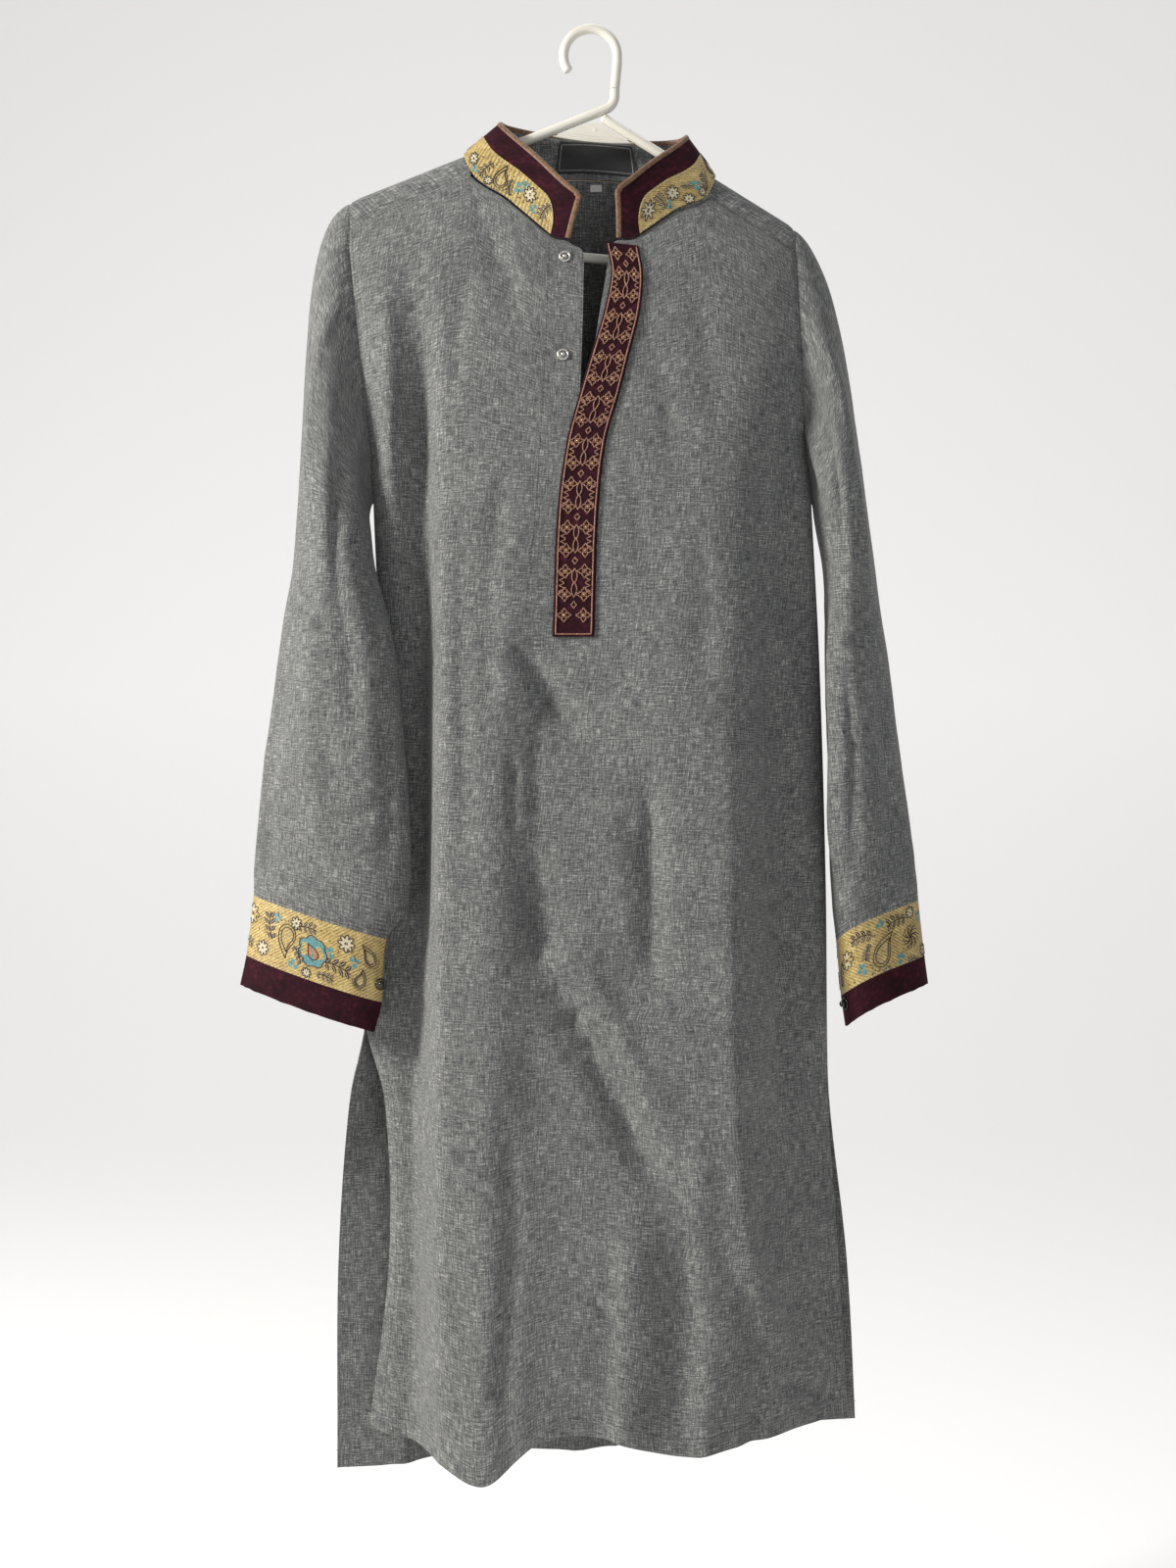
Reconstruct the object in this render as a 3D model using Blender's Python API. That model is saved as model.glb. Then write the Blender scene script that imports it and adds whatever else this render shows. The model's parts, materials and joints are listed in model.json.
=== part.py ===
"""Knee-length tunic robe with a stand collar, hanging on a bent tube hanger.

The origin is the inner top of the hanger's hook, the front faces -Y and +Z is up.
Every table below is in millimetres; meshes are written in metres.
"""
import math

import bmesh
import bpy
from mathutils import Vector

METRES = 0.001
CLOTH = 1.2
SEAM = 0.32
WALL_CLEAR = 0.35

# Hanger, in its own upright frame before the tilt
TUBE_RADIUS = 4.0
APEX_X = 3.9
APEX_Z = -65.5
ARM_SLOPE = math.radians(26.8)
HANGER_TILT = math.radians(5.1)
ARM_LENGTH = 186.0
ARM_END_GAP = 8.7
TURN_RADIUS = 18.5
HOOK_RADIUS = 22.0
HOOK_STEM_X = 20.0
HOOK_JOINT_Z = -46.0
WEB_THICKNESS = 2.6
WEB_HALF_WIDTH = 33.0
WEB_DEPTH = 24.0

# The shoulder line of the cloth, lying on the arms
SHOULDER_LIFT = 6.1
SHOULDER_ROUND = 85.0
RIDGE_RADIUS = 9.0

# Heights shared by front and back
UNDERARM_Z = -385.0
SLIT_TOP_Z = -812.0
CHEST_TOP_Z = -180.0
SEAM_FADE_UP = 45.0
SEAM_FADE_DOWN = 60.0

# Across the front, left to right as seen: what each column follows
FRONT_COLUMNS = ("edge_left", "wrap_left", "tuck_left", "ridge_left", "lobe", "open_left",
                 "open_right", "middle", "ridge_right", "tuck_right", "edge_right")
FRONT_SECTIONS = (
    dict(z=-180, x=(-196, -174, -152, -121, -76, -5, 17, 68, 115, 149, 166),
         y=(-22, -30, -36, -40, -42, -42, -42, -44, -42, -34, -24)),
    dict(z=-268, x=(-188, -166, -135, -116, -76, -7, 3, 68, 115, 148, 171),
         y=(-18, -33, -26, -44, -48, -48, -48, -52, -50, -36, -20)),
    dict(z=-385, x=(-178, -162, -138, -116, -75, -13, -10.5, 67, 114, 153, 181),
         y=(0, -20, -14, -46, -55, -51, -51, -60, -54, -26, 0)),
    dict(z=-523, x=(-174, -161, -137, -117, -81, -26, 0, 67, 114, 154, 188),
         y=(3, -7, -8, -50, -63, -52, -54, -66, -60, -18, 0)),
    dict(z=-697, x=(-183, -168, -137, -118, -82, -41, 0, 67, 113, 154, 193),
         y=(4, -6, -9, -56, -70, -58, -56, -62, -62, -16, 0)),
    dict(z=-812, x=(-185, -169, -141, -119, -82, -41, 0, 67, 115, 157, 194),
         y=(4, -6, -9, -58, -76, -64, -62, -66, -64, -20, 0)),
    dict(z=-878, x=(-169, -159, -143, -119, -83, -41, 0, 67, 117, 160, 195),
         y=(1, -6, -10, -60, -79, -67, -65, -68, -64, -22, 0)),
    dict(z=-1003, x=(-165, -157, -143, -119, -82, -41, 0, 67, 123, 169, 203),
         y=(0, -6, -12, -62, -84, -74, -72, -70, -62, -26, -4)),
    dict(z=-1145, x=(-181, -166, -144, -119, -82, -41, 0, 74, 131, 176, 211),
         y=(-4, -10, -16, -60, -88, -80, -72, -72, -58, -28, -8)),
)
FRONT_HEM = (-1145, -1148, -1151, -1153, -1164, -1133, -1129, -1145, -1138, -1134, -1131)

# Across the back: left edge, fold, ridge, middle, ridge, fold, right edge
BACK_SECTIONS = (
    dict(z=-180, x=(-196, -144, -80, 0, 80, 140, 166), y=(22, 38, 42, 42, 42, 38, 24)),
    dict(z=-268, x=(-188, -144, -80, 0, 80, 142, 171), y=(20, 38, 44, 42, 44, 38, 22)),
    dict(z=-385, x=(-178, -143, -80, 0, 80, 147, 181), y=(0, 28, 42, 36, 44, 28, 0)),
    dict(z=-523, x=(-174, -146, -80, 0, 80, 150, 188), y=(3, 28, 42, 36, 44, 28, 0)),
    dict(z=-697, x=(-183, -151, -80, 0, 80, 155, 193), y=(4, 30, 44, 38, 46, 30, 0)),
    dict(z=-812, x=(-185, -155, -80, 0, 80, 159, 194), y=(4, 30, 46, 40, 46, 30, 0)),
    dict(z=-878, x=(-199, -163, -97, 0, 81, 159, 197), y=(10, 30, 48, 42, 50, 30, 6)),
    dict(z=-1012, x=(-209, -165, -97, 0, 81, 163, 212), y=(14, 24, 50, 42, 50, 26, 8)),
    dict(z=-1170, x=(-210, -166, -97, 0, 81, 167, 220), y=(14, 22, 50, 42, 50, 26, 8)),
)
BACK_HEM = (-1184, -1184, -1181, -1178, -1166, -1151, -1141)

# The side seams, shared by front and back between the underarm and the slit
SIDE_SEAM = (
    dict(z=-385, left=(-178, 0), right=(181, 0)),
    dict(z=-523, left=(-174, 3), right=(188, 0)),
    dict(z=-697, left=(-183, 4), right=(193, 0)),
    dict(z=-812, left=(-185, 4), right=(194, 0)),
)

# Folds: top and bottom end, half width, and depth (negative towards the viewer)
FRONT_FOLDS = (
    dict(name="neck_valley", top=(-94, -134), bottom=(-74, -222), width=9, depth=5),
    dict(name="placket_drag", top=(-62, -496), bottom=(-9, -591), width=13, depth=6),
    dict(name="sweep_upper", top=(-54, -650), bottom=(-34, -770), width=13, depth=8),
    dict(name="sweep_lower", top=(-36, -750), bottom=(68, -970), width=15, depth=9),
    dict(name="sweep_ridge", top=(-20, -730), bottom=(60, -890), width=13, depth=-6),
    dict(name="centre_band", top=(42, -590), bottom=(49, -800), width=15, depth=8),
    dict(name="hem_band", top=(74, -960), bottom=(64, -1150), width=20, depth=9),
    dict(name="right_bump", top=(166, -515), bottom=(172, -685), width=10, depth=-7),
)
BACK_FOLDS = (
    dict(name="blade_left", top=(-60, -230), bottom=(-48, -560), width=16, depth=-6),
    dict(name="blade_right", top=(62, -250), bottom=(44, -600), width=18, depth=-7),
    dict(name="skirt_left", top=(-38, -600), bottom=(-52, -1190), width=20, depth=-9),
    dict(name="skirt_right", top=(36, -640), bottom=(44, -1180), width=22, depth=-9),
)

# The neck seam (x, z, which side of the shoulder line) and the collar's top edge above it
COLLAR = (
    dict(name="left_end", x=-16.7, z=-180, side=-1, top=(-6, -41, -144.7)),
    dict(name="left_near", x=-32, z=-176, side=-1, top=(-20, -38, -133)),
    dict(name="left_front", x=-66.7, z=-146, side=-1, top=(-42, -27, -109)),
    dict(name="left_seam", x=-97, z=-122, side=-1, top=(-65, -12, -85)),
    dict(name="left_side", x=-103, z=-103, side=-1, top=(-72, -3, -75)),
    dict(name="left_back", x=-88, z=-110, side=1, top=(-66, 12, -72)),
    dict(name="left_nape", x=-50, z=-114, side=1, top=(-42, 23, -73)),
    dict(name="nape", x=5, z=-114, side=1, top=(4, 27, -76)),
    dict(name="right_nape", x=55, z=-120, side=1, top=(48, 24, -80)),
    dict(name="right_back", x=88, z=-125, side=1, top=(71, 12, -83)),
    dict(name="right_side", x=100.6, z=-120, side=-1, top=(77, -3, -85)),
    dict(name="right_seam", x=96, z=-139, side=-1, top=(71, -12, -94)),
    dict(name="right_front", x=68, z=-155, side=-1, top=(48, -28, -114)),
    dict(name="right_near", x=37, z=-177, side=-1, top=(29, -38, -132)),
    dict(name="right_end", x=20.2, z=-179.5, side=-1, top=(19.7, -41, -139.8)),
)
COLLAR_ROWS = {row["name"]: k for k, row in enumerate(COLLAR)}
NECK_CORNERS = ((-4.0, -184.5), (16.5, -184.5))
NECK_ROOT_SCALE = 6.0
COLLAR_LIFT = 1.4
COLLAR_BOW = 1.2
BAND_GAP = 0.45
PIPING_ROOM = 0.9
PIPING_WIDTH = 4.4
PIPING_THICKNESS = 3.4
PIPING_INSET = 2.3
PIPING_CORNER = 3.0
BROCADE_SHARE = 0.55
BROCADE_END = 17.0
BROCADE_CORNER = 14.0

# The lower line of the shoulder yoke
YOKE_FRONT_DROP = 22.5
YOKE_ARMHOLE_DROP = 24.0
BACK_SEAM_X = (-196, -97, 0, 96, 166)
BACK_SEAM_Z = (-164, -156, -150, -163, -184.5)
YOKE_ARMHOLE_ROWS = (-1.0, -0.42, 0.0, 0.33, 0.58, 0.76, 0.88, 1.0)
YOKE_NECK_ROWS = (-1.0, -0.5, 0.0, 0.24, 0.46, 0.64, 0.82, 1.0)
YOKE_CORNER_ROW = 4

# Embroidered placket: both edges at each height
PLACKET = (
    dict(z=-182, left=12.4, right=38.2),
    dict(z=-206, left=16.7, right=41.7),
    dict(z=-237, left=11.4, right=39.4),
    dict(z=-276, left=0, right=30.3),
    dict(z=-307, left=-9.1, right=22.7),
    dict(z=-345, left=-18.9, right=12.1),
    dict(z=-405, left=-26.6, right=6.0),
    dict(z=-500, left=-30.2, right=3.0),
)
PLACKET_THICKNESS = 1.8
PLACKET_CLEAR = 0.75
PLACKET_TOP_SLANT = 3.0
OPENING_BOTTOM_Z = -478.0

# Sleeves below the armhole: fold lines, depths of the front and back, drop of the inner side
SLEEVE_LEFT = (
    dict(z=-406, out=(-242, 6), inn=(-180.5, -5), front=46, back=32, drop=0, lean=0),
    dict(z=-441, out=(-245, 4), inn=(-175, -16), front=44, back=22, drop=0, lean=0),
    dict(z=-481, out=(-252, 2), inn=(-164, -24), front=42, back=15, drop=0, lean=2),
    dict(z=-521, out=(-257, 0), inn=(-157, -27), front=38, back=12, drop=0, lean=4),
    dict(z=-602, out=(-268, -2), inn=(-150, -28), front=31, back=10, drop=3, lean=6),
    dict(z=-671, out=(-273, -4), inn=(-145, -28), front=25, back=9, drop=9, lean=4),
    dict(z=-705, out=(-275, -6), inn=(-149, -28), front=23, back=9, drop=14, lean=2),
    dict(z=-725, out=(-275, -8), inn=(-165, -28), front=19, back=9, drop=17, lean=0),
    dict(z=-775, out=(-281, -8), inn=(-169, -28), front=17, back=9, drop=18, lean=0),
    dict(z=-799, out=(-286, -8), inn=(-175, -28), front=16, back=9, drop=18, lean=0),
)
SLEEVE_RIGHT = (
    dict(z=-406, out=(230, 6), inn=(185.5, 0), front=46, back=34, drop=0, lean=-3),
    dict(z=-441, out=(234, 4), inn=(191, -2), front=45, back=32, drop=0, lean=-5),
    dict(z=-481, out=(239, 2), inn=(192, -6), front=44, back=30, drop=0, lean=-8),
    dict(z=-521, out=(245, 0), inn=(192, -9), front=42, back=28, drop=0, lean=-11),
    dict(z=-602, out=(255, -2), inn=(194, -12), front=38, back=26, drop=2, lean=-14),
    dict(z=-671, out=(264, -4), inn=(195.5, -12), front=34, back=24, drop=8, lean=-17),
    dict(z=-705, out=(267, -6), inn=(198, -12), front=32, back=23, drop=12, lean=-17),
    dict(z=-728, out=(268, -6), inn=(201, -12), front=30, back=22, drop=16, lean=-16),
    dict(z=-773, out=(273, -6), inn=(205, -12), front=30, back=22, drop=16, lean=-15),
    dict(z=-797, out=(276, -6), inn=(208.5, -12), front=30, back=22, drop=17, lean=-15),
)
SLEEVE_HEAD = dict(reach=0.16, hang=0.58, forward=0.5, underarm_fall=1.6, clear=0.95,
                   underarm_clear=1.8, underarm_reach=60.0)
SLEEVE_PEAK = 1.3
CUFF_SLIT = 1.6

# Small fastenings
SNAP_RADIUS = 5.0
SNAPS = (("snap_upper", -20.5, -193.0), ("snap_lower", -21.9, -273.5))
BEAD_RADIUS = 2.8
BEADS = (
    dict(cuff="left", phi=0.045, z=-761.0, lift=-0.2),
    dict(cuff="right", phi=0.1, z=-781.0, lift=0.35),
)
LOOP_RADIUS = 4.2
LOOP_CORD = 0.55

# Label inside the back collar, and the size tab under it
LABEL = dict(left=-27.8, right=37.3, bottom=0.12, top=0.84, thickness=0.7, clear=0.75)
SIZE_TAB = dict(left=0.0, right=9.5, top=-117.0, bottom=-122.5, thickness=0.6)

# Mesh density
FRONT_SPLITS = (2, 2, 3, 3, 3, 1, 3, 3, 3, 3)
BACK_SPLITS = (3, 2, 2, 2, 2, 3)
ROWS_SKIRT = 10
ROWS_BODY = 12
ROWS_CHEST = 8
SHOULDER_STEPS = 6
NAPE_STEPS = 12
SLEEVE_HEAD_ROWS = 6
SLEEVE_ROWS = 10
SLEEVE_PART_GAP = 0.9
# Rings where a sleeve's solid is divided, so that each part has collision pieces of its own
SLEEVE_PARTS = {
    "left": (("sleeve_left", 0, 4), ("sleeve_left_middle", 4, 8), ("sleeve_left_lower", 8, 16)),
    "right": (("sleeve_right", 0, 16),),
}
COLLAR_STEPS = 36

COLOURS = {
    "cloth": ((0.105, 0.108, 0.1, 1), 0.9, 0.0),
    "velvet": ((0.045, 0.006, 0.014, 1), 0.8, 0.0),
    "brocade": ((0.55, 0.4, 0.16, 1), 0.5, 0.0),
    "piping": ((0.16, 0.07, 0.025, 1), 0.7, 0.0),
    "plastic": ((0.7, 0.67, 0.58, 1), 0.35, 0.0),
    "label": ((0.008, 0.008, 0.009, 1), 0.7, 0.0),
    "tab": ((0.6, 0.58, 0.54, 1), 0.7, 0.0),
    "silver": ((0.6, 0.58, 0.54, 1), 0.3, 1.0),
    "bead": ((0.01, 0.01, 0.012, 1), 0.2, 0.0),
}


def material(kind):
    """The one material of this kind, made on first use."""
    found = bpy.data.materials.get(kind)
    if found:
        return found
    colour, roughness, metallic = COLOURS[kind]
    made = bpy.data.materials.new(kind)
    made.use_nodes = True
    shader = made.node_tree.nodes["Principled BSDF"]
    shader.inputs["Base Color"].default_value = colour
    shader.inputs["Roughness"].default_value = roughness
    shader.inputs["Metallic"].default_value = metallic
    return made


def add_object(name, points, faces, kind):
    """A mesh object from millimetre points, its faces turned outwards."""
    mesh = bpy.data.meshes.new(name)
    mesh.from_pydata([Vector(p) * METRES for p in points], [], faces)
    shape = bmesh.new()
    shape.from_mesh(mesh)
    bmesh.ops.recalc_face_normals(shape, faces=shape.faces)
    shape.to_mesh(mesh)
    shape.free()
    mesh.materials.append(material(kind))
    mesh.shade_smooth()
    made = bpy.data.objects.new(name, mesh)
    bpy.context.collection.objects.link(made)
    return made


def mix(a, b, share):
    return a + (b - a) * share


def soft_step(share):
    share = min(1.0, max(0.0, share))
    return share * share * (3 - 2 * share)


def smooth_through(knots, values, at):
    """Smooth curve through value at each ascending knot, level beyond both ends."""
    if at <= knots[0]:
        return values[0]
    if at >= knots[-1]:
        return values[-1]
    i = max(k for k in range(len(knots) - 1) if knots[k] <= at)
    slopes = []
    for k in (i, i + 1):
        before = max(k - 1, 0)
        after = min(k + 1, len(knots) - 1)
        slopes.append((values[after] - values[before]) / (knots[after] - knots[before]))
    span = knots[i + 1] - knots[i]
    f = (at - knots[i]) / span
    return (values[i] * (1 + 2 * f) * (1 - f) ** 2 + values[i + 1] * f * f * (3 - 2 * f)
            + span * (slopes[0] * f * (1 - f) ** 2 - slopes[1] * f * f * (1 - f)))


def straight_through(pairs, at):
    """Straight-line interpolation in ascending (position, value) pairs."""
    if at <= pairs[0][0]:
        return pairs[0][1]
    for (x0, v0), (x1, v1) in zip(pairs, pairs[1:]):
        if at <= x1:
            return mix(v0, v1, (at - x0) / max(x1 - x0, 1e-9))
    return pairs[-1][1]


def curve_point(points, at):
    """Smooth curve through the points; at runs from 0 to the last index."""
    i = min(max(int(at), 0), len(points) - 2)
    f = at - i
    here = points[i]
    after = points[i + 1]
    before = points[i - 1] if i else here * 2 - after
    beyond = points[i + 2] if i + 2 < len(points) else after * 2 - here
    reach = (after - here).length
    start = (after - before) * (reach / max((here - before).length + reach, 1e-6))
    end = (beyond - here) * (reach / max((beyond - after).length + reach, 1e-6))
    return (here * ((1 + 2 * f) * (1 - f) ** 2) + after * (f * f * (3 - 2 * f))
            + start * (f * (1 - f) ** 2) - end * (f * f * (1 - f)))


def shoulder_line(x):
    """Height of the cloth's fold over the hanger's arms at x."""
    mean = (math.tan(ARM_SLOPE - HANGER_TILT) + math.tan(ARM_SLOPE + HANGER_TILT)) / 2
    lean = math.tan(ARM_SLOPE + HANGER_TILT) - mean
    away = abs(x - APEX_X)
    if away < SHOULDER_ROUND:
        away = away * away / (2 * SHOULDER_ROUND) + SHOULDER_ROUND / 2
    return APEX_Z - mean * away - lean * (x - APEX_X) + SHOULDER_LIFT


class Panel:
    """A hanging cloth surface: a smooth cross-section at every height."""

    def __init__(self, sections, folds, side):
        self.rows = sorted(sections, key=lambda row: row["z"])
        self.knots = [row["z"] for row in self.rows]
        self.count = len(self.rows[0]["x"])
        self.folds = folds
        self.side = side
        self.cache = {}

    def seam_weight(self, z):
        """1 where both side edges wrap round to the other panel."""
        if z > UNDERARM_Z:
            return 1 - soft_step((z - UNDERARM_Z) / SEAM_FADE_UP)
        return 1 - soft_step((SLIT_TOP_Z - z) / SEAM_FADE_DOWN)

    def controls(self, z):
        key = round(z, 3)
        if key in self.cache:
            return self.cache[key]
        points = []
        for c in range(self.count):
            x = smooth_through(self.knots, [row["x"][c] for row in self.rows], z)
            y = smooth_through(self.knots, [row["y"][c] for row in self.rows], z)
            points.append(Vector((x, y)))
        if SLIT_TOP_Z <= z <= UNDERARM_Z:
            seam = sorted(SIDE_SEAM, key=lambda row: row["z"])
            knots = [row["z"] for row in seam]
            for c, edge in ((0, "left"), (self.count - 1, "right")):
                points[c] = Vector([smooth_through(knots, [row[edge][k] for row in seam], z)
                                    for k in (0, 1)])
        self.cache[key] = points
        return points

    def section(self, column, z):
        points = self.controls(z)
        weight = self.seam_weight(z)
        i = min(max(int(column), 0), self.count - 2)
        f = column - i
        here = points[i]
        after = points[i + 1]
        before = points[i - 1] if i else None
        beyond = points[i + 2] if i + 2 < self.count else None
        reach = (after - here).length
        wrap = Vector((0, self.side))
        if before is None:
            start = ((after - here).normalized() * (1 - weight) + wrap * weight) * reach
        else:
            start = (after - before) * (reach / ((here - before).length + reach))
        if beyond is None:
            end = ((after - here).normalized() * (1 - weight) - wrap * weight) * reach
        else:
            end = (beyond - here) * (reach / ((beyond - after).length + reach))
        return (here * ((1 + 2 * f) * (1 - f) ** 2) + after * (f * f * (3 - 2 * f))
                + start * (f * (1 - f) ** 2) - end * (f * f * (1 - f)))

    def fold_depth(self, x, z):
        total = 0.0
        for fold in self.folds:
            x0, z0 = fold["top"]
            x1, z1 = fold["bottom"]
            along = (z0 - z) / (z0 - z1)
            if not 0 < along < 1:
                continue
            fade = soft_step(min(along, 1 - along) / 0.3)
            off = (x - mix(x0, x1, along)) / fold["width"]
            total += fold["depth"] * fade * math.exp(-off * off)
        return total

    def point(self, column, z):
        flat = self.section(column, z)
        depth = flat.y + self.fold_depth(flat.x, z)
        below = max(shoulder_line(flat.x) - z, 0.0)
        depth *= math.sqrt(1 - math.exp(-2 * RIDGE_RADIUS * below / (depth * depth + 1)))
        return Vector((flat.x, depth, z))

    def normal(self, column, z):
        across = self.point(column + 0.02, z) - self.point(column - 0.02, z)
        down = self.point(column, z - 1.5) - self.point(column, z + 1.5)
        return across.cross(down).normalized() * self.side

    def column_at(self, x, z):
        low = 0.0
        high = self.count - 1.0
        for _ in range(40):
            middle = (low + high) / 2
            if self.section(middle, z).x < x:
                low = middle
            else:
                high = middle
        return (low + high) / 2

    def on_surface(self, x, z):
        column = self.column_at(x, z)
        return self.point(column, z), self.normal(column, z)


def ridge_point(front, back, x, q):
    """Surface over the shoulder; q is the signed root of the drop below the shoulder line."""
    panel = front if q < 0 else back
    z = shoulder_line(x) - q * q
    if abs(q) < 1e-4:
        return Vector((x, 0.0, z))
    column = panel.column_at(x, max(z, CHEST_TOP_Z))
    flat = panel.section(column, max(z, CHEST_TOP_Z))
    depth = flat.y + panel.fold_depth(x, z)
    depth *= math.sqrt(1 - math.exp(-2 * RIDGE_RADIUS * q * q / (depth * depth + 1)))
    return Vector((x, depth, z))


def ridge_normal(front, back, x, q):
    along = ridge_point(front, back, x + 1.0, q) - ridge_point(front, back, x - 1.0, q)
    over = ridge_point(front, back, x, q + 0.15) - ridge_point(front, back, x, q - 0.15)
    return along.cross(over).normalized()


def wall(name, mids, normals, thickness, kind, wrap=False, missing=()):
    """A closed thin wall around a grid of mid-surface points (rows of columns)."""
    rows = len(mids)
    columns = len(mids[0])
    flat_mids = [p for row in mids for p in row]
    flat_normals = [n for row in normals for n in row]
    half = thickness / 2
    count = rows * columns
    points = [p + n * half for p, n in zip(flat_mids, flat_normals)]
    points += [p - n * half for p, n in zip(flat_mids, flat_normals)]
    faces = []
    border = {}
    spans = columns if wrap else columns - 1
    used = set()
    for j in range(rows - 1):
        for i in range(spans):
            if (j, i) in missing:
                continue
            a = j * columns + i
            b = j * columns + (i + 1) % columns
            c = b + columns
            d = a + columns
            used.update((a, b, c, d))
            if (flat_mids[a] - flat_mids[c]).length <= (flat_mids[b] - flat_mids[d]).length:
                pair = ((a, b, c), (a, c, d))
            else:
                pair = ((a, b, d), (b, c, d))
            for tri in pair:
                faces.append(tri)
                faces.append(tuple(v + count for v in reversed(tri)))
            for edge in ((a, b), (b, c), (c, d), (d, a)):
                if (edge[1], edge[0]) in border:
                    del border[(edge[1], edge[0])]
                else:
                    border[edge] = True
    for a, b in border:
        faces.append((b, a, a + count))
        faces.append((b, a + count, b + count))
    order = sorted(used | {v + count for v in used})
    place = {v: k for k, v in enumerate(order)}
    return add_object(name, [points[v] for v in order],
                      [tuple(place[v] for v in face) for face in faces], kind)


def spread(splits):
    """Column positions with the given number of steps in each span."""
    places = [0.0]
    for i, steps in enumerate(splits):
        places += [i + (k + 1) / steps for k in range(steps)]
    return places


def yoke_drop(x):
    """How far the yoke's front seam lies below the shoulder line at x."""
    neck = COLLAR[COLLAR_ROWS["left_seam" if x < 0 else "right_seam"]]["x"]
    armhole = FRONT_SECTIONS[0]["x"][0 if x < 0 else -1]
    share = min(max((x - neck) / (armhole - neck), 0.0), 1.0)
    return mix(YOKE_FRONT_DROP, YOKE_ARMHOLE_DROP, share)


def front_top(x, neck):
    """Top edge of the front: shoulder seam, neck seam, and the opening's upper corners."""
    if COLLAR[COLLAR_ROWS["left_seam"]]["x"] < x < COLLAR[COLLAR_ROWS["right_seam"]]["x"]:
        return straight_through(neck, x)
    return shoulder_line(x) - yoke_drop(x)


def neck_curve():
    """The neck seam in (x, q), as a smooth curve from the left end round to the right end."""
    points = []
    for row in COLLAR:
        drop = max(shoulder_line(row["x"]) - row["z"], 0.0)
        if row["name"] in ("left_side", "right_side"):
            drop = 0.0
        if row["name"] in ("left_seam", "right_seam"):
            drop = YOKE_FRONT_DROP
        points.append(Vector((row["x"], row["side"] * math.sqrt(drop) * NECK_ROOT_SCALE)))
    return points


def neck_at(curve, u):
    """(x, q) on the neck seam; u runs over the rows of COLLAR."""
    place = curve_point(curve, u)
    return place.x, place.y / NECK_ROOT_SCALE


def front_neck_line(curve):
    """Ascending (x, z) pairs of the front's neck edge, both sides and the gap between."""
    left = []
    right = []
    for k in range(61):
        x, q = neck_at(curve, COLLAR_ROWS["left_seam"] * k / 60)
        left.append((x, shoulder_line(x) - q * q))
        x, q = neck_at(curve, mix(COLLAR_ROWS["right_end"], COLLAR_ROWS["right_seam"], k / 60))
        right.append((x, shoulder_line(x) - q * q))
    return sorted(left) + list(NECK_CORNERS) + sorted(right)


def panel_grid(panel, hem, splits, top_of):
    """Mid-surface points and normals from the hem up to the panel's top edge."""
    columns = spread(splits)
    hem_knots = list(range(len(hem)))
    rows = []
    steps = ([("skirt", k / ROWS_SKIRT) for k in range(ROWS_SKIRT)]
             + [("body", k / ROWS_BODY) for k in range(ROWS_BODY)]
             + [("chest", k / ROWS_CHEST) for k in range(ROWS_CHEST + 1)])
    for part, share in steps:
        row = []
        for c in columns:
            if part == "skirt":
                z = mix(smooth_through(hem_knots, hem, c), SLIT_TOP_Z, share)
            elif part == "body":
                z = mix(SLIT_TOP_Z, UNDERARM_Z, share)
            else:
                top = CHEST_TOP_Z
                for _ in range(12):
                    top = top_of(panel.section(c, top).x)
                z = mix(UNDERARM_Z, top - SEAM * 0.7, share)
            row.append((c, z))
        rows.append(row)
    mids = []
    normals = []
    for row in rows:
        mids.append([panel.point(c, z) for c, z in row])
        normals.append([panel.normal(c, z) for c, z in row])
    for j in range(ROWS_SKIRT, ROWS_SKIRT + ROWS_BODY + 1):
        for i in (0, -1):
            mids[j][i] = mids[j][i] + Vector((0, panel.side * SEAM / 2, 0))
    return columns, mids, normals


def build_front(front, neck):
    columns, mids, normals = panel_grid(front, FRONT_HEM, FRONT_SPLITS,
                                        lambda x: front_top(x, neck))
    gap = columns.index(FRONT_COLUMNS.index("open_left"))
    missing = set()
    for j in range(len(mids) - 1):
        if mids[j][gap].z > OPENING_BOTTOM_Z - 2:
            missing.add((j, gap))
    wall("front", mids, normals, CLOTH, "cloth", missing=missing)
    return mids


def build_back(back):
    columns, mids, normals = panel_grid(back, BACK_HEM, BACK_SPLITS,
                                        lambda x: smooth_through(BACK_SEAM_X, BACK_SEAM_Z, x))
    wall("back", mids, normals, CLOTH, "cloth")
    return mids


def neck_side(curve, left):
    """Ascending (q, x) pairs of the neck seam beside the neck, front seam to back corner."""
    pairs = []
    side = "left" if left else "right"
    for k in range(41):
        u = mix(COLLAR_ROWS[f"{side}_seam"], COLLAR_ROWS[f"{side}_back"], k / 40)
        x, q = neck_at(curve, u)
        pairs.append((q, x))
    return sorted(pairs)


def yoke_column(armhole, side_x, share):
    """(x, q) down one shoulder column; share runs from the armhole (0) to the neck (1)."""
    column = []
    for j, (far, near) in enumerate(zip(YOKE_ARMHOLE_ROWS, YOKE_NECK_ROWS)):
        step = mix(far, near, share)
        x = mix(armhole, side_x[j], share)
        if step < 0:
            depth = yoke_drop(x) - SEAM * 0.7
        else:
            depth = shoulder_line(x) - smooth_through(BACK_SEAM_X, BACK_SEAM_Z, x) - SEAM * 0.7
        column.append((x, step * math.sqrt(depth)))
    return column


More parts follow.
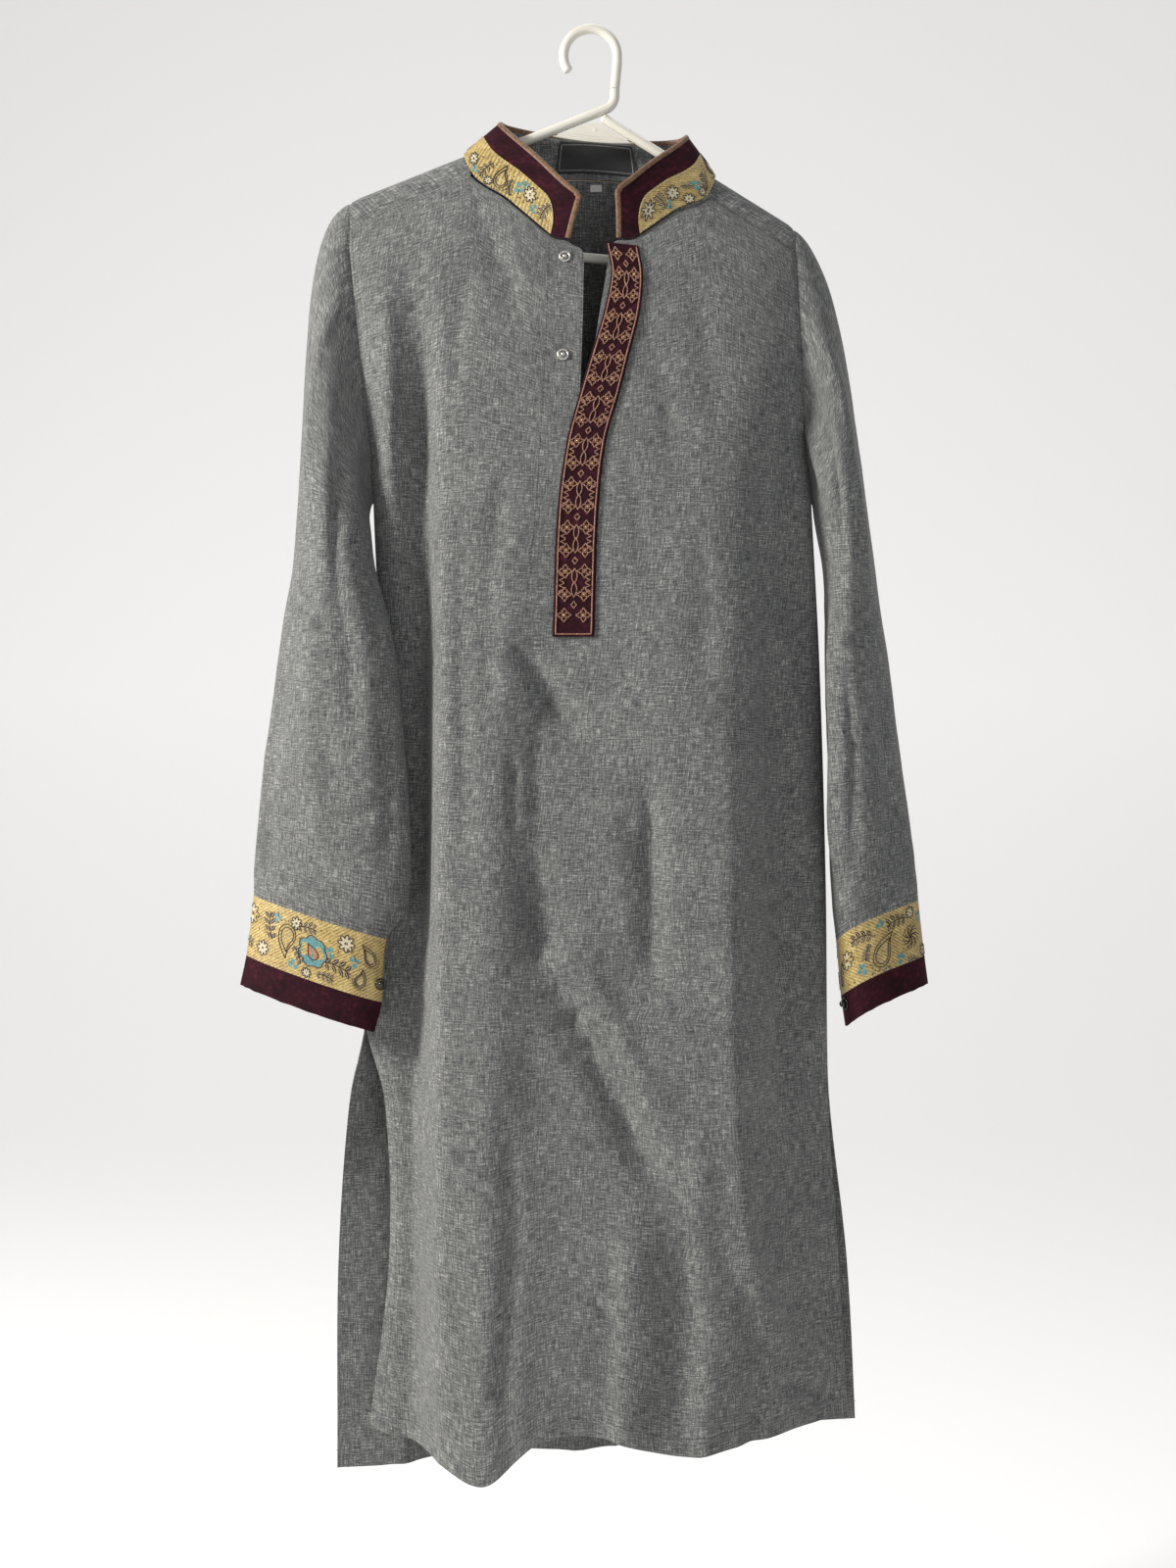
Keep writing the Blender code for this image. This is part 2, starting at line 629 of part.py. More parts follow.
def build_yoke(front, back, curve):
    """Shoulder yoke: from the front seams and the neck seam over to the back seam."""
    rows = len(YOKE_NECK_ROWS)
    shoulders = []
    for left in (True, False):
        pairs = neck_side(curve, left)
        armhole = FRONT_SECTIONS[0]["x"][0 if left else -1]
        corner = pairs[-1]
        depth = shoulder_line(corner[1]) - smooth_through(BACK_SEAM_X, BACK_SEAM_Z, corner[1])
        side_x = []
        for j, step in enumerate(YOKE_NECK_ROWS):
            q = step * math.sqrt(YOKE_FRONT_DROP if step < 0 else depth)
            side_x.append(straight_through(pairs, q))
        columns = [yoke_column(armhole, side_x, k / SHOULDER_STEPS)
                   for k in range(SHOULDER_STEPS + 1)]
        columns[-1][YOKE_CORNER_ROW] = (corner[1], corner[0])
        shoulders.append(columns)
    nape = []
    for k in range(1, NAPE_STEPS):
        x, q = neck_at(curve, mix(COLLAR_ROWS["left_back"], COLLAR_ROWS["right_back"],
                                  k / NAPE_STEPS))
        low = math.sqrt(shoulder_line(x) - smooth_through(BACK_SEAM_X, BACK_SEAM_Z, x) - SEAM * 0.7)
        column = [(x, q)] * YOKE_CORNER_ROW
        for j in range(YOKE_CORNER_ROW, rows):
            column.append((x, mix(q, low, (j - YOKE_CORNER_ROW) / (rows - 1 - YOKE_CORNER_ROW))))
        nape.append(column)
    columns = shoulders[0] + nape + shoulders[1][::-1]
    missing = {(j, i) for j in range(YOKE_CORNER_ROW)
               for i in range(SHOULDER_STEPS, SHOULDER_STEPS + NAPE_STEPS)}
    grid = [[column[j] for column in columns] for j in range(rows)]
    mids = [[ridge_point(front, back, x, q) for x, q in row] for row in grid]
    normals = [[ridge_normal(front, back, x, q) for x, q in row] for row in grid]
    wall("yoke", mids, normals, CLOTH, "cloth", missing=missing)
    return mids


def sleeve_row(table, z):
    """The sleeve's measures at height z."""
    rows = sorted(table, key=lambda row: row["z"])
    knots = [row["z"] for row in rows]
    values = {}
    for key in ("front", "back", "drop", "lean"):
        values[key] = smooth_through(knots, [row[key] for row in rows], z)
    for key in ("out", "inn"):
        values[key] = [smooth_through(knots, [row[key][k] for row in rows], z) for k in (0, 1)]
    return values


def sleeve_point(table, z, phi):
    """phi turns from the inner fold (0) over the front (0.25) to the outer fold (0.5)."""
    row = sleeve_row(table, z)
    turn = 2 * math.pi * phi
    inner = (1 + math.cos(turn)) / 2
    x = mix(row["out"][0], row["inn"][0], inner)
    y = mix(row["out"][1], row["inn"][1], inner)
    swing = math.sin(turn)
    if swing > 0:
        x += row["lean"] * swing * swing
        y -= row["front"] * swing ** SLEEVE_PEAK
    else:
        y += row["back"] * -swing
    return Vector((x, y, z - row["drop"] * math.cos(turn)))


def armhole_loop(front_mids, back_mids, yoke_mids, column, side):
    """Armhole edge points from the underarm up the front, over the yoke, down the back."""
    first = ROWS_SKIRT + ROWS_BODY
    under = (front_mids[first][column] + back_mids[first][column]) / 2
    rise = [row[column] for row in front_mids[first + 1:]]
    over = [row[column] for row in yoke_mids[1:-1]]
    fall = [row[column] for row in back_mids[first + 1:]]
    loop = []
    for p in [under] + rise + over + fall[::-1]:
        share = soft_step((p.z - UNDERARM_Z) / SLEEVE_HEAD["underarm_reach"])
        clear = mix(SLEEVE_HEAD["underarm_clear"], SLEEVE_HEAD["clear"], share)
        loop.append(p + Vector((side * clear, 0, 0)))
    return loop, len(rise) + YOKE_ARMHOLE_ROWS.index(0.0)


def loop_turns(loop, top):
    """phi of each loop point: 0 at the underarm, 0.5 at the shoulder line, by length."""
    closed = loop + [loop[0]]
    lengths = [0.0]
    for a, b in zip(closed, closed[1:]):
        lengths.append(lengths[-1] + (b - a).length)
    turns = []
    for i in range(len(loop)):
        if i <= top:
            turns.append(0.5 * lengths[i] / lengths[top])
        else:
            turns.append(0.5 + 0.5 * (lengths[i] - lengths[top]) / (lengths[-1] - lengths[top]))
    return turns


def head_point(table, start, phi, share, side):
    """Sleeve head: from the armhole point out and down to the first full ring."""
    first = table[0]["z"]
    end = sleeve_point(table, first, phi)
    down = (sleeve_point(table, first - 25, phi) - end).normalized()
    over = math.sin(math.pi * phi) ** 2
    slope = math.tan(ARM_SLOPE + side * HANGER_TILT)
    out = Vector((side, -SLEEVE_HEAD["forward"] * math.sin(2 * math.pi * phi),
                  -mix(SLEEVE_HEAD["underarm_fall"], slope, over))).normalized()
    reach = (end - start).length
    p1 = start + out * reach * SLEEVE_HEAD["reach"]
    p2 = end - down * reach * SLEEVE_HEAD["hang"]
    t = share
    return (start * (1 - t) ** 3 + p1 * 3 * t * (1 - t) ** 2
            + p2 * 3 * t * t * (1 - t) + end * t ** 3)


def ring_normals(grid):
    """Outward normals of a ring grid by central differences (rings run down the sleeve)."""
    normals = []
    count = len(grid[0])
    for j, ring in enumerate(grid):
        above = grid[max(j - 1, 0)]
        below = grid[min(j + 1, len(grid) - 1)]
        middle = sum(ring, Vector()) / count
        row = []
        for i, p in enumerate(ring):
            around = ring[(i + 1) % count] - ring[i - 1]
            out = around.cross(below[i] - above[i]).normalized()
            if out.dot(p - middle) < 0:
                out.negate()
            row.append(out)
        normals.append(row)
    return normals


def build_sleeve(name, table, loop, top, side):
    """Sleeve, brocade band and velvet band of one arm, cut from one run of rings."""
    turns = loop_turns(loop, top)
    grid = []
    for j in range(SLEEVE_HEAD_ROWS):
        share = j / SLEEVE_HEAD_ROWS
        grid.append([head_point(table, p, phi, share, side) for p, phi in zip(loop, turns)])
    cuff = table[-3]["z"]
    for j in range(SLEEVE_ROWS + 1):
        z = mix(table[0]["z"], cuff, j / SLEEVE_ROWS)
        grid.append([sleeve_point(table, z, phi) for phi in turns])
    normals = ring_normals(grid)
    for node, first, last in SLEEVE_PARTS[name]:
        rings = grid[first:last + 1]
        if first:
            rings[0] = [p + (q - p).normalized() * SLEEVE_PART_GAP
                        for p, q in zip(rings[0], rings[1])]
        wall(node, rings, normals[first:last + 1], CLOTH, "cloth", wrap=True)
    bands = (("brocade", cuff, table[-2]["z"], 2), ("velvet", table[-2]["z"], table[-1]["z"], 1))
    for kind, start, end, steps in bands:
        rings = []
        for j in range(steps + 1):
            z = mix(start - SEAM, end, j / steps)
            rings.append([sleeve_point(table, z, phi) for phi in turns])
        normals = ring_normals(rings)
        cut_rings = [open_ring(ring) for ring in rings]
        cut_normals = [row + [row[0]] for row in normals]
        wall(f"cuff_{kind}_{name}", cut_rings, cut_normals, CLOTH, kind)


def open_ring(ring):
    """A ring opened at its inner fold, both ends drawn back by half the slit."""
    first = ring[0] + (ring[1] - ring[0]).normalized() * CUFF_SLIT / 2
    last = ring[0] + (ring[-1] - ring[0]).normalized() * CUFF_SLIT / 2
    return [first] + ring[1:] + [last]


class Collar:
    """Stand collar surface between the neck seam and its top edge."""

    def __init__(self, front, back, curve):
        self.base = []
        self.top = [Vector(row["top"]) for row in COLLAR]
        self.last = len(COLLAR) - 1.0
        self.front = front
        self.back = back
        self.curve = curve
        self.lengths = [(0.0, 0.0)]
        before = self.at(0.0, 0.5)
        for k in range(1, 141):
            u = self.last * k / 140
            here = self.at(u, 0.5)
            self.lengths.append((self.lengths[-1][0] + (here - before).length, u))
            before = here
        self.length = self.lengths[-1][0]

    def at(self, u, v):
        x, q = neck_at(self.curve, u)
        low = ridge_point(self.front, self.back, x, q)
        high = curve_point(self.top, u)
        rise = (high - low).normalized()
        low = low + rise * COLLAR_LIFT
        bow = 4 * v * (1 - v) * COLLAR_BOW
        out = Vector((low.x, low.y * 2.0, 0))
        out = out.normalized() if out.length > 1 else Vector((0, 1, 0))
        return mix(low, high, v) + out * bow

    def spot(self, s, v):
        """s in millimetres along the collar from its left front end."""
        return self.at(straight_through(self.lengths, s), v)

    def height(self, s):
        return (self.spot(s, 1.0) - self.spot(s, 0.0)).length

    def normal(self, s, v):
        along = self.spot(s + 1.5, v) - self.spot(s - 1.5, v)
        if s < 1.5 or s > self.length - 1.5:
            inner = min(max(s, 2.0), self.length - 2.0)
            along = self.spot(inner + 1.5, v) - self.spot(inner - 1.5, v)
        up = self.spot(s, min(v + 0.05, 1)) - self.spot(s, max(v - 0.05, 0))
        return up.cross(along).normalized()

    def layer(self, name, places, heights, offset, thickness, kind, missing=()):
        """A wall over the places along the collar; heights gives each row's share at s."""
        mids = []
        normals = []
        for height in heights:
            facing = [self.normal(s, height(s)) for s in places]
            mids.append([self.spot(s, height(s)) + n * offset for s, n in zip(places, facing)])
            normals.append(facing)
        wall(name, mids, normals, thickness, kind, missing=missing)

    def places(self, start, end, count):
        """Places from start to end, closer together where the collar turns."""
        marks = [(0.0, start)]
        before = self.spot(start + 1, 0.1) - self.spot(start - 1, 0.1)
        for k in range(1, 201):
            s = mix(start, end, k / 200)
            heading = self.spot(s + 1, 0.1) - self.spot(s - 1, 0.1)
            cost = (end - start) / 200 / 12 + heading.angle(before) / 0.25
            marks.append((marks[-1][0] + cost, s))
            before = heading
        return [straight_through(marks, marks[-1][0] * k / count) for k in range(count + 1)]


def brocade_top(collar, s, spread_by=0.0):
    """Share of the collar's height that the brocade band covers at s."""
    edge = min(s, collar.length - s) - BROCADE_END + spread_by
    share = min(max(edge / BROCADE_CORNER, 0.0), 1.0)
    return BROCADE_SHARE * (0.4 + 0.6 * math.sqrt(1 - (1 - share) ** 2))


def build_collar(collar):
    """Grey stand, with the brocade and velvet bands side by side on its outer face."""
    trim = PIPING_INSET + PIPING_WIDTH / 2 + PIPING_ROOM
    top = 1 - trim / min(collar.height(0.0), collar.height(collar.length / 2))
    rise = BAND_GAP / collar.height(0.0)
    corner = [BROCADE_END + d for d in (0.0, 1.2, 3.6, 7.5)]
    start = BROCADE_END + BROCADE_CORNER
    middle = collar.places(start, collar.length - start, COLLAR_STEPS)
    across = corner + middle + [collar.length - s for s in reversed(corner)]
    ends = [trim, (trim + BROCADE_END) / 2, BROCADE_END - BAND_GAP]
    whole = ends + across + [collar.length - s for s in reversed(ends)]
    out = CLOTH + WALL_CLEAR

    def seam(s):
        return brocade_top(collar, s, BAND_GAP) + rise

    rows = (lambda s: 0.0, seam, lambda s: mix(seam(s), top, 0.5), lambda s: top)
    collar.layer("collar_stand", whole, rows, 0.0, CLOTH, "cloth")
    inside = range(len(ends) - 1, len(whole) - len(ends))
    collar.layer("collar_velvet", whole, rows, out, CLOTH, "velvet",
                 missing={(0, i) for i in inside})
    collar.layer("collar_brocade", across,
                 (lambda s: 0.0, lambda s: brocade_top(collar, s) / 2,
                  lambda s: brocade_top(collar, s)), out, CLOTH, "brocade")
    build_piping(collar)


def piping_path(collar):
    """Places (s, h) up the left front edge, along the top and down the right front edge."""
    inset = PIPING_INSET
    r = PIPING_CORNER
    places = []
    left_height = collar.height(inset)
    right_height = collar.height(collar.length - inset)
    for k in range(5):
        places.append((inset, mix(1.0, left_height - inset - r, k / 4)))
    for k in range(1, 4):
        turn = math.pi / 2 * k / 4
        places.append((inset + r * (1 - math.cos(turn)),
                       left_height - inset - r + r * math.sin(turn)))
    for s in collar.places(inset + r, collar.length - inset - r, COLLAR_STEPS):
        places.append((s, collar.height(s) - inset))
    for k in range(1, 4):
        turn = math.pi / 2 * k / 4
        places.append((collar.length - inset - r + r * math.sin(turn),
                       right_height - inset - r + r * math.cos(turn)))
    for k in range(5):
        places.append((collar.length - inset, mix(right_height - inset - r, 1.0, k / 4)))
    return places


def build_piping(collar):
    places = piping_path(collar)
    offset = (CLOTH + WALL_CLEAR) / 2
    centres = []
    facing = []
    for s, h in places:
        v = h / collar.height(s)
        n = collar.normal(s, v)
        centres.append(collar.spot(s, v) + n * offset)
        facing.append(n)
    rings = []
    sides = 6
    for i, centre in enumerate(centres):
        along = centres[min(i + 1, len(centres) - 1)] - centres[max(i - 1, 0)]
        along.normalize()
        n = (facing[i] - along * facing[i].dot(along)).normalized()
        across = along.cross(n)
        ring = []
        for k in range(sides):
            turn = 2 * math.pi * (k + 0.5) / sides
            ring.append(centre + across * (PIPING_WIDTH / 2 * math.cos(turn))
                        + n * (PIPING_THICKNESS / 2 * math.sin(turn)))
        rings.append(ring)
    tube_from_rings("collar_piping", rings, "piping", closed=False)


def tube_from_rings(name, rings, kind, closed):
    """A solid rod through the rings, capped at both ends unless it closes on itself."""
    sides = len(rings[0])
    points = [p for ring in rings for p in ring]
    faces = []
    spans = len(rings) if closed else len(rings) - 1
    for j in range(spans):
        for k in range(sides):
            a = j * sides + k
            b = j * sides + (k + 1) % sides
            after = ((j + 1) % len(rings)) * sides
            faces.append((a, b, after + (k + 1) % sides, after + k))
    if not closed:
        faces.append(tuple(range(sides)))
        faces.append(tuple((len(rings) - 1) * sides + k for k in range(sides)))
    return add_object(name, points, faces, kind)


def planar_rod(name, path, radius, sides, kind):
    """A round rod along a path of (x, z) in the hanger's plane, mitred at its bends."""
    rings = []
    for i, here in enumerate(path):
        into = (here - path[i - 1]).normalized() if i else (path[1] - here).normalized()
        if i + 1 < len(path):
            away = (path[i + 1] - here).normalized()
        else:
            away = into
        along = (into + away).normalized()
        stretch = 1 / max(along.dot(into), 0.5)
        across = Vector((-along.y, along.x)) * stretch
        ring = []
        for k in range(sides):
            turn = 2 * math.pi * k / sides
            spot = here + across * (radius * math.cos(turn))
            ring.append(Vector((spot.x, radius * math.sin(turn), spot.y)))
        rings.append(ring)
    return tube_from_rings(name, rings, kind, closed=False)


def hanger_place(x, z):
    """From the hanger's upright frame into the tilted one."""
    return Vector((APEX_X + x * math.cos(HANGER_TILT) + z * math.sin(HANGER_TILT),
                   APEX_Z - x * math.sin(HANGER_TILT) + z * math.cos(HANGER_TILT)))


def arc(centre, radius, start, end, steps):
    """Points (x, z) on an arc, angles in radians from +X towards +Z."""
    return [Vector((centre[0] + radius * math.cos(mix(start, end, k / steps)),
                    centre[1] + radius * math.sin(mix(start, end, k / steps))))
            for k in range(steps + 1)]


def build_hanger():
    """Hook, bent tube frame and web plate, 0.3 mm apart."""
    cos_a = math.cos(ARM_SLOPE)
    sin_a = math.sin(ARM_SLOPE)
    end_x = ARM_LENGTH * cos_a
    end_z = -ARM_LENGTH * sin_a
    centre_x = end_x - TURN_RADIUS * sin_a
    centre_z = end_z - TURN_RADIUS * cos_a
    quarter = math.pi / 2
    left = arc((-centre_x, centre_z), TURN_RADIUS, quarter + ARM_SLOPE, 3 * quarter, 8)
    right = arc((centre_x, centre_z), TURN_RADIUS, -quarter, quarter - ARM_SLOPE, 8)
    stop = Vector((ARM_END_GAP * cos_a, -ARM_END_GAP * sin_a))
    middle_arm = Vector((-end_x / 2, end_z / 2))
    loop = [middle_arm] + left + right + [Vector((end_x / 2, end_z / 2)), stop]
    arm = hanger_place(-end_x / 2, end_z / 2)
    apex = hanger_place(0, 0)
    climb = (apex - arm).normalized()
    bend = apex + climb * ((HOOK_STEM_X - apex.x) / climb.x)
    stem = [Vector((HOOK_STEM_X, HOOK_JOINT_Z))]
    for k in range(1, 6):
        share = k / 6
        a = Vector((HOOK_STEM_X, bend.y + 9.0))
        b = bend - climb * 9.0
        stem.append(a * (1 - share) ** 2 + bend * 2 * share * (1 - share) + b * share ** 2)
    path = stem + [apex] + [hanger_place(p.x, p.y) for p in loop]
    planar_rod("hanger_frame", path, TUBE_RADIUS, 10, "plastic")
    circle_z = TUBE_RADIUS - HOOK_RADIUS
    rise = [Vector((HOOK_STEM_X, HOOK_JOINT_Z + SEAM)), Vector((HOOK_STEM_X + 1.2, -33.0)),
            Vector((HOOK_RADIUS, -24.0))]
    turn = arc((0.0, circle_z), HOOK_RADIUS, 0.0, math.radians(212), 16)
    planar_rod("hanger_hook", rise + turn, TUBE_RADIUS, 10, "plastic")
    build_web(cos_a)


def build_web(cos_a):
    """Plate under the apex: it follows both arms and has a slightly bowed lower edge."""
    under = (TUBE_RADIUS + WALL_CLEAR) / cos_a
    slope = math.tan(ARM_SLOPE)
    steps = 8
    mids = []
    for share in (0.0, 1.0):
        row = []
        for k in range(2 * steps + 1):
            x = mix(-WEB_HALF_WIDTH, WEB_HALF_WIDTH, k / (2 * steps))
            low = -WEB_DEPTH + 1.8 * (x / WEB_HALF_WIDTH) ** 2
            high = -slope * math.sqrt(x * x + 16.0) - under - 1.0
            place = hanger_place(x, mix(low, max(high, low + 0.6), share))
            row.append(Vector((place.x, 0.0, place.y)))
        mids.append(row)
    normals = [[Vector((0, -1, 0))] * len(mids[0]) for _ in mids]
    wall("hanger_web", mids, normals, WEB_THICKNESS, "plastic")


def build_placket(front):
    """Velvet strip laid over the front's opening edge, clear of the cloth under it."""
    rows = sorted(PLACKET, key=lambda row: row["z"])
    knots = [row["z"] for row in rows]
    steps = 20
    across = 4
    offset = CLOTH / 2 + PLACKET_CLEAR + PLACKET_THICKNESS / 2
    mids = []
    normals = []
    for j in range(steps + 1):
        z = mix(knots[0], knots[-1], j / steps)
        left = smooth_through(knots, [row["left"] for row in rows], z)
        right = smooth_through(knots, [row["right"] for row in rows], z)
        row = []
        facing = []
        for i in range(across + 1):
            slant = PLACKET_TOP_SLANT * (i / across) * (j / steps) ** 6
            point, normal = front.on_surface(mix(left, right, i / across), z - slant)
            row.append(point + normal * offset)
            facing.append(normal)
        mids.append(row)
        normals.append(facing)
    wall("placket", mids, normals, PLACKET_THICKNESS, "velvet")


def turned(name, centre, axis, profile, sides, kind):
    """A turned solid: (radius, height) pairs along the axis, ends on the axis."""
    side = axis.orthogonal().normalized()
    other = axis.cross(side)
    points = []
    faces = []
    inner = [pair for pair in profile if pair[0] > 0]
    for radius, height in inner:
        for k in range(sides):
            turn = 2 * math.pi * k / sides
            points.append(centre + side * (radius * math.cos(turn))
                          + other * (radius * math.sin(turn)) + axis * height)
    for j in range(len(inner) - 1):
        for k in range(sides):
            a = j * sides + k
            b = j * sides + (k + 1) % sides
            faces.append((a, b, b + sides, a + sides))
    points.append(centre + axis * profile[0][1])
    points.append(centre + axis * profile[-1][1])
    low = len(points) - 2
    for k in range(sides):
        faces.append((low, (k + 1) % sides, k))
        last = (len(inner) - 1) * sides
        faces.append((low + 1, last + k, last + (k + 1) % sides))
    return add_object(name, points, faces, kind)


def build_snaps(front):
    profile = ((0, 0.0), (SNAP_RADIUS - 0.4, 0.0), (SNAP_RADIUS, 0.5), (SNAP_RADIUS - 0.6, 1.2),
               (SNAP_RADIUS - 1.8, 1.2), (SNAP_RADIUS - 2.4, 0.7), (1.8, 0.7), (1.4, 2.0),
               (0, 2.2))
    for name, x, z in SNAPS:
        point, normal = front.on_surface(x, z)
        turned(name, point + normal * (CLOTH / 2 + 0.45), normal, profile, 12, "silver")


def build_cuff_fastening(bead, table):
    """Bead button just in front of the cuff's inner fold, with its cord loop round it."""
    name = bead["cuff"]
    z = bead["z"]
    phi = bead["phi"]
    point = sleeve_point(table, z, phi)
    around = sleeve_point(table, z, phi + 0.01) - sleeve_point(table, z, phi - 0.01)
    down = sleeve_point(table, z - 2, phi) - sleeve_point(table, z + 2, phi)
    out = around.cross(down).normalized()
    middle = (sleeve_point(table, z, 0.0) + sleeve_point(table, z, 0.5)) / 2
    if out.dot(point - middle) < 0:
        out.negate()
    r = BEAD_RADIUS
    arcs = [(r * math.sin(math.pi * k / 7), r - r * math.cos(math.pi * k / 7))
            for k in range(8)]
    seat = CLOTH / 2 + bead["lift"]
    turned(f"cuff_button_{name}", point + out * seat, out, arcs, 10, "bead")
    side = around.normalized()
    upward = out.cross(side)
    centre = point + out * (CLOTH / 2 + 0.45 + LOOP_CORD)
    rings = []
    steps = 16
    for j in range(steps):
        turn = 2 * math.pi * j / steps
        spoke = side * math.cos(turn) + upward * math.sin(turn)
        stretch = 1.0 + 0.35 * max(0.0, -math.cos(turn)) ** 2
        heart = centre + spoke * (LOOP_RADIUS * stretch)
        rings.append([heart + spoke * (LOOP_CORD * math.cos(2 * math.pi * k / 6))
                      + out * (LOOP_CORD * math.sin(2 * math.pi * k / 6)) for k in range(6)])
    tube_from_rings(f"cuff_loop_{name}", rings, "bead", closed=True)


def build_label(collar):
    """Bare label on the inside of the back collar."""
    samples = [mix(collar.length * 0.3, collar.length * 0.7, k / 80) for k in range(81)]
    start = min(samples, key=lambda s: abs(collar.spot(s, 0.5).x - LABEL["left"]))
    end = min(samples, key=lambda s: abs(collar.spot(s, 0.5).x - LABEL["right"]))
    places = [mix(start, end, k / 10) for k in range(11)]
    offset = -(CLOTH / 2 + LABEL["clear"] + LABEL["thickness"] / 2)
    low = LABEL["bottom"]
    high = LABEL["top"]
    collar.layer("neck_label", places, (lambda s: low, lambda s: (low + high) / 2, lambda s: high),
                 offset, LABEL["thickness"], "label")


def build_size_tab(front, back):
    offset = CLOTH / 2 + WALL_CLEAR + SIZE_TAB["thickness"] / 2
    mids = []
    normals = []
    for z in (SIZE_TAB["bottom"], SIZE_TAB["top"]):
        row = []
        facing = []
        for x in (SIZE_TAB["left"], SIZE_TAB["right"]):
            q = math.sqrt(shoulder_line(x) - z)
            normal = ridge_normal(front, back, x, q)
            row.append(ridge_point(front, back, x, q) - normal * offset)
            facing.append(normal)
        mids.append(row)
        normals.append(facing)
    wall("size_tab", mids, normals, SIZE_TAB["thickness"], "tab")


def main():
    for old in list(bpy.data.objects):
        bpy.data.objects.remove(old)
    front = Panel(FRONT_SECTIONS, FRONT_FOLDS, -1)
    back = Panel(BACK_SECTIONS, BACK_FOLDS, 1)
    curve = neck_curve()
    neck = front_neck_line(curve)
    front_mids = build_front(front, neck)
    back_mids = build_back(back)
    yoke_mids = build_yoke(front, back, curve)
    arms = ((SLEEVE_LEFT, 0, -1), (SLEEVE_RIGHT, -1, 1))
    for bead, (table, column, side) in zip(BEADS, arms):
        loop, top = armhole_loop(front_mids, back_mids, yoke_mids, column, side)
        build_sleeve(bead["cuff"], table, loop, top, side)
        build_cuff_fastening(bead, table)
    collar = Collar(front, back, curve)
    build_collar(collar)
    build_placket(front)
    build_snaps(front)
    build_label(collar)
    build_size_tab(front, back)
    build_hanger()


main()
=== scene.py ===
# Thobe robe on a tube hanger: cloth, trims and hanger as they look.
# Sizes are in millimetres; newObject writes them in metres.
import json
import math

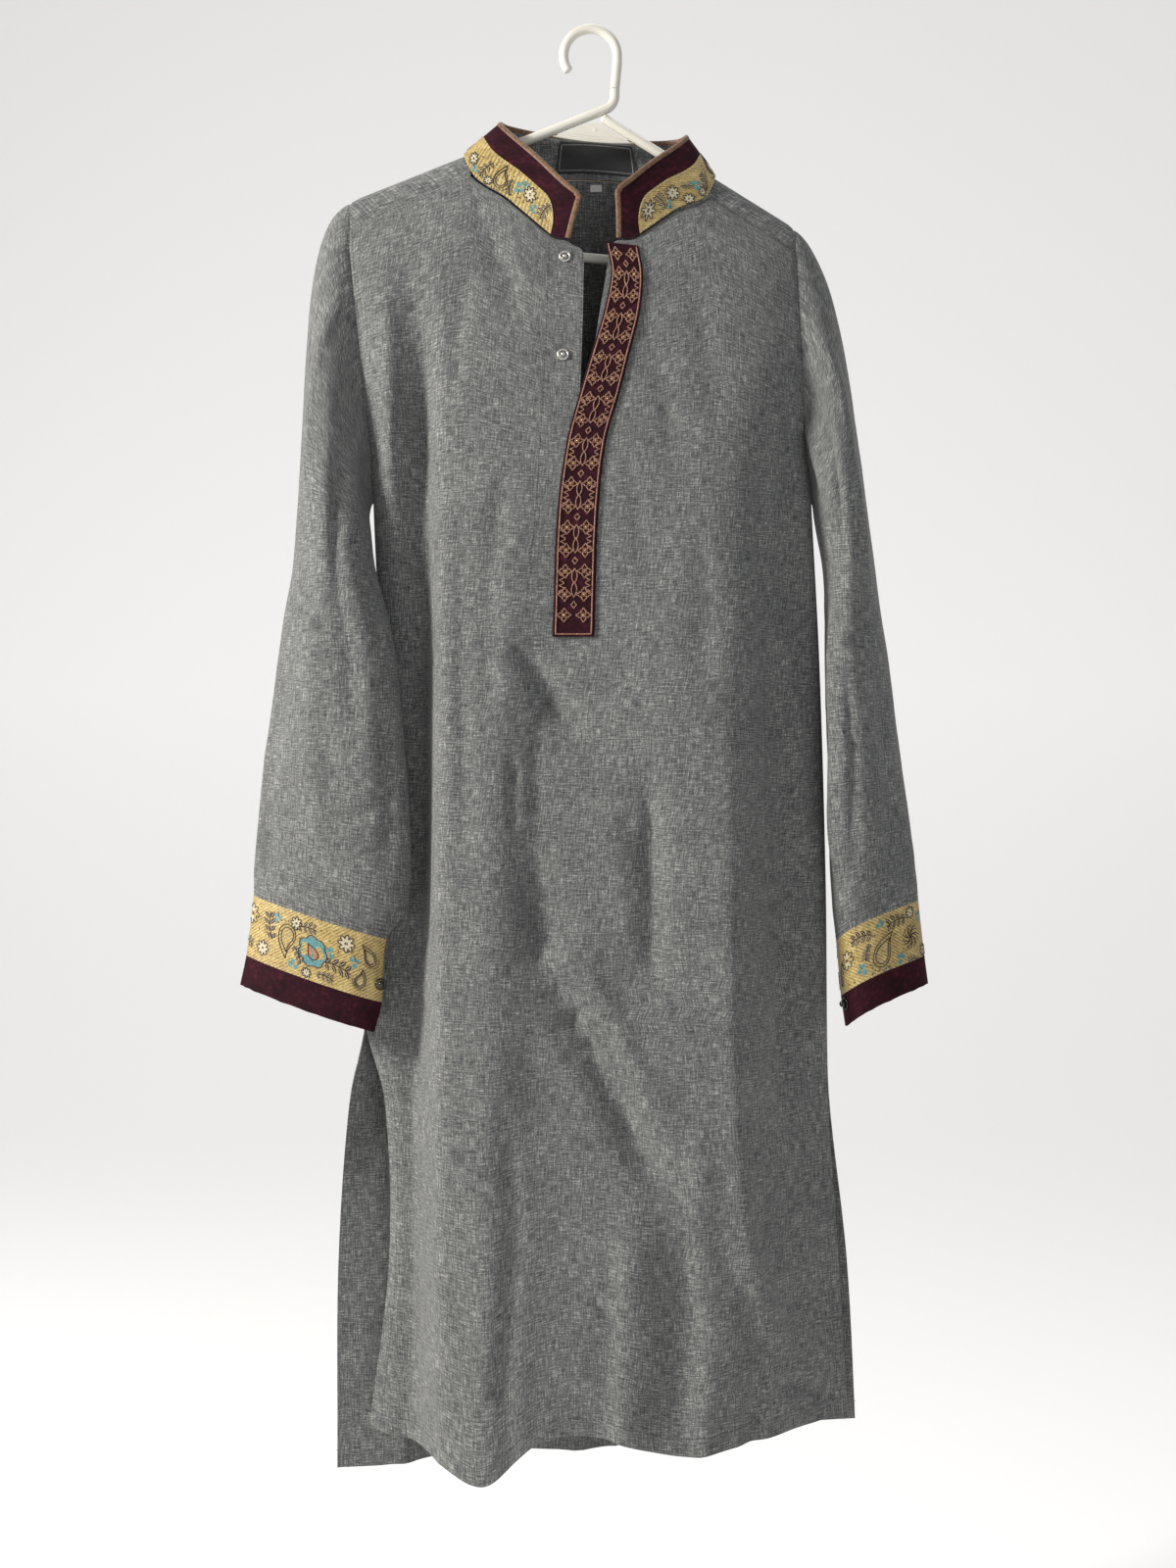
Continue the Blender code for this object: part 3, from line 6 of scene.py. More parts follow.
import bmesh
import bpy
import numpy as np
from mathutils import Vector
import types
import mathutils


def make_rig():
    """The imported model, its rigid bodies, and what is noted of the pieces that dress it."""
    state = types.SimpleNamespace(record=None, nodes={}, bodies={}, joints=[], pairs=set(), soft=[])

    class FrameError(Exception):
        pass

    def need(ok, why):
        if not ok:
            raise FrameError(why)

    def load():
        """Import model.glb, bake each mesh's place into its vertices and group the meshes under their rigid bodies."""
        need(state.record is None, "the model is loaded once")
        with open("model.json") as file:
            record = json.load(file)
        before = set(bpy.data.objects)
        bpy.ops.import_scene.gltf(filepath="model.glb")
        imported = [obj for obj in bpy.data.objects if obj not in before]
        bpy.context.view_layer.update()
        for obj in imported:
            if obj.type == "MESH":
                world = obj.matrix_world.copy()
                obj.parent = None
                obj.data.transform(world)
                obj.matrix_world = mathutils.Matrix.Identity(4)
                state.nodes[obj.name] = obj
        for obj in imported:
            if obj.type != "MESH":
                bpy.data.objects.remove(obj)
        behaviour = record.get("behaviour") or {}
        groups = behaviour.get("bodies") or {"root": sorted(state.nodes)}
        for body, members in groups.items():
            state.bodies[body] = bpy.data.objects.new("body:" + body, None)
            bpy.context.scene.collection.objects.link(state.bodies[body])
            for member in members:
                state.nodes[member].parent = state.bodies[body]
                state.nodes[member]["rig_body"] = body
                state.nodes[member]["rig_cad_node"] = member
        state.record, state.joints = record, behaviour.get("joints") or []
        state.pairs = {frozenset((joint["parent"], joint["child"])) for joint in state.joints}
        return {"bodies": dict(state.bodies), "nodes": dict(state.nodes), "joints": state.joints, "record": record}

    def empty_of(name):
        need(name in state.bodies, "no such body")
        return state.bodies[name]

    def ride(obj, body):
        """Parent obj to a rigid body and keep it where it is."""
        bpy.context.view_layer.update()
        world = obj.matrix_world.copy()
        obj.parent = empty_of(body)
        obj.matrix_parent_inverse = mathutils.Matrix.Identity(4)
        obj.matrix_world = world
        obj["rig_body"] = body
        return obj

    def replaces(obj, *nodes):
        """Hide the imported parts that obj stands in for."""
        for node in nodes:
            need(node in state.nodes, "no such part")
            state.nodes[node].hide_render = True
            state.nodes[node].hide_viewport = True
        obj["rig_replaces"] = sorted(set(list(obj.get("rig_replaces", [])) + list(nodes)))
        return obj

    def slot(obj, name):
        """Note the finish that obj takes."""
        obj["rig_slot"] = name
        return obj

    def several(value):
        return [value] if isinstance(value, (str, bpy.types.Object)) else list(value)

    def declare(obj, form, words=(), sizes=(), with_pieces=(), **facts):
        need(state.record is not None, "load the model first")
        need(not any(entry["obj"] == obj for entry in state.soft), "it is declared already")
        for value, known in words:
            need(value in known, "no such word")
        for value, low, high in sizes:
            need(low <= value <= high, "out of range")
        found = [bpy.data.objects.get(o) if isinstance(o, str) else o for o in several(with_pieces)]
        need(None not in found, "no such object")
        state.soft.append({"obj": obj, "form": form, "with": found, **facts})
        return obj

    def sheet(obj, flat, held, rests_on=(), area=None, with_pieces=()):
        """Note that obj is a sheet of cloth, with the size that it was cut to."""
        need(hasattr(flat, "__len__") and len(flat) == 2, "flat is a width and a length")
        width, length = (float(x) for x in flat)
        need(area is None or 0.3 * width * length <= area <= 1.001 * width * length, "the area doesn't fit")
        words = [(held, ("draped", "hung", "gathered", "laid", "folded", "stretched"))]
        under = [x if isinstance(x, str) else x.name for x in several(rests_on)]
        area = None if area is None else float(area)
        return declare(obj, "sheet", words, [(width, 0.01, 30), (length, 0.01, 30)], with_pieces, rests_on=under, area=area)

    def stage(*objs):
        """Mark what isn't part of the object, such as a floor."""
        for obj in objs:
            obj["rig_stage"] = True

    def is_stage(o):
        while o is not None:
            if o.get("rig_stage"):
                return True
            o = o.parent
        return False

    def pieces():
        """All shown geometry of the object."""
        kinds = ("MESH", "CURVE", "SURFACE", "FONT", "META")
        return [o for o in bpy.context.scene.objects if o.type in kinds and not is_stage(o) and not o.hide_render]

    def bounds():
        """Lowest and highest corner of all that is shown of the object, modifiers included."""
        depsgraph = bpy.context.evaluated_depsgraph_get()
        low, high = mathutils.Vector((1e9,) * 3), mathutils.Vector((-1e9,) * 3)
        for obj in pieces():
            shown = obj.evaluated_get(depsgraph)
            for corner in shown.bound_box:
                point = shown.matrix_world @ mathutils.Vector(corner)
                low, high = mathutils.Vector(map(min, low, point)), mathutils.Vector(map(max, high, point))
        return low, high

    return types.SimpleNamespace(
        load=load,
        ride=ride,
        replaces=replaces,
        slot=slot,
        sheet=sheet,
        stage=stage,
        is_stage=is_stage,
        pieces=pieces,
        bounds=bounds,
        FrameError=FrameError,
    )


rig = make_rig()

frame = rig.load()
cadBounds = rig.bounds()
metres = 0.001


def tableRows(columns, rows):
    # each row as a dictionary by its columns' names; a short row leaves out the last ones
    return [dict(zip(columns.split(), row)) for row in rows]


camera = dict(place=(-2.0, -1550.0, -617.0), lens=43.27, sensor=36.0, clip=(0.05, 50.0))
stage = dict(floorZ=-1450.0, near=-3200.0, far=3900.0, bend=1100.0, top=2600.0, halfWidth=4200.0,
             glow=0.52, bendSteps=16, colour=(0.7, 0.695, 0.685))
lightAim = (0, 0, -600)
lights = (
    dict(name="key", place=(-2100, -900, 350), size=480, power=92, colour=(1.0, 0.98, 0.94)),
    dict(name="fill", place=(900, -2600, 0), size=1600, power=14, colour=(0.93, 0.96, 1.0)),
    dict(name="top", place=(300, 500, 1300), size=1200, power=12, colour=(1.0, 1.0, 1.0)),
)
world = dict(colour=(0.95, 0.96, 1.0), strength=0.3)

# The cut of the garment that all cloth pieces share
garment = dict(cloth=1.1, shoulderLift=6.1, shoulderRound=85.0, ridgeRadius=9.0, underarmZ=-385.0,
               slitTopZ=-812.0, chestTopZ=-180.0, creaseStrength=1.75, seamFadeUp=45.0,
               seamFadeDown=60.0)
hanger = dict(tubeRadius=4.0, apexX=3.9, apexZ=-65.5, armSlope=math.radians(26.8),
              tilt=math.radians(5.1), armLength=186.0, armEndGap=8.7, turnRadius=18.5,
              hookRadius=22.0, hookTurn=math.radians(212), stemX=20.0, jointZ=-46.0, bendRoom=9.0,
              jointGap=0.3, throat=(1.2, -33.0), throatTopZ=-24.0, sides=28, bendSteps=24,
              stemSteps=16, throatSteps=14, hookSteps=48, domeSteps=8, domeShare=0.6, leastBend=0.5)
web = dict(thickness=2.4, halfWidth=33.0, depth=24.0, rise=1.8, gap=0.35, apexRound=4.0,
           topClear=1.0, leastHeight=0.6,
           ridges=(0.8, 2.7, 4.6), ridgeHeight=0.5, ridgeWidth=0.45, dot=(1.0, -14.0),
           dotHeight=0.35, dotArea=1.6, columns=80, rows=44)

# Across the front: left edge, wrap, tuck, ridge, lobe, opening left and right, middle, ridge,
# tuck, right edge
frontSections = tableRows("z x y", (
    (-180, (-196, -174, -152, -121, -76, -5, 17, 68, 115, 149, 166),
     (-22, -30, -36, -40, -42, -42, -42, -44, -42, -34, -24)),
    (-268, (-188, -166, -135, -116, -76, -7, 3, 68, 115, 148, 171),
     (-18, -33, -26, -44, -48, -48, -48, -52, -50, -36, -20)),
    (-385, (-178, -162, -138, -116, -75, -13, -10.5, 67, 114, 153, 181),
     (0, -20, -14, -46, -55, -51, -51, -60, -54, -26, 0)),
    (-523, (-174, -161, -137, -117, -81, -26, 0, 67, 114, 154, 188),
     (3, -7, -8, -50, -63, -52, -54, -66, -60, -18, 0)),
    (-697, (-183, -168, -137, -118, -82, -41, 0, 67, 113, 154, 193),
     (4, -6, -9, -56, -70, -58, -56, -62, -62, -16, 0)),
    (-812, (-185, -169, -141, -119, -82, -41, 0, 67, 115, 157, 194),
     (4, -6, -9, -58, -76, -64, -62, -66, -64, -20, 0)),
    (-878, (-169, -159, -143, -119, -83, -41, 0, 67, 117, 160, 195),
     (1, -6, -10, -60, -79, -67, -65, -68, -64, -22, 0)),
    (-1003, (-165, -157, -143, -119, -82, -41, 0, 67, 123, 169, 203),
     (0, -6, -12, -62, -84, -74, -72, -70, -62, -26, -4)),
    (-1145, (-181, -166, -144, -119, -82, -41, 0, 74, 131, 176, 211),
     (-4, -10, -16, -60, -88, -80, -72, -72, -58, -28, -8)),
))
frontHem = (-1145, -1148, -1151, -1153, -1164, -1133, -1129, -1145, -1138, -1134, -1131)
backSections = tableRows("z x y", (
    (-180, (-196, -144, -80, 0, 80, 140, 166), (22, 38, 42, 42, 42, 38, 24)),
    (-268, (-188, -144, -80, 0, 80, 142, 171), (20, 38, 44, 42, 44, 38, 22)),
    (-385, (-178, -143, -80, 0, 80, 147, 181), (0, 28, 42, 36, 44, 28, 0)),
    (-523, (-174, -146, -80, 0, 80, 150, 188), (3, 28, 42, 36, 44, 28, 0)),
    (-697, (-183, -151, -80, 0, 80, 155, 193), (4, 30, 44, 38, 46, 30, 0)),
    (-812, (-185, -155, -80, 0, 80, 159, 194), (4, 30, 46, 40, 46, 30, 0)),
    (-878, (-199, -163, -97, 0, 81, 159, 197), (10, 30, 48, 42, 50, 30, 6)),
    (-1012, (-209, -165, -97, 0, 81, 163, 212), (14, 24, 50, 42, 50, 26, 8)),
    (-1170, (-210, -166, -97, 0, 81, 167, 220), (14, 22, 50, 42, 50, 26, 8)),
))
backHem = (-1184, -1184, -1181, -1178, -1166, -1151, -1141)
sideSeam = tableRows("z left right", (
    (-812, (-185, 4), (194, 0)),
    (-697, (-183, 4), (193, 0)),
    (-523, (-174, 3), (188, 0)),
    (-385, (-178, 0), (181, 0)),
))

# Large folds, as in the solids: positive depths go away from the outside
frontFolds = tableRows("width depth path", (
    (9, 5, ((-94, -134), (-74, -222))),
    (13, 6, ((-62, -496), (-9, -591))),
    (13, 8, ((-54, -650), (-34, -770))),
    (15, 9, ((-36, -750), (68, -970))),
    (13, -6, ((-20, -730), (60, -890))),
    (15, 8, ((42, -590), (49, -800))),
    (20, 9, ((74, -960), (64, -1150))),
    (10, -7, ((166, -515), (172, -685))),
))
backFolds = tableRows("width depth path", (
    (16, -6, ((-60, -230), (-48, -560))),
    (18, -7, ((62, -250), (44, -600))),
    (20, -9, ((-38, -600), (-52, -1190))),
    (22, -9, ((36, -640), (44, -1180))),
))

# Creases: left and right are the half widths of a crease's two sides
creaseColumns = "left right depth path runsOut"
creaseShape = dict(steps=5, reach=3.0, endShare=0.3, swell=0.22, waves=10.71, shift=2.331)
frontCreases = tableRows(creaseColumns, (
    (5, 8, -2.2, ((-165, -203), (-163, -301), (-165, -391))),
    (4, 6, -1.4, ((-186, -203), (-179, -286))),
    (8, 5, 3.2, ((-137, -241), (-132, -406), (-132, -617), (-137, -805))),
    (4, 15, -3.4, ((-118, -301), (-117, -542), (-119, -767), (-120, -993), (-118, -1165)), True),
    (6, 9, 1.6, ((-104, -352), (-102, -560), (-98, -720))),
    (5, 8, 2.4, ((-84, -158), (-60, -241))),
    (4, 6, -1.5, ((-72, -170), (-44, -226))),
    (9, 6, 2.6, ((-98, -188), (-113, -331))),
    (10, 7, 2.2, ((-62, -330), (-80, -470), (-78, -610))),
    (5, 9, 1.8, ((-62, -497), (-9, -591))),
    (4, 5, 2.4, ((-62, -585), (-62, -662))),
    (6, 6, 1.5, ((-30, -520), (-44, -600), (-40, -668))),
    (6, 9, 3.0, ((-53, -673), (-40, -751), (9, -843), (68, -963))),
    (9, 7, -3.2, ((-45, -730), (-6, -800), (34, -884))),
    (5, 5, -2.0, ((38, -622), (40, -668))),
    (7, 9, 2.6, ((42, -603), (49, -700), (49, -782))),
    (3, 4, 1.3, ((20, -764), (42, -773))),
    (4, 4, 1.9, ((42, -773), (62, -782), (84, -798))),
    (9, 8, 2.4, ((75, -188), (92, -260), (105, -331))),
    (7, 9, 1.9, ((41, -233), (58, -300), (68, -369))),
    (8, 8, 1.6, ((30, -331), (36, -400), (49, -467))),
    (12, 7, 2.0, ((84, -380), (92, -470), (88, -575))),
    (14, 5, -3.6, ((114, -497), (114, -767), (124, -955), (150, -1046), (176, -1080))),
    (6, 9, 2.2, ((131, -330), (136, -470), (138, -640))),
    (7, 5, 2.0, ((150, -240), (160, -330), (158, -420))),
    (8, 8, 2.6, ((158, -700), (150, -800), (158, -930))),
    (9, 12, -2.4, ((90, -830), (84, -950), (92, -1060), (86, -1160)), True),
    (9, 26, -5.0, ((31, -935), (27, -1068), (23, -1165)), True),
    (4, 6, 2.2, ((-14, -1004), (6, -1024), (24, -1050))),
    (3, 4, 1.5, ((8, -1007), (29, -1026))),
    (3, 4, 1.3, ((-2, -1076), (17, -1092))),
    (5, 5, 1.9, ((144, -1097), (166, -1100), (188, -1110))),
    (2.5, 3, 0.9, ((-117, -1094), (-100, -1097), (-84, -1096))),
    (11, 8, 2.8, ((-70, -840), (-60, -960), (-66, -1080), (-62, -1175)), True),
    (8, 10, 1.8, ((-32, -900), (-26, -1000), (-36, -1120))),
    (7, 9, 2.6, ((120, -1000), (128, -1090), (126, -1170)), True),
))
backCreases = tableRows(creaseColumns, (
    (8, 6, -2.6, ((-150, -200), (-140, -330), (-146, -470))),
    (9, 7, -2.2, ((-122, -210), (-96, -300), (-92, -400))),
    (9, 12, -1.9, ((-24, -190), (-18, -330), (-26, -420))),
    (7, 9, -1.6, ((26, -210), (20, -350), (24, -520))),
    (10, 7, -2.5, ((104, -220), (112, -360), (104, -520))),
    (6, 8, -2.1, ((140, -230), (134, -340), (142, -450))),
    (7, 11, -3.4, ((-104, -520), (-112, -700), (-104, -900), (-116, -1190)), True),
    (8, 6, 2.4, ((-78, -600), (-74, -760), (-84, -940))),
    (11, 9, -3.0, ((-8, -560), (-14, -760), (-4, -960), (-10, -1190)), True),
    (8, 8, 2.2, ((62, -560), (74, -720), (66, -900))),
    (12, 7, -3.2, ((96, -600), (104, -800), (98, -1000), (110, -1170)), True),
    (6, 8, -2.2, ((136, -640), (142, -800), (138, -980))),
    (8, 7, -2.4, ((-150, -860), (-146, -1000), (-154, -1190)), True),
    (6, 8, -2.2, ((24, -980), (30, -1080), (22, -1185)), True),
    (5, 6, -1.3, ((-60, -430), (-30, -452), (2, -460))),
    (4, 5, -1.2, ((60, -470), (86, -486))),
    (6, 6, -1.8, ((150, -1040), (156, -1100), (150, -1150)), True),
))
# How deep the last points before a seam lie
seamDip = (0.9, 0.35)
# Uneven small crumple of a linen-look cloth: lattice sizes and heights
crumple = (dict(across=46, down=130, height=1.5), dict(across=19, down=48, height=0.6),
           dict(across=8, down=13, height=0.22))

collarRows = tableRows("name x z side top", (
    ("left_end", -16.7, -180, -1, (-6, -41, -144.7)),
    ("left_near", -32, -176, -1, (-20, -38, -133)),
    ("left_front", -66.7, -146, -1, (-42, -27, -109)),
    ("left_seam", -97, -122, -1, (-65, -12, -85)),
    ("left_side", -103, -103, -1, (-72, -3, -75)),
    ("left_back", -88, -110, 1, (-66, 12, -72)),
    ("left_nape", -50, -114, 1, (-42, 23, -73)),
    ("nape", 5, -114, 1, (4, 27, -76)),
    ("right_nape", 55, -120, 1, (48, 24, -80)),
    ("right_back", 88, -125, 1, (71, 12, -83)),
    ("right_side", 100.6, -120, -1, (77, -3, -85)),
    ("right_seam", 96, -139, -1, (71, -12, -94)),
    ("right_front", 68, -155, -1, (48, -28, -114)),
    ("right_near", 37, -177, -1, (29, -38, -132)),
    ("right_end", 20.2, -179.5, -1, (19.7, -41, -139.8)),
))
collarIndex = {row["name"]: k for k, row in enumerate(collarRows)}
collar = dict(corners=((-4.0, -184.5), (16.5, -184.5)), rootScale=6.0, lift=1.4, bow=1.2,
              brocadeShare=0.55, brocadeEnd=17.0, brocadeCorner=14.0, brocadeEndShare=0.25,
              trimClear=0.6, face=2.4, columns=230, rows=22, samples=400, seamSamples=60,
              neckSamples=90)
collarBands = dict(stand=dict(offset=0.0, thickness=1.1, rows=16, columns=220),
                   velvet=dict(offset=1.35, thickness=1.1, rows=16, columns=220),
                   brocade=dict(offset=2.1, thickness=0.6, rows=14, columns=260))
piping = dict(width=4.6, thickness=3.4, inset=2.3, corner=3.0, sides=18, square=2.7, offset=0.8,
              foot=0.6, cornerSteps=8, endSteps=16, topSteps=200)
yoke = dict(frontDrop=22.5, armholeDrop=24.0, seamX=(-196, -97, 0, 96, 166),
            seamZ=(-164, -156, -150, -163, -184.5),
            armholeSteps=(-1.0, -0.42, 0.0, 0.33, 0.58, 0.76, 0.88, 1.0),
            neckSteps=(-1.0, -0.5, 0.0, 0.24, 0.46, 0.64, 0.82, 1.0),
            cornerRow=4, ridgeRow=2, shoulderColumns=26, napeColumns=52, finer=6)
placketRows = tableRows("z left right", (
    (-500, -30.2, 3.0),
    (-405, -26.6, 6.0),
    (-345, -18.9, 12.1),
    (-307, -9.1, 22.7),
    (-276, 0, 30.3),
    (-237, 11.4, 39.4),
    (-206, 16.7, 41.7),
    (-182, 12.4, 38.2),
))
placket = dict(thickness=1.8, clear=0.75, slant=3.0, slantPower=6, crown=0.5, crownPower=4,
               edgeRound=0.35, edgeHeights=(0.22, 0.5), rows=210, across=26, half=15.5,
               openingBottomZ=-478.0, period=35.0, start=9.0, starApart=7.4, starDown=16.5,
               cord=0.5, border=0.62, borderIn=2.0, borderTop=1.2, borderSteps=240,
               footSteps=30)
sleeveColumns = "z out inn front back drop lean"
sleeveLeft = tableRows(sleeveColumns, (
    (-406, (-242, 6), (-180.5, -5), 46, 32, 0, 0),
    (-441, (-245, 4), (-175, -16), 44, 22, 0, 0),
    (-481, (-252, 2), (-164, -24), 42, 15, 0, 2),
    (-521, (-257, 0), (-157, -27), 38, 12, 0, 4),
    (-602, (-268, -2), (-150, -28), 31, 10, 3, 6),
    (-671, (-273, -4), (-145, -28), 25, 9, 9, 4),
    (-705, (-275, -6), (-149, -28), 23, 9, 14, 2),
    (-725, (-275, -8), (-165, -28), 19, 9, 17, 0),
    (-775, (-281, -8), (-169, -28), 17, 9, 18, 0),
    (-799, (-286, -8), (-175, -28), 16, 9, 18, 0),
))
sleeveRight = tableRows(sleeveColumns, (
    (-406, (230, 6), (185.5, 0), 46, 34, 0, -3),
    (-441, (234, 4), (191, -2), 45, 32, 0, -5),
    (-481, (239, 2), (192, -6), 44, 30, 0, -8),
    (-521, (245, 0), (192, -9), 42, 28, 0, -11),
    (-602, (255, -2), (194, -12), 38, 26, 2, -14),
    (-671, (264, -4), (195.5, -12), 34, 24, 8, -17),
    (-705, (267, -6), (198, -12), 32, 23, 12, -17),
    (-728, (268, -6), (201, -12), 30, 22, 16, -16),
    (-773, (273, -6), (205, -12), 30, 22, 16, -15),
    (-797, (276, -6), (208.5, -12), 30, 22, 17, -15),
))
sleeve = dict(reach=0.16, hang=0.58, forward=0.5, underarmFall=1.6, peak=1.3, columns=100,
              headRows=54, rows=116, round=250.0, leanOver=25, fadeRows=14)
sleeveCrumple = dict(radius=45, apart=90, shift=30, share=0.8, seed=31)
cuff = dict(cloth=1.2, slit=1.6, columns=121, brocadeRows=34, velvetRows=18, ragged=0.35,
            raggedPower=6, raggedAlong=240, raggedCell=5, seed=77)
# Sleeve creases: (share of the way round, z); 0 is the inner fold, 0.25 the front
sleeveCreases = dict(
    left=tableRows(creaseColumns, (
        (8, 6, -2.0, ((0.33, -190), (0.36, -300), (0.33, -420))),
        (6, 7, -2.4, ((0.12, -250), (0.14, -360), (0.1, -450))),
        (9, 7, 2.6, ((0.2, -330), (0.22, -470), (0.2, -610))),
        (7, 10, -2.2, ((0.3, -450), (0.31, -560), (0.28, -690))),
        (6, 8, 2.2, ((0.14, -520), (0.11, -610), (0.14, -700))),
        (6, 8, 1.9, ((0.4, -520), (0.42, -620), (0.4, -700))),
        (5, 6, 1.4, ((0.06, -600), (0.18, -640), (0.3, -648))),
        (8, 8, 2.4, ((0.7, -260), (0.72, -420), (0.7, -560))),
        (7, 9, -2.2, ((0.82, -400), (0.8, -540), (0.84, -680))),
    )),
    right=tableRows(creaseColumns, (
        (5, 6, -3.0, ((0.1, -215), (0.12, -254), (0.14, -339), (0.12, -400))),
        (8, 8, 2.4, ((0.2, -240), (0.22, -360), (0.2, -470))),
        (7, 9, -2.2, ((0.34, -220), (0.33, -340), (0.36, -480))),
        (5, 12, -2.8, ((0.1, -450), (0.115, -560), (0.11, -640), (0.13, -725))),
        (9, 7, 2.4, ((0.22, -500), (0.25, -600), (0.23, -700))),
        (7, 8, 2.0, ((0.36, -520), (0.38, -620), (0.35, -705))),
        (4, 6, 1.3, ((0.16, -560), (0.26, -585), (0.36, -580))),
        (8, 8, 2.4, ((0.66, -300), (0.7, -440), (0.66, -580))),
        (8, 7, -2.4, ((0.8, -420), (0.83, -560), (0.8, -690))),
    )),
)
fastenings = dict(snapRadius=5.0, snaps=(("upper", -20.5, -193.0), ("lower", -21.9, -273.5)),
                  beadRadius=2.8, beadSteps=18, beadSides=32, around=0.01, down=2.0,
                  loopRadius=4.2, loopCord=0.6,
                  beads=dict(left=dict(phi=0.045, z=-761.0, lift=-0.2),
                             right=dict(phi=0.1, z=-781.0, lift=0.35)))
label = dict(left=-27.8, right=37.3, bottom=0.12, top=0.84, thickness=0.7, clear=0.75,
             border=2.2, zigzag=1.1, zigzagHalf=0.45, thread=0.16, threadLift=0.12,
             within=(0.3, 0.7), columns=60, rows=26)
sizeTab = dict(left=0.0, right=9.5, top=-117.0, bottom=-122.5, thickness=0.6, clear=0.35,
               columns=8, rows=6)
stitches = dict(pitch=3.3, length=2.4, radius=0.26, lift=0.06, hem=14.0, edge=9.0, seam=2.2,
                armhole=3.0, opening=(1.6, 30.0), sleeve=(2.6, 6.4), openingShort=6,
                armholeFrom=6, armholeShort=4, shoulders=((0, 44), (-40, None)))
trimStitches = dict(pitch=2.4, length=1.7, radius=0.24, lift=0.1, inset=1.5, collarLow=1.3,
                    collarTop=1.2, collarEnd=1.4, collarLeast=1.0, collarSteps=300, cuffEnd=2.0,
                    cuffSteps=160)

# Flat cut of each sheet: width and length in metres, and its area where it isn't a rectangle
flatCuts = {row["cut"]: row for row in tableRows("cut flat area", (
    ("front", (0.52, 1.04), 0.44),
    ("back", (0.44, 1.04), 0.42),
    ("yoke", (0.40, 0.12), 0.0225),
    ("sleeve", (0.30, 0.56), 0.135),
    ("brocadeCuff", (0.235, 0.05), None),
    ("velvetCuff", (0.235, 0.024), None),
    ("stand", (0.37, 0.042), None),
    ("collarVelvet", (0.37, 0.04), None),
    ("collarBrocade", (0.335, 0.023), None),
    ("placket", (0.032, 0.32), None),
    ("label", (0.067, 0.029), None),
    ("tab", (0.01, 0.01), 0.00006),
))}


# Small geometry tools

def mix(a, b, share):
    return a + (b - a) * share


def softStep(share):
    share = np.clip(share, 0.0, 1.0)
    return share * share * (3 - 2 * share)


def lengthOf(vectors):
    return np.sqrt((vectors * vectors).sum(axis=-1, keepdims=True))


def unit(vectors):
    return vectors / np.maximum(lengthOf(vectors), 1e-9)


def runningLength(points):
    # length along a line of points, from 0 at its first
    return np.concatenate([[0.0], np.cumsum(lengthOf(np.diff(points, axis=0))[:, 0])])


def fullTurn(count):
    return np.linspace(0, 2 * math.pi, count, endpoint=False)


def spokes(turns, side, other):
    return np.cos(turns)[:, None] * side + np.sin(turns)[:, None] * other


def hermite(a, b, start, end, f):
    return (a * (1 + 2 * f) * (1 - f) ** 2 + b * f * f * (3 - 2 * f)
            + start * f * (1 - f) ** 2 - end * f * f * (1 - f))


def smoothThrough(knots, values, at):
    # smooth curve through value at each ascending knot, level beyond both ends
    knots = np.asarray(knots, float)
    values = np.asarray(values, float)
    at = np.clip(np.asarray(at, float), knots[0], knots[-1])
    i = np.clip(np.searchsorted(knots, at, side="right") - 1, 0, len(knots) - 2)
    before = np.maximum(i - 1, 0)
    beyond = np.minimum(i + 2, len(knots) - 1)
    wide = (...,) + (None,) * (values.ndim - 1)
    span = (knots[i + 1] - knots[i])[wide]
    f = (at - knots[i])[wide] / span
    start = (values[i + 1] - values[before]) / (knots[i + 1] - knots[before])[wide]
    end = (values[beyond] - values[i]) / (knots[beyond] - knots[i])[wide]
    return hermite(values[i], values[i + 1], span * start, span * end, f)


def curveThrough(points, at):
    # smooth curve through the points; at runs from 0 to the last index
    points = np.asarray(points, float)
    at = np.atleast_1d(np.asarray(at, float))
    last = len(points) - 1
    i = np.clip(np.floor(at).astype(int), 0, last - 1)
    f = (at - i)[:, None]
    here = points[i]
    after = points[i + 1]
    before = np.where((i > 0)[:, None], points[np.maximum(i - 1, 0)], 2 * here - after)
    beyond = np.where((i + 2 <= last)[:, None], points[np.minimum(i + 2, last)], 2 * after - here)
    reach = lengthOf(after - here)
    start = (after - before) * reach / np.maximum(lengthOf(here - before) + reach, 1e-6)
    end = (beyond - here) * reach / np.maximum(lengthOf(beyond - after) + reach, 1e-6)
    return hermite(here, after, start, end, f)


# The starts keep every cell's number positive
noiseLattice = dict(size=64, startX=400.37, startZ=400.71)


def softNoise(x, z, across, down, seed):
    # smooth uneven field between -1 and 1 on a lattice of random heights
    size = noiseLattice["size"]
    lattice = np.random.default_rng(seed).uniform(-1, 1, (size, size))
    u = x / across + noiseLattice["startX"]
    v = z / down + noiseLattice["startZ"]
    i = np.floor(u).astype(int)
    j = np.floor(v).astype(int)
    fu = softStep(u - i)
    fv = softStep(v - j)
    low = mix(lattice[j % size, i % size], lattice[j % size, (i + 1) % size], fu)
    high = mix(lattice[(j + 1) % size, i % size], lattice[(j + 1) % size, (i + 1) % size], fu)
    return mix(low, high, fv)


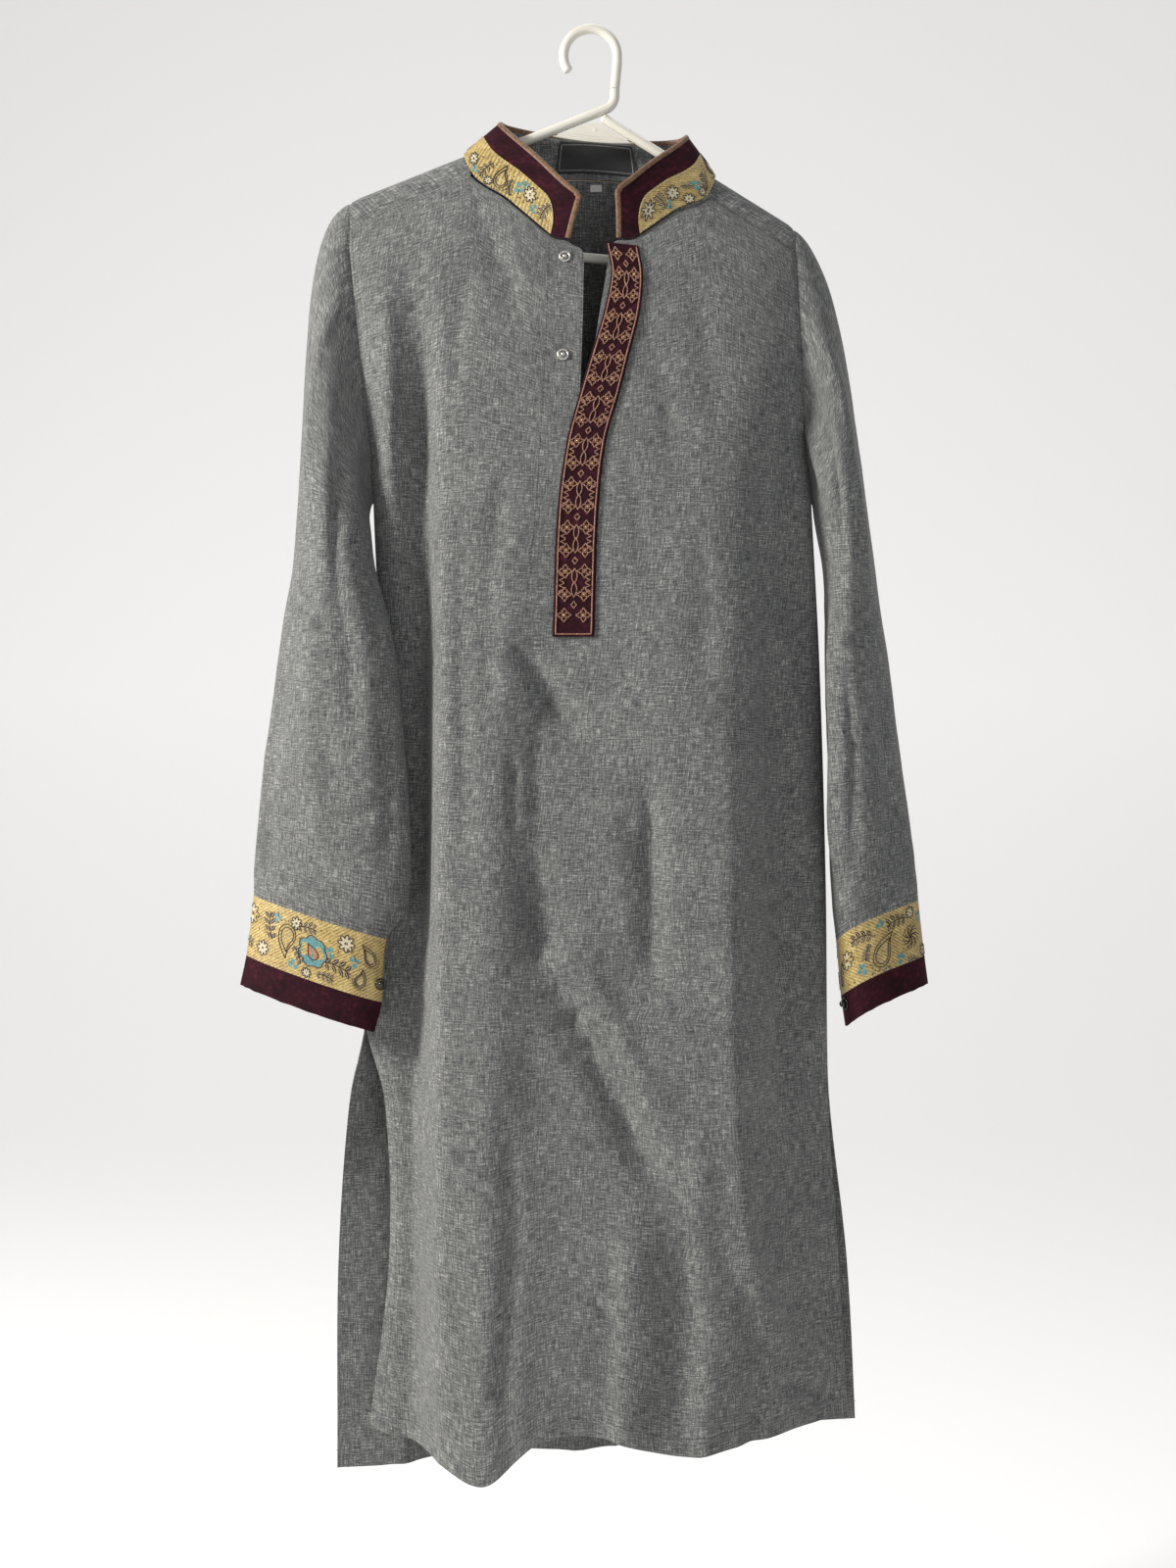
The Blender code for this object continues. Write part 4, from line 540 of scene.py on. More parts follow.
def creaseField(creases, x, z):
    # depth at (x, z) of all creases; each has soft ends and its own width on either side
    total = np.zeros_like(x)
    for k, crease in enumerate(creases):
        corners = np.array(crease["path"], float)
        steps = creaseShape["steps"] * (len(corners) - 1)
        path = curveThrough(corners, np.linspace(0, len(corners) - 1, steps + 1))
        reach = creaseShape["reach"] * max(crease["left"], crease["right"])
        near = ((x > path[:, 0].min() - reach) & (x < path[:, 0].max() + reach)
                & (z > path[:, 1].min() - reach) & (z < path[:, 1].max() + reach))
        spots = np.stack([x[near], z[near]], axis=1)
        best = np.full(len(spots), 1e9)
        side = np.zeros(len(spots))
        along = np.zeros(len(spots))
        for s in range(steps):
            a = path[s]
            run = path[s + 1] - a
            t = np.clip(((spots - a) @ run) / (run @ run), 0, 1)
            off = spots - a - t[:, None] * run
            distance = np.sqrt((off * off).sum(axis=1))
            closer = distance < best
            best[closer] = distance[closer]
            cross = run[1] * off[:, 0] - run[0] * off[:, 1]
            side[closer] = np.where(run[1] < 0, -cross, cross)[closer]
            along[closer] = ((s + t) / steps)[closer]
        width = np.where(side < 0, crease["left"], crease["right"])
        ends = along if crease.get("runsOut") else np.minimum(along, 1 - along)
        uneven = np.sin(creaseShape["waves"] * along + creaseShape["shift"] * k)
        depth = crease["depth"] * garment["creaseStrength"] * (1 + creaseShape["swell"] * uneven)
        fade = softStep(ends / creaseShape["endShare"])
        total[near] += depth * fade * np.exp(-(best / width) ** 2)
    return total


def foldField(folds, x, z):
    total = np.zeros_like(x)
    for fold in folds:
        (x0, z0), (x1, z1) = fold["path"]
        along = (z0 - z) / (z0 - z1)
        fade = softStep(np.minimum(along, 1 - along) / creaseShape["endShare"])
        off = (x - mix(x0, x1, along)) / fold["width"]
        total += np.where((along > 0) & (along < 1), fold["depth"] * fade * np.exp(-off * off), 0)
    return total


def shoulderLine(x):
    # height of the cloth's fold over the hanger's arms
    slope = hanger["armSlope"]
    mean = (math.tan(slope - hanger["tilt"]) + math.tan(slope + hanger["tilt"])) / 2
    lean = math.tan(slope + hanger["tilt"]) - mean
    away = np.abs(x - hanger["apexX"])
    bend = garment["shoulderRound"]
    away = np.where(away < bend, away * away / (2 * bend) + bend / 2, away)
    return hanger["apexZ"] - mean * away - lean * (x - hanger["apexX"]) + garment["shoulderLift"]


def overRidge(depth, below):
    # cloth comes to the shoulder's ridge with a round of its own
    room = np.maximum(below, 0)
    return depth * np.sqrt(1 - np.exp(-2 * garment["ridgeRadius"] * room / (depth * depth + 1)))


reliefFade = dict(frontSeed=11, backSeed=16, columns=0.8, fall=26.0)
# How finely a place is found on a panel, and its normal measured
finding = dict(halvings=32, column=0.03, height=2.0)


class Panel:
    # a hanging cloth surface: a smooth cross-section at every height
    def __init__(self, sections, folds, creases, side, topOf):
        rows = sorted(sections, key=lambda row: row["z"])
        self.knots = [row["z"] for row in rows]
        self.places = np.array([np.stack([row["x"], row["y"]], axis=1) for row in rows], float)
        self.last = self.places.shape[1] - 1
        self.folds = folds
        self.creases = creases
        self.side = side
        self.topOf = topOf

    def controls(self, z):
        points = smoothThrough(self.knots, self.places, z)
        sewn = (z >= garment["slitTopZ"]) & (z <= garment["underarmZ"])
        heights = [row["z"] for row in sideSeam]
        for c, edge in ((0, "left"), (self.last, "right")):
            seam = smoothThrough(heights, [row[edge] for row in sideSeam], z)
            points[sewn, c] = seam[sewn]
        return points

    def section(self, column, z):
        points = self.controls(z)
        up = 1 - softStep((z - garment["underarmZ"]) / garment["seamFadeUp"])
        down = 1 - softStep((garment["slitTopZ"] - z) / garment["seamFadeDown"])
        weight = np.where(z > garment["underarmZ"], up, down)[:, None]
        i = np.clip(np.floor(column).astype(int), 0, self.last - 1)
        f = (column - i)[:, None]
        n = np.arange(len(z))
        here = points[n, i]
        after = points[n, i + 1]
        before = points[n, np.maximum(i - 1, 0)]
        beyond = points[n, np.minimum(i + 2, self.last)]
        reach = lengthOf(after - here)
        chord = unit(after - here)
        wrap = np.array([0.0, self.side])
        start = (after - before) * reach / (lengthOf(here - before) + reach)
        start = np.where((i == 0)[:, None], (chord * (1 - weight) + wrap * weight) * reach, start)
        end = (beyond - here) * reach / (lengthOf(beyond - after) + reach)
        end = np.where((i == self.last - 1)[:, None],
                       (chord * (1 - weight) - wrap * weight) * reach, end)
        return hermite(here, after, start, end, f)

    def relief(self, column, x, z):
        # creases and crumple, fading towards the side edges and the top seam
        depth = creaseField(self.creases, x, z)
        seed = reliefFade["backSeed"] if self.side > 0 else reliefFade["frontSeed"]
        for k, layer in enumerate(crumple):
            depth += layer["height"] * softNoise(x, z, layer["across"], layer["down"], seed + k)
        edge = softStep(np.minimum(column, self.last - column) / reliefFade["columns"])
        return depth * edge * softStep((self.topOf(x) - z) / reliefFade["fall"])

    def point(self, column, z):
        flat = self.section(column, z)
        x = flat[:, 0]
        depth = flat[:, 1] + foldField(self.folds, x, z) + self.relief(column, x, z)
        return np.stack([x, overRidge(depth, shoulderLine(x) - z), z], axis=1)

    def columnAt(self, x, z):
        low = np.zeros_like(x)
        high = np.full_like(x, self.last)
        for _ in range(finding["halvings"]):
            middle = (low + high) / 2
            short = self.section(middle, z)[:, 0] < x
            low = np.where(short, middle, low)
            high = np.where(short, high, middle)
        return (low + high) / 2

    def onSurface(self, x, z):
        x = np.atleast_1d(np.asarray(x, float))
        z = np.atleast_1d(np.asarray(z, float))
        column = self.columnAt(x, z)
        aside = finding["column"]
        step = finding["height"]
        across = self.point(column + aside, z) - self.point(column - aside, z)
        down = self.point(column, z - step) - self.point(column, z + step)
        return self.point(column, z), unit(np.cross(across, down)) * self.side


def ridgePoint(x, q):
    # over the shoulder: q is the signed root of the drop below the shoulder line
    z = shoulderLine(x) - q * q
    held = np.maximum(z, garment["chestTopZ"])
    depth = np.zeros_like(x)
    for panel, chosen in ((frontPanel, q < 0), (backPanel, q >= 0)):
        if chosen.any():
            column = panel.columnAt(x[chosen], held[chosen])
            flat = panel.section(column, held[chosen])
            depth[chosen] = flat[:, 1] + foldField(panel.folds, x[chosen], z[chosen])
    return np.stack([x, overRidge(depth, q * q), z], axis=1)


def neckAt(u):
    points = []
    for row in collarRows:
        drop = max(float(shoulderLine(np.array(row["x"]))) - row["z"], 0.0)
        if row["name"] in ("left_side", "right_side"):
            drop = 0.0
        if row["name"] in ("left_seam", "right_seam"):
            drop = yoke["frontDrop"]
        points.append((row["x"], row["side"] * math.sqrt(drop) * collar["rootScale"]))
    place = curveThrough(points, u)
    return place[:, 0], place[:, 1] / collar["rootScale"]


def neckLine():
    count = collar["neckSamples"]
    left = neckAt(np.linspace(0, collarIndex["left_seam"], count))
    right = neckAt(np.linspace(collarIndex["right_seam"], len(collarRows) - 1, count))
    places = list(collar["corners"])
    for x, q in (left, right):
        places += list(zip(x, shoulderLine(x) - q * q))
    return np.array(sorted(places))


def yokeDrop(x):
    neck = np.where(x < 0, collarRows[collarIndex["left_seam"]]["x"],
                    collarRows[collarIndex["right_seam"]]["x"])
    armhole = np.where(x < 0, frontSections[0]["x"][0], frontSections[0]["x"][-1])
    share = np.clip((x - neck) / (armhole - neck), 0, 1)
    return mix(yoke["frontDrop"], yoke["armholeDrop"], share)


def frontTop(x):
    inside = ((x > collarRows[collarIndex["left_seam"]]["x"])
              & (x < collarRows[collarIndex["right_seam"]]["x"]))
    return np.where(inside, np.interp(x, neckPlaces[:, 0], neckPlaces[:, 1]),
                    shoulderLine(x) - yokeDrop(x))


def backTop(x):
    return smoothThrough(yoke["seamX"], yoke["seamZ"], x)


neckPlaces = neckLine()
frontPanel = Panel(frontSections, frontFolds, frontCreases, -1, frontTop)
backPanel = Panel(backSections, backFolds, backCreases, 1, backTop)
print("stage: cloth surfaces ready")


# Mesh tools

sharpAngle = math.radians(50)
# A turned solid's start is any direction off its axis
turning = dict(start=(0.31, 0.2, 0.93), leastRadius=0.02)


def newObject(name, points, faces, material, uvs=None):
    # material is a name in materials; uvs are per face corner, in metres
    mesh = bpy.data.meshes.new(name)
    mesh.from_pydata((np.asarray(points, float) * metres).tolist(), [], faces)
    if uvs is not None:
        layer = mesh.uv_layers.new(name="UVMap")
        layer.data.foreach_set("uv", np.asarray(uvs, np.float32).ravel())
    mesh.materials.append(materials[material])
    mesh.shade_smooth()
    made = bpy.data.objects.new(name, mesh)
    bpy.context.collection.objects.link(made)
    return made


def turnOutwards(piece):
    shape = bmesh.new()
    shape.from_mesh(piece.data)
    bmesh.ops.recalc_face_normals(shape, faces=shape.faces)
    shape.to_mesh(piece.data)
    shape.free()
    piece.data.set_sharp_from_angle(angle=sharpAngle)


def gridNormals(mids, wrap=False):
    # unit normals of a grid, along columns cross along rows
    if wrap:
        across = np.roll(mids, -1, axis=1) - np.roll(mids, 1, axis=1)
    else:
        across = np.gradient(mids, axis=1)
    return unit(np.cross(across, np.gradient(mids, axis=0)))


def edgeFirst(grid, edge):
    # the same grid seen with the named edge as its first row
    turned = grid.transpose(1, 0, 2) if edge in ("left", "right") else grid
    return turned[::-1] if edge in ("top", "right") else turned


def sinkEdge(mids, normals, edge, first=0):
    # the last points before a seam dip below the cloth's face
    rows = edgeFirst(mids, edge)
    facing = edgeFirst(normals, edge)
    for step, depth in enumerate(seamDip):
        rows[step, first:] -= facing[step, first:] * depth


def gridLengths(mids, wrap=False):
    # metre lengths along the rows and down the columns, for the UV map
    closed = np.concatenate([mids, mids[:, :1]], axis=1) if wrap else mids
    across = np.cumsum(lengthOf(np.diff(closed, axis=1))[..., 0], axis=1)
    across = np.concatenate([np.zeros((len(mids), 1)), across], axis=1)
    across -= across[:, across.shape[1] // 2][:, None]
    down = np.cumsum(lengthOf(np.diff(closed, axis=0))[..., 0].mean(axis=1))
    down = np.concatenate([[0.0], down])
    return across * metres, np.broadcast_to(down[:, None], across.shape) * metres


def wallMesh(name, mids, normals, thickness, material, wrap=False, missing=None):
    # a closed thin wall around a grid of mid-surface points
    rows, columns = mids.shape[:2]
    spans = columns if wrap else columns - 1
    live = np.ones((rows - 1, spans), bool)
    if missing is not None:
        live &= ~missing
    u, v = gridLengths(mids, wrap)
    count = rows * columns

    def corners(j, i):
        return j * columns + i % columns, np.stack([u[j, i], v[j, i]], axis=-1)

    j, i = np.nonzero(live)
    ring = [corners(j, i), corners(j, i + 1), corners(j + 1, i + 1), corners(j + 1, i)]
    quad = np.stack([c[0] for c in ring], axis=1)
    quadUv = np.stack([c[1] for c in ring], axis=1)
    padded = np.pad(live.astype(int), ((1, 1), (0, 0)))
    j, i = np.nonzero(padded[1:] + padded[:-1] == 1)
    level = [corners(j, i), corners(j, i + 1)]
    if wrap:
        touch = live.astype(int) + np.roll(live.astype(int), 1, axis=1)
    else:
        padded = np.pad(live.astype(int), ((0, 0), (1, 1)))
        touch = padded[:, 1:] + padded[:, :-1]
    j, i = np.nonzero(touch == 1)
    upright = [corners(j, i), corners(j + 1, i)]
    faces = [quad, quad[:, ::-1] + count]
    uvs = [quadUv, quadUv[:, ::-1]]
    for (a, aUv), (b, bUv) in (level, upright):
        faces.append(np.stack([b, a, a + count, b + count], axis=1))
        uvs.append(np.stack([bUv, aUv, aUv, bUv], axis=1))
    faces = np.concatenate(faces)
    uvs = np.concatenate(uvs)
    flat = mids.reshape(-1, 3)
    out = normals.reshape(-1, 3) * thickness / 2
    points = np.concatenate([flat + out, flat - out])
    used, order = np.unique(faces, return_inverse=True)
    made = newObject(name, points[used], order.reshape(faces.shape).tolist(), material, uvs)
    turnOutwards(made)
    return made


def rodMesh(name, rings, material):
    # a solid through the rings, capped at both ends
    rings = np.asarray(rings, float)
    count, sides = rings.shape[:2]
    girth = runningLength(np.concatenate([rings[0], rings[0][:1]])) * metres
    along = runningLength(rings.mean(axis=1)) * metres
    faces = []
    uvs = []
    for j in range(count - 1):
        low = j * sides
        high = low + sides
        for k in range(sides):
            n = (k + 1) % sides
            faces.append((low + k, low + n, high + n, high + k))
            uvs += [(girth[k], along[j]), (girth[k + 1], along[j]),
                    (girth[k + 1], along[j + 1]), (girth[k], along[j + 1])]
    for first, place in ((0, along[0]), ((count - 1) * sides, along[-1])):
        faces.append(tuple(range(first, first + sides)))
        uvs += [(girth[k], place) for k in range(sides)]
    made = newObject(name, rings.reshape(-1, 3), faces, material, uvs)
    turnOutwards(made)
    return made


def turnedMesh(name, centre, axis, profile, sides, material):
    # a turned solid of (radius, height) pairs along the axis, ends on the axis
    axis = unit(np.asarray(axis, float))
    side = unit(np.cross(axis, turning["start"]))
    around = spokes(fullTurn(sides), side, np.cross(axis, side))
    rings = [centre + around * max(radius, turning["leastRadius"]) + axis * height
             for radius, height in profile]
    return rodMesh(name, rings, material)


class Patch:
    # a trim's outer face: s runs along it, h across it, both in millimetres
    def __init__(self, points, normals, places, widths):
        self.points = points
        self.normals = normals
        self.places = np.asarray(places, float)
        self.widths = np.asarray(widths, float)

    def at(self, s, h, lift):
        column = np.interp(s, self.places, np.arange(len(self.places)))
        width = np.interp(s, self.places, self.widths)
        row = np.clip(h / width, 0, 1) * (self.points.shape[0] - 1)
        i = np.clip(np.floor(column).astype(int), 0, self.points.shape[1] - 2)
        j = np.clip(np.floor(row).astype(int), 0, self.points.shape[0] - 2)
        fi = (column - i)[:, None]
        fj = (row - j)[:, None]

        def blend(grid):
            low = mix(grid[j, i], grid[j, i + 1], fi)
            return mix(low, mix(grid[j + 1, i], grid[j + 1, i + 1], fi), fj)

        return blend(self.points) + unit(blend(self.normals)) * lift


def insetLine(mids, normals, edge, inset, lift):
    # points at a set distance in from one edge of a grid
    turned = edgeFirst(mids, edge)
    facing = edgeFirst(normals, edge)
    steps = np.cumsum(lengthOf(np.diff(turned, axis=0))[..., 0], axis=0)
    steps = np.concatenate([np.zeros((1, turned.shape[1])), steps])
    line = []
    for i in range(turned.shape[1]):
        row = np.interp(inset, steps[:, i], np.arange(len(steps)))
        j = min(int(row), len(steps) - 2)
        f = row - j
        line.append(mix(turned[j, i], turned[j + 1, i], f)
                    + mix(facing[j, i], facing[j + 1, i], f) * lift)
    return np.array(line)


# Node tools, for Geometry Nodes trees and materials

def addNode(tree, kind, values=None, **settings):
    # a node with its settings and the values of its input sockets
    node = tree.nodes.new(kind)
    for key, value in settings.items():
        setattr(node, key, value)
    for socket, value in (values or {}).items():
        node.inputs[socket].default_value = value
    return node


def wire(tree, *links):
    for source, output, target, socket in links:
        tree.links.new(source.outputs[output], target.inputs[socket])


def newTree(name, **inputs):
    tree = bpy.data.node_groups.new(name, "GeometryNodeTree")
    for title, kind in dict(Geometry="Geometry", **inputs).items():
        tree.interface.new_socket(title, in_out="INPUT", socket_type="NodeSocket" + kind)
    tree.interface.new_socket("Geometry", in_out="OUTPUT", socket_type="NodeSocketGeometry")
    return tree, tree.nodes.new("NodeGroupInput"), tree.nodes.new("NodeGroupOutput")


def endTree(tree, last, socket, grouped, output):
    realize = addNode(tree, "GeometryNodeRealizeInstances")
    smooth = addNode(tree, "GeometryNodeSetShadeSmooth")
    paint = addNode(tree, "GeometryNodeSetMaterial")
    wire(tree, (last, socket, realize, "Geometry"), (realize, "Geometry", smooth, "Geometry"),
         (smooth, "Geometry", paint, "Geometry"), (grouped, "Material", paint, "Material"),
         (paint, "Geometry", output, "Geometry"))
    return tree


def cordTree():
    # a round cord along every edge line
    tree, grouped, output = newTree("cordAlongLines", Radius="Float", Sides="Int",
                                    Material="Material")
    toCurve = addNode(tree, "GeometryNodeMeshToCurve")
    circle = addNode(tree, "GeometryNodeCurvePrimitiveCircle")
    tube = addNode(tree, "GeometryNodeCurveToMesh", {"Fill Caps": True})
    wire(tree, (grouped, "Geometry", toCurve, "Mesh"), (grouped, "Radius", circle, "Radius"),
         (grouped, "Sides", circle, "Resolution"), (toCurve, "Curve", tube, "Curve"),
         (circle, "Curve", tube, "Profile Curve"))
    return endTree(tree, tube, "Mesh", grouped, output)


def stitchTree():
    # short raised threads at an even pitch along every edge line
    tree, grouped, output = newTree("stitchesAlongLines", Pitch="Float", Size="Vector",
                                    Material="Material")
    toCurve = addNode(tree, "GeometryNodeMeshToCurve")
    spaced = addNode(tree, "GeometryNodeCurveToPoints", mode="LENGTH")
    ball = addNode(tree, "GeometryNodeMeshUVSphere", {"Segments": 6, "Rings": 4, "Radius": 1.0})
    align = addNode(tree, "FunctionNodeAlignRotationToVector", axis="X")
    place = addNode(tree, "GeometryNodeInstanceOnPoints")
    wire(tree, (grouped, "Geometry", toCurve, "Mesh"), (toCurve, "Curve", spaced, "Curve"),
         (grouped, "Pitch", spaced, "Length"), (spaced, "Tangent", align, "Vector"),
         (spaced, "Points", place, "Points"), (ball, "Mesh", place, "Instance"),
         (align, "Rotation", place, "Rotation"), (grouped, "Size", place, "Scale"))
    return endTree(tree, place, "Instances", grouped, output)


def beadTree():
    # a small ball on every point
    tree, grouped, output = newTree("ballsOnPoints", Radius="Float", Material="Material")
    ball = addNode(tree, "GeometryNodeMeshUVSphere", {"Segments": 10, "Rings": 6})
    place = addNode(tree, "GeometryNodeInstanceOnPoints")
    wire(tree, (grouped, "Radius", ball, "Radius"), (grouped, "Geometry", place, "Points"),
         (ball, "Mesh", place, "Instance"))
    return endTree(tree, place, "Instances", grouped, output)


trees = dict(cord=cordTree(), stitch=stitchTree(), bead=beadTree())


def grown(name, lines, kind, material, **inputs):
    # lines in millimetres, or (line, closed) pairs, grown by a node tree into one plain mesh
    points = []
    edges = []
    for entry in lines:
        line, closed = entry if isinstance(entry, tuple) else (entry, False)
        first = len(points)
        points += (np.asarray(line) * metres).tolist()
        count = len(line)
        edges += [(first + k, first + k + 1) for k in range(count - 1)]
        if closed:
            edges.append((first + count - 1, first))
    mesh = bpy.data.meshes.new(name + "Lines")
    mesh.from_pydata(points, [] if kind == "bead" else edges, [])
    source = bpy.data.objects.new(name + "Lines", mesh)
    bpy.context.collection.objects.link(source)
    modifier = source.modifiers.new("grow", "NODES")
    modifier.node_group = trees[kind]
    inputs["Material"] = materials[material]
    for item in trees[kind].interface.items_tree:
        if item.name in inputs:
            modifier[item.identifier] = inputs[item.name]
    source.update_tag()
    bpy.context.view_layer.update()
    evaluated = source.evaluated_get(bpy.context.evaluated_depsgraph_get())
    result = bpy.data.meshes.new_from_object(evaluated)
    result.name = name
    made = bpy.data.objects.new(name, result)
    bpy.context.collection.objects.link(made)
    bpy.data.objects.remove(source)
    bpy.data.meshes.remove(mesh)
    return made


# Materials

def newMaterial(name, colour, roughness, sockets=None):
    made = bpy.data.materials.new(name)
    made.use_nodes = True
    shader = made.node_tree.nodes["Principled BSDF"]
    shader.inputs["Base Color"].default_value = (*colour, 1)
    shader.inputs["Roughness"].default_value = roughness
    for socket, value in (sockets or {}).items():
        shader.inputs[socket].default_value = value
    return made, made.node_tree, shader


def mappedNoise(tree, source, scale, detail=2.0):
    mapping = addNode(tree, "ShaderNodeMapping", {"Scale": scale})
    noise = addNode(tree, "ShaderNodeTexNoise", {"Scale": 1.0, "Detail": detail})
    tree.links.new(source, mapping.inputs["Vector"])
    wire(tree, (mapping, "Vector", noise, "Vector"))
    return noise.outputs["Fac"]


def weighted(tree, *parts):
    # weighted sum of value sockets
    total = None
    for socket, weight in parts:
        scaled = addNode(tree, "ShaderNodeMath", {1: weight, 2: 0.0}, operation="MULTIPLY_ADD")
        tree.links.new(socket, scaled.inputs[0])
        if total is not None:
            tree.links.new(total, scaled.inputs[2])
        total = scaled.outputs["Value"]
    return total


def colourBy(tree, shader, source, *stops):
    # the base colour through a ramp of (place, colour) stops
    node = addNode(tree, "ShaderNodeValToRGB")
    band = node.color_ramp
    while len(band.elements) < len(stops):
        band.elements.new(0.5)
    for element, (place, colour) in zip(band.elements, stops):
        element.position = place
        element.color = (*colour, 1)
    tree.links.new(source, node.inputs["Fac"])
    wire(tree, (node, "Color", shader, "Base Color"))


def bumped(tree, shader, height, strength, distance):
    node = addNode(tree, "ShaderNodeBump", {"Strength": strength, "Distance": distance})
    tree.links.new(height, node.inputs["Height"])
    wire(tree, (node, "Normal", shader, "Normal"))


def uvSource(tree):
    return tree.nodes.new("ShaderNodeUVMap").outputs["UV"]


def objectSource(tree):
    return tree.nodes.new("ShaderNodeTexCoord").outputs["Object"]


def melangeLinen():
    # grey melange: dark and light slubs both ways over a fine speckle
    made, tree, shader = newMaterial("melangeLinen", (0.1, 0.1, 0.098), 0.9, {
        "Sheen Weight": 0.12, "Sheen Roughness": 0.6, "Specular IOR Level": 0.2})
    uv = uvSource(tree)
    weft = mappedNoise(tree, uv, (105, 1000, 1), 1.5)
    warp = mappedNoise(tree, uv, (950, 85, 1), 1.5)
    speck = mappedNoise(tree, uv, (700, 700, 1), 3.0)
    cloud = mappedNoise(tree, uv, (26, 20, 1))
    value = weighted(tree, (weft, 0.32), (warp, 0.3), (speck, 0.3), (cloud, 0.08))
    colourBy(tree, shader, value, (0.36, (0.03, 0.031, 0.031)), (0.47, (0.09, 0.092, 0.09)),
             (0.54, (0.155, 0.157, 0.15)), (0.64, (0.34, 0.34, 0.32)))
    bumped(tree, shader, weighted(tree, (weft, 0.5), (warp, 0.5)), 0.35, 0.0006)
    return made


def velvetMaterial(name, ribs):
    made, tree, shader = newMaterial(name, (0.035, 0.004, 0.01), 0.85, {
        "Sheen Weight": 0.25, "Sheen Roughness": 0.35, "Sheen Tint": (0.45, 0.06, 0.13, 1),
        "Specular IOR Level": 0.15})
    uv = uvSource(tree)
    nap = mappedNoise(tree, uv, (260, 260, 1), 3.0)
    cloud = mappedNoise(tree, uv, (60, 60, 1))
    colourBy(tree, shader, weighted(tree, (nap, 0.5), (cloud, 0.5)),
             (0.35, (0.008, 0.0015, 0.003)), (0.55, (0.024, 0.003, 0.007)),
             (0.7, (0.06, 0.008, 0.018)))
    height = nap
    if ribs:
        height = weighted(tree, (nap, 0.3), (mappedNoise(tree, uv, (620, 6, 1)), 0.7))
    bumped(tree, shader, height, 0.5, 0.0006)
    return made


brocadeTwill = dict(scale=143.0, unevenness=0.8, turn=math.radians(52))


def brocadeMaterial():
    # gold ground with a fine diagonal rib
    made, tree, shader = newMaterial("goldBrocade", (0.5, 0.36, 0.14), 0.5, {
        "Sheen Weight": 0.15, "Specular IOR Level": 0.5})
    uv = uvSource(tree)
    turn = addNode(tree, "ShaderNodeMapping", {"Rotation": (0, 0, brocadeTwill["turn"])})
    tree.links.new(uv, turn.inputs["Vector"])
    rib = mappedNoise(tree, turn.outputs["Vector"], (1100, 210, 1), 1.0)
    grain = mappedNoise(tree, uv, (700, 700, 1))
    cloud = mappedNoise(tree, uv, (90, 90, 1))
    twill = addNode(tree, "ShaderNodeTexWave", {"Scale": brocadeTwill["scale"],
                                                "Distortion": brocadeTwill["unevenness"]})
    wire(tree, (turn, "Vector", twill, "Vector"))
    value = weighted(tree, (rib, 0.35), (twill.outputs["Fac"], 0.12), (grain, 0.25), (cloud, 0.22))
    colourBy(tree, shader, value, (0.34, (0.14, 0.085, 0.025)), (0.46, (0.34, 0.24, 0.075)),
             (0.56, (0.5, 0.38, 0.14)), (0.68, (0.68, 0.57, 0.3)))
    bumped(tree, shader, twill.outputs["Fac"], 0.3, 0.0004)
    return made


def threadMaterial(name, dark, light, scale=900.0):
    made, tree, shader = newMaterial(name, light, 0.6, {"Sheen Weight": 0.1})
    grain = mappedNoise(tree, objectSource(tree), (scale, scale, scale))
    colourBy(tree, shader, grain, (0.35, dark), (0.65, light))
    return made


def mouldedMaterial():
    made, tree, shader = newMaterial("mouldedPlastic", (0.66, 0.63, 0.55), 0.32, {
        "Coat Weight": 0.15, "Coat Roughness": 0.25, "Subsurface Weight": 0.08,
        "Subsurface Radius": (0.004, 0.003, 0.002)})
    patch = mappedNoise(tree, objectSource(tree), (22, 22, 22))
    colourBy(tree, shader, patch, (0.3, (0.6, 0.57, 0.49)), (0.7, (0.7, 0.67, 0.59)))
    bumped(tree, shader, mappedNoise(tree, objectSource(tree), (320, 320, 320)), 0.06, 0.0004)
    return made


plainSpread = dict(grain=60.0, low=0.85, high=1.12)


def plainMaterial(name, colour, roughness, metallic=0.0):
    made, tree, shader = newMaterial(name, colour, roughness, {"Metallic": metallic})
    spread = mappedNoise(tree, objectSource(tree), (plainSpread["grain"],) * 3)
    low = tuple(c * plainSpread["low"] for c in colour)
    high = tuple(min(c * plainSpread["high"], 1) for c in colour)
    colourBy(tree, shader, spread, (0.35, low), (0.65, high))
    return made


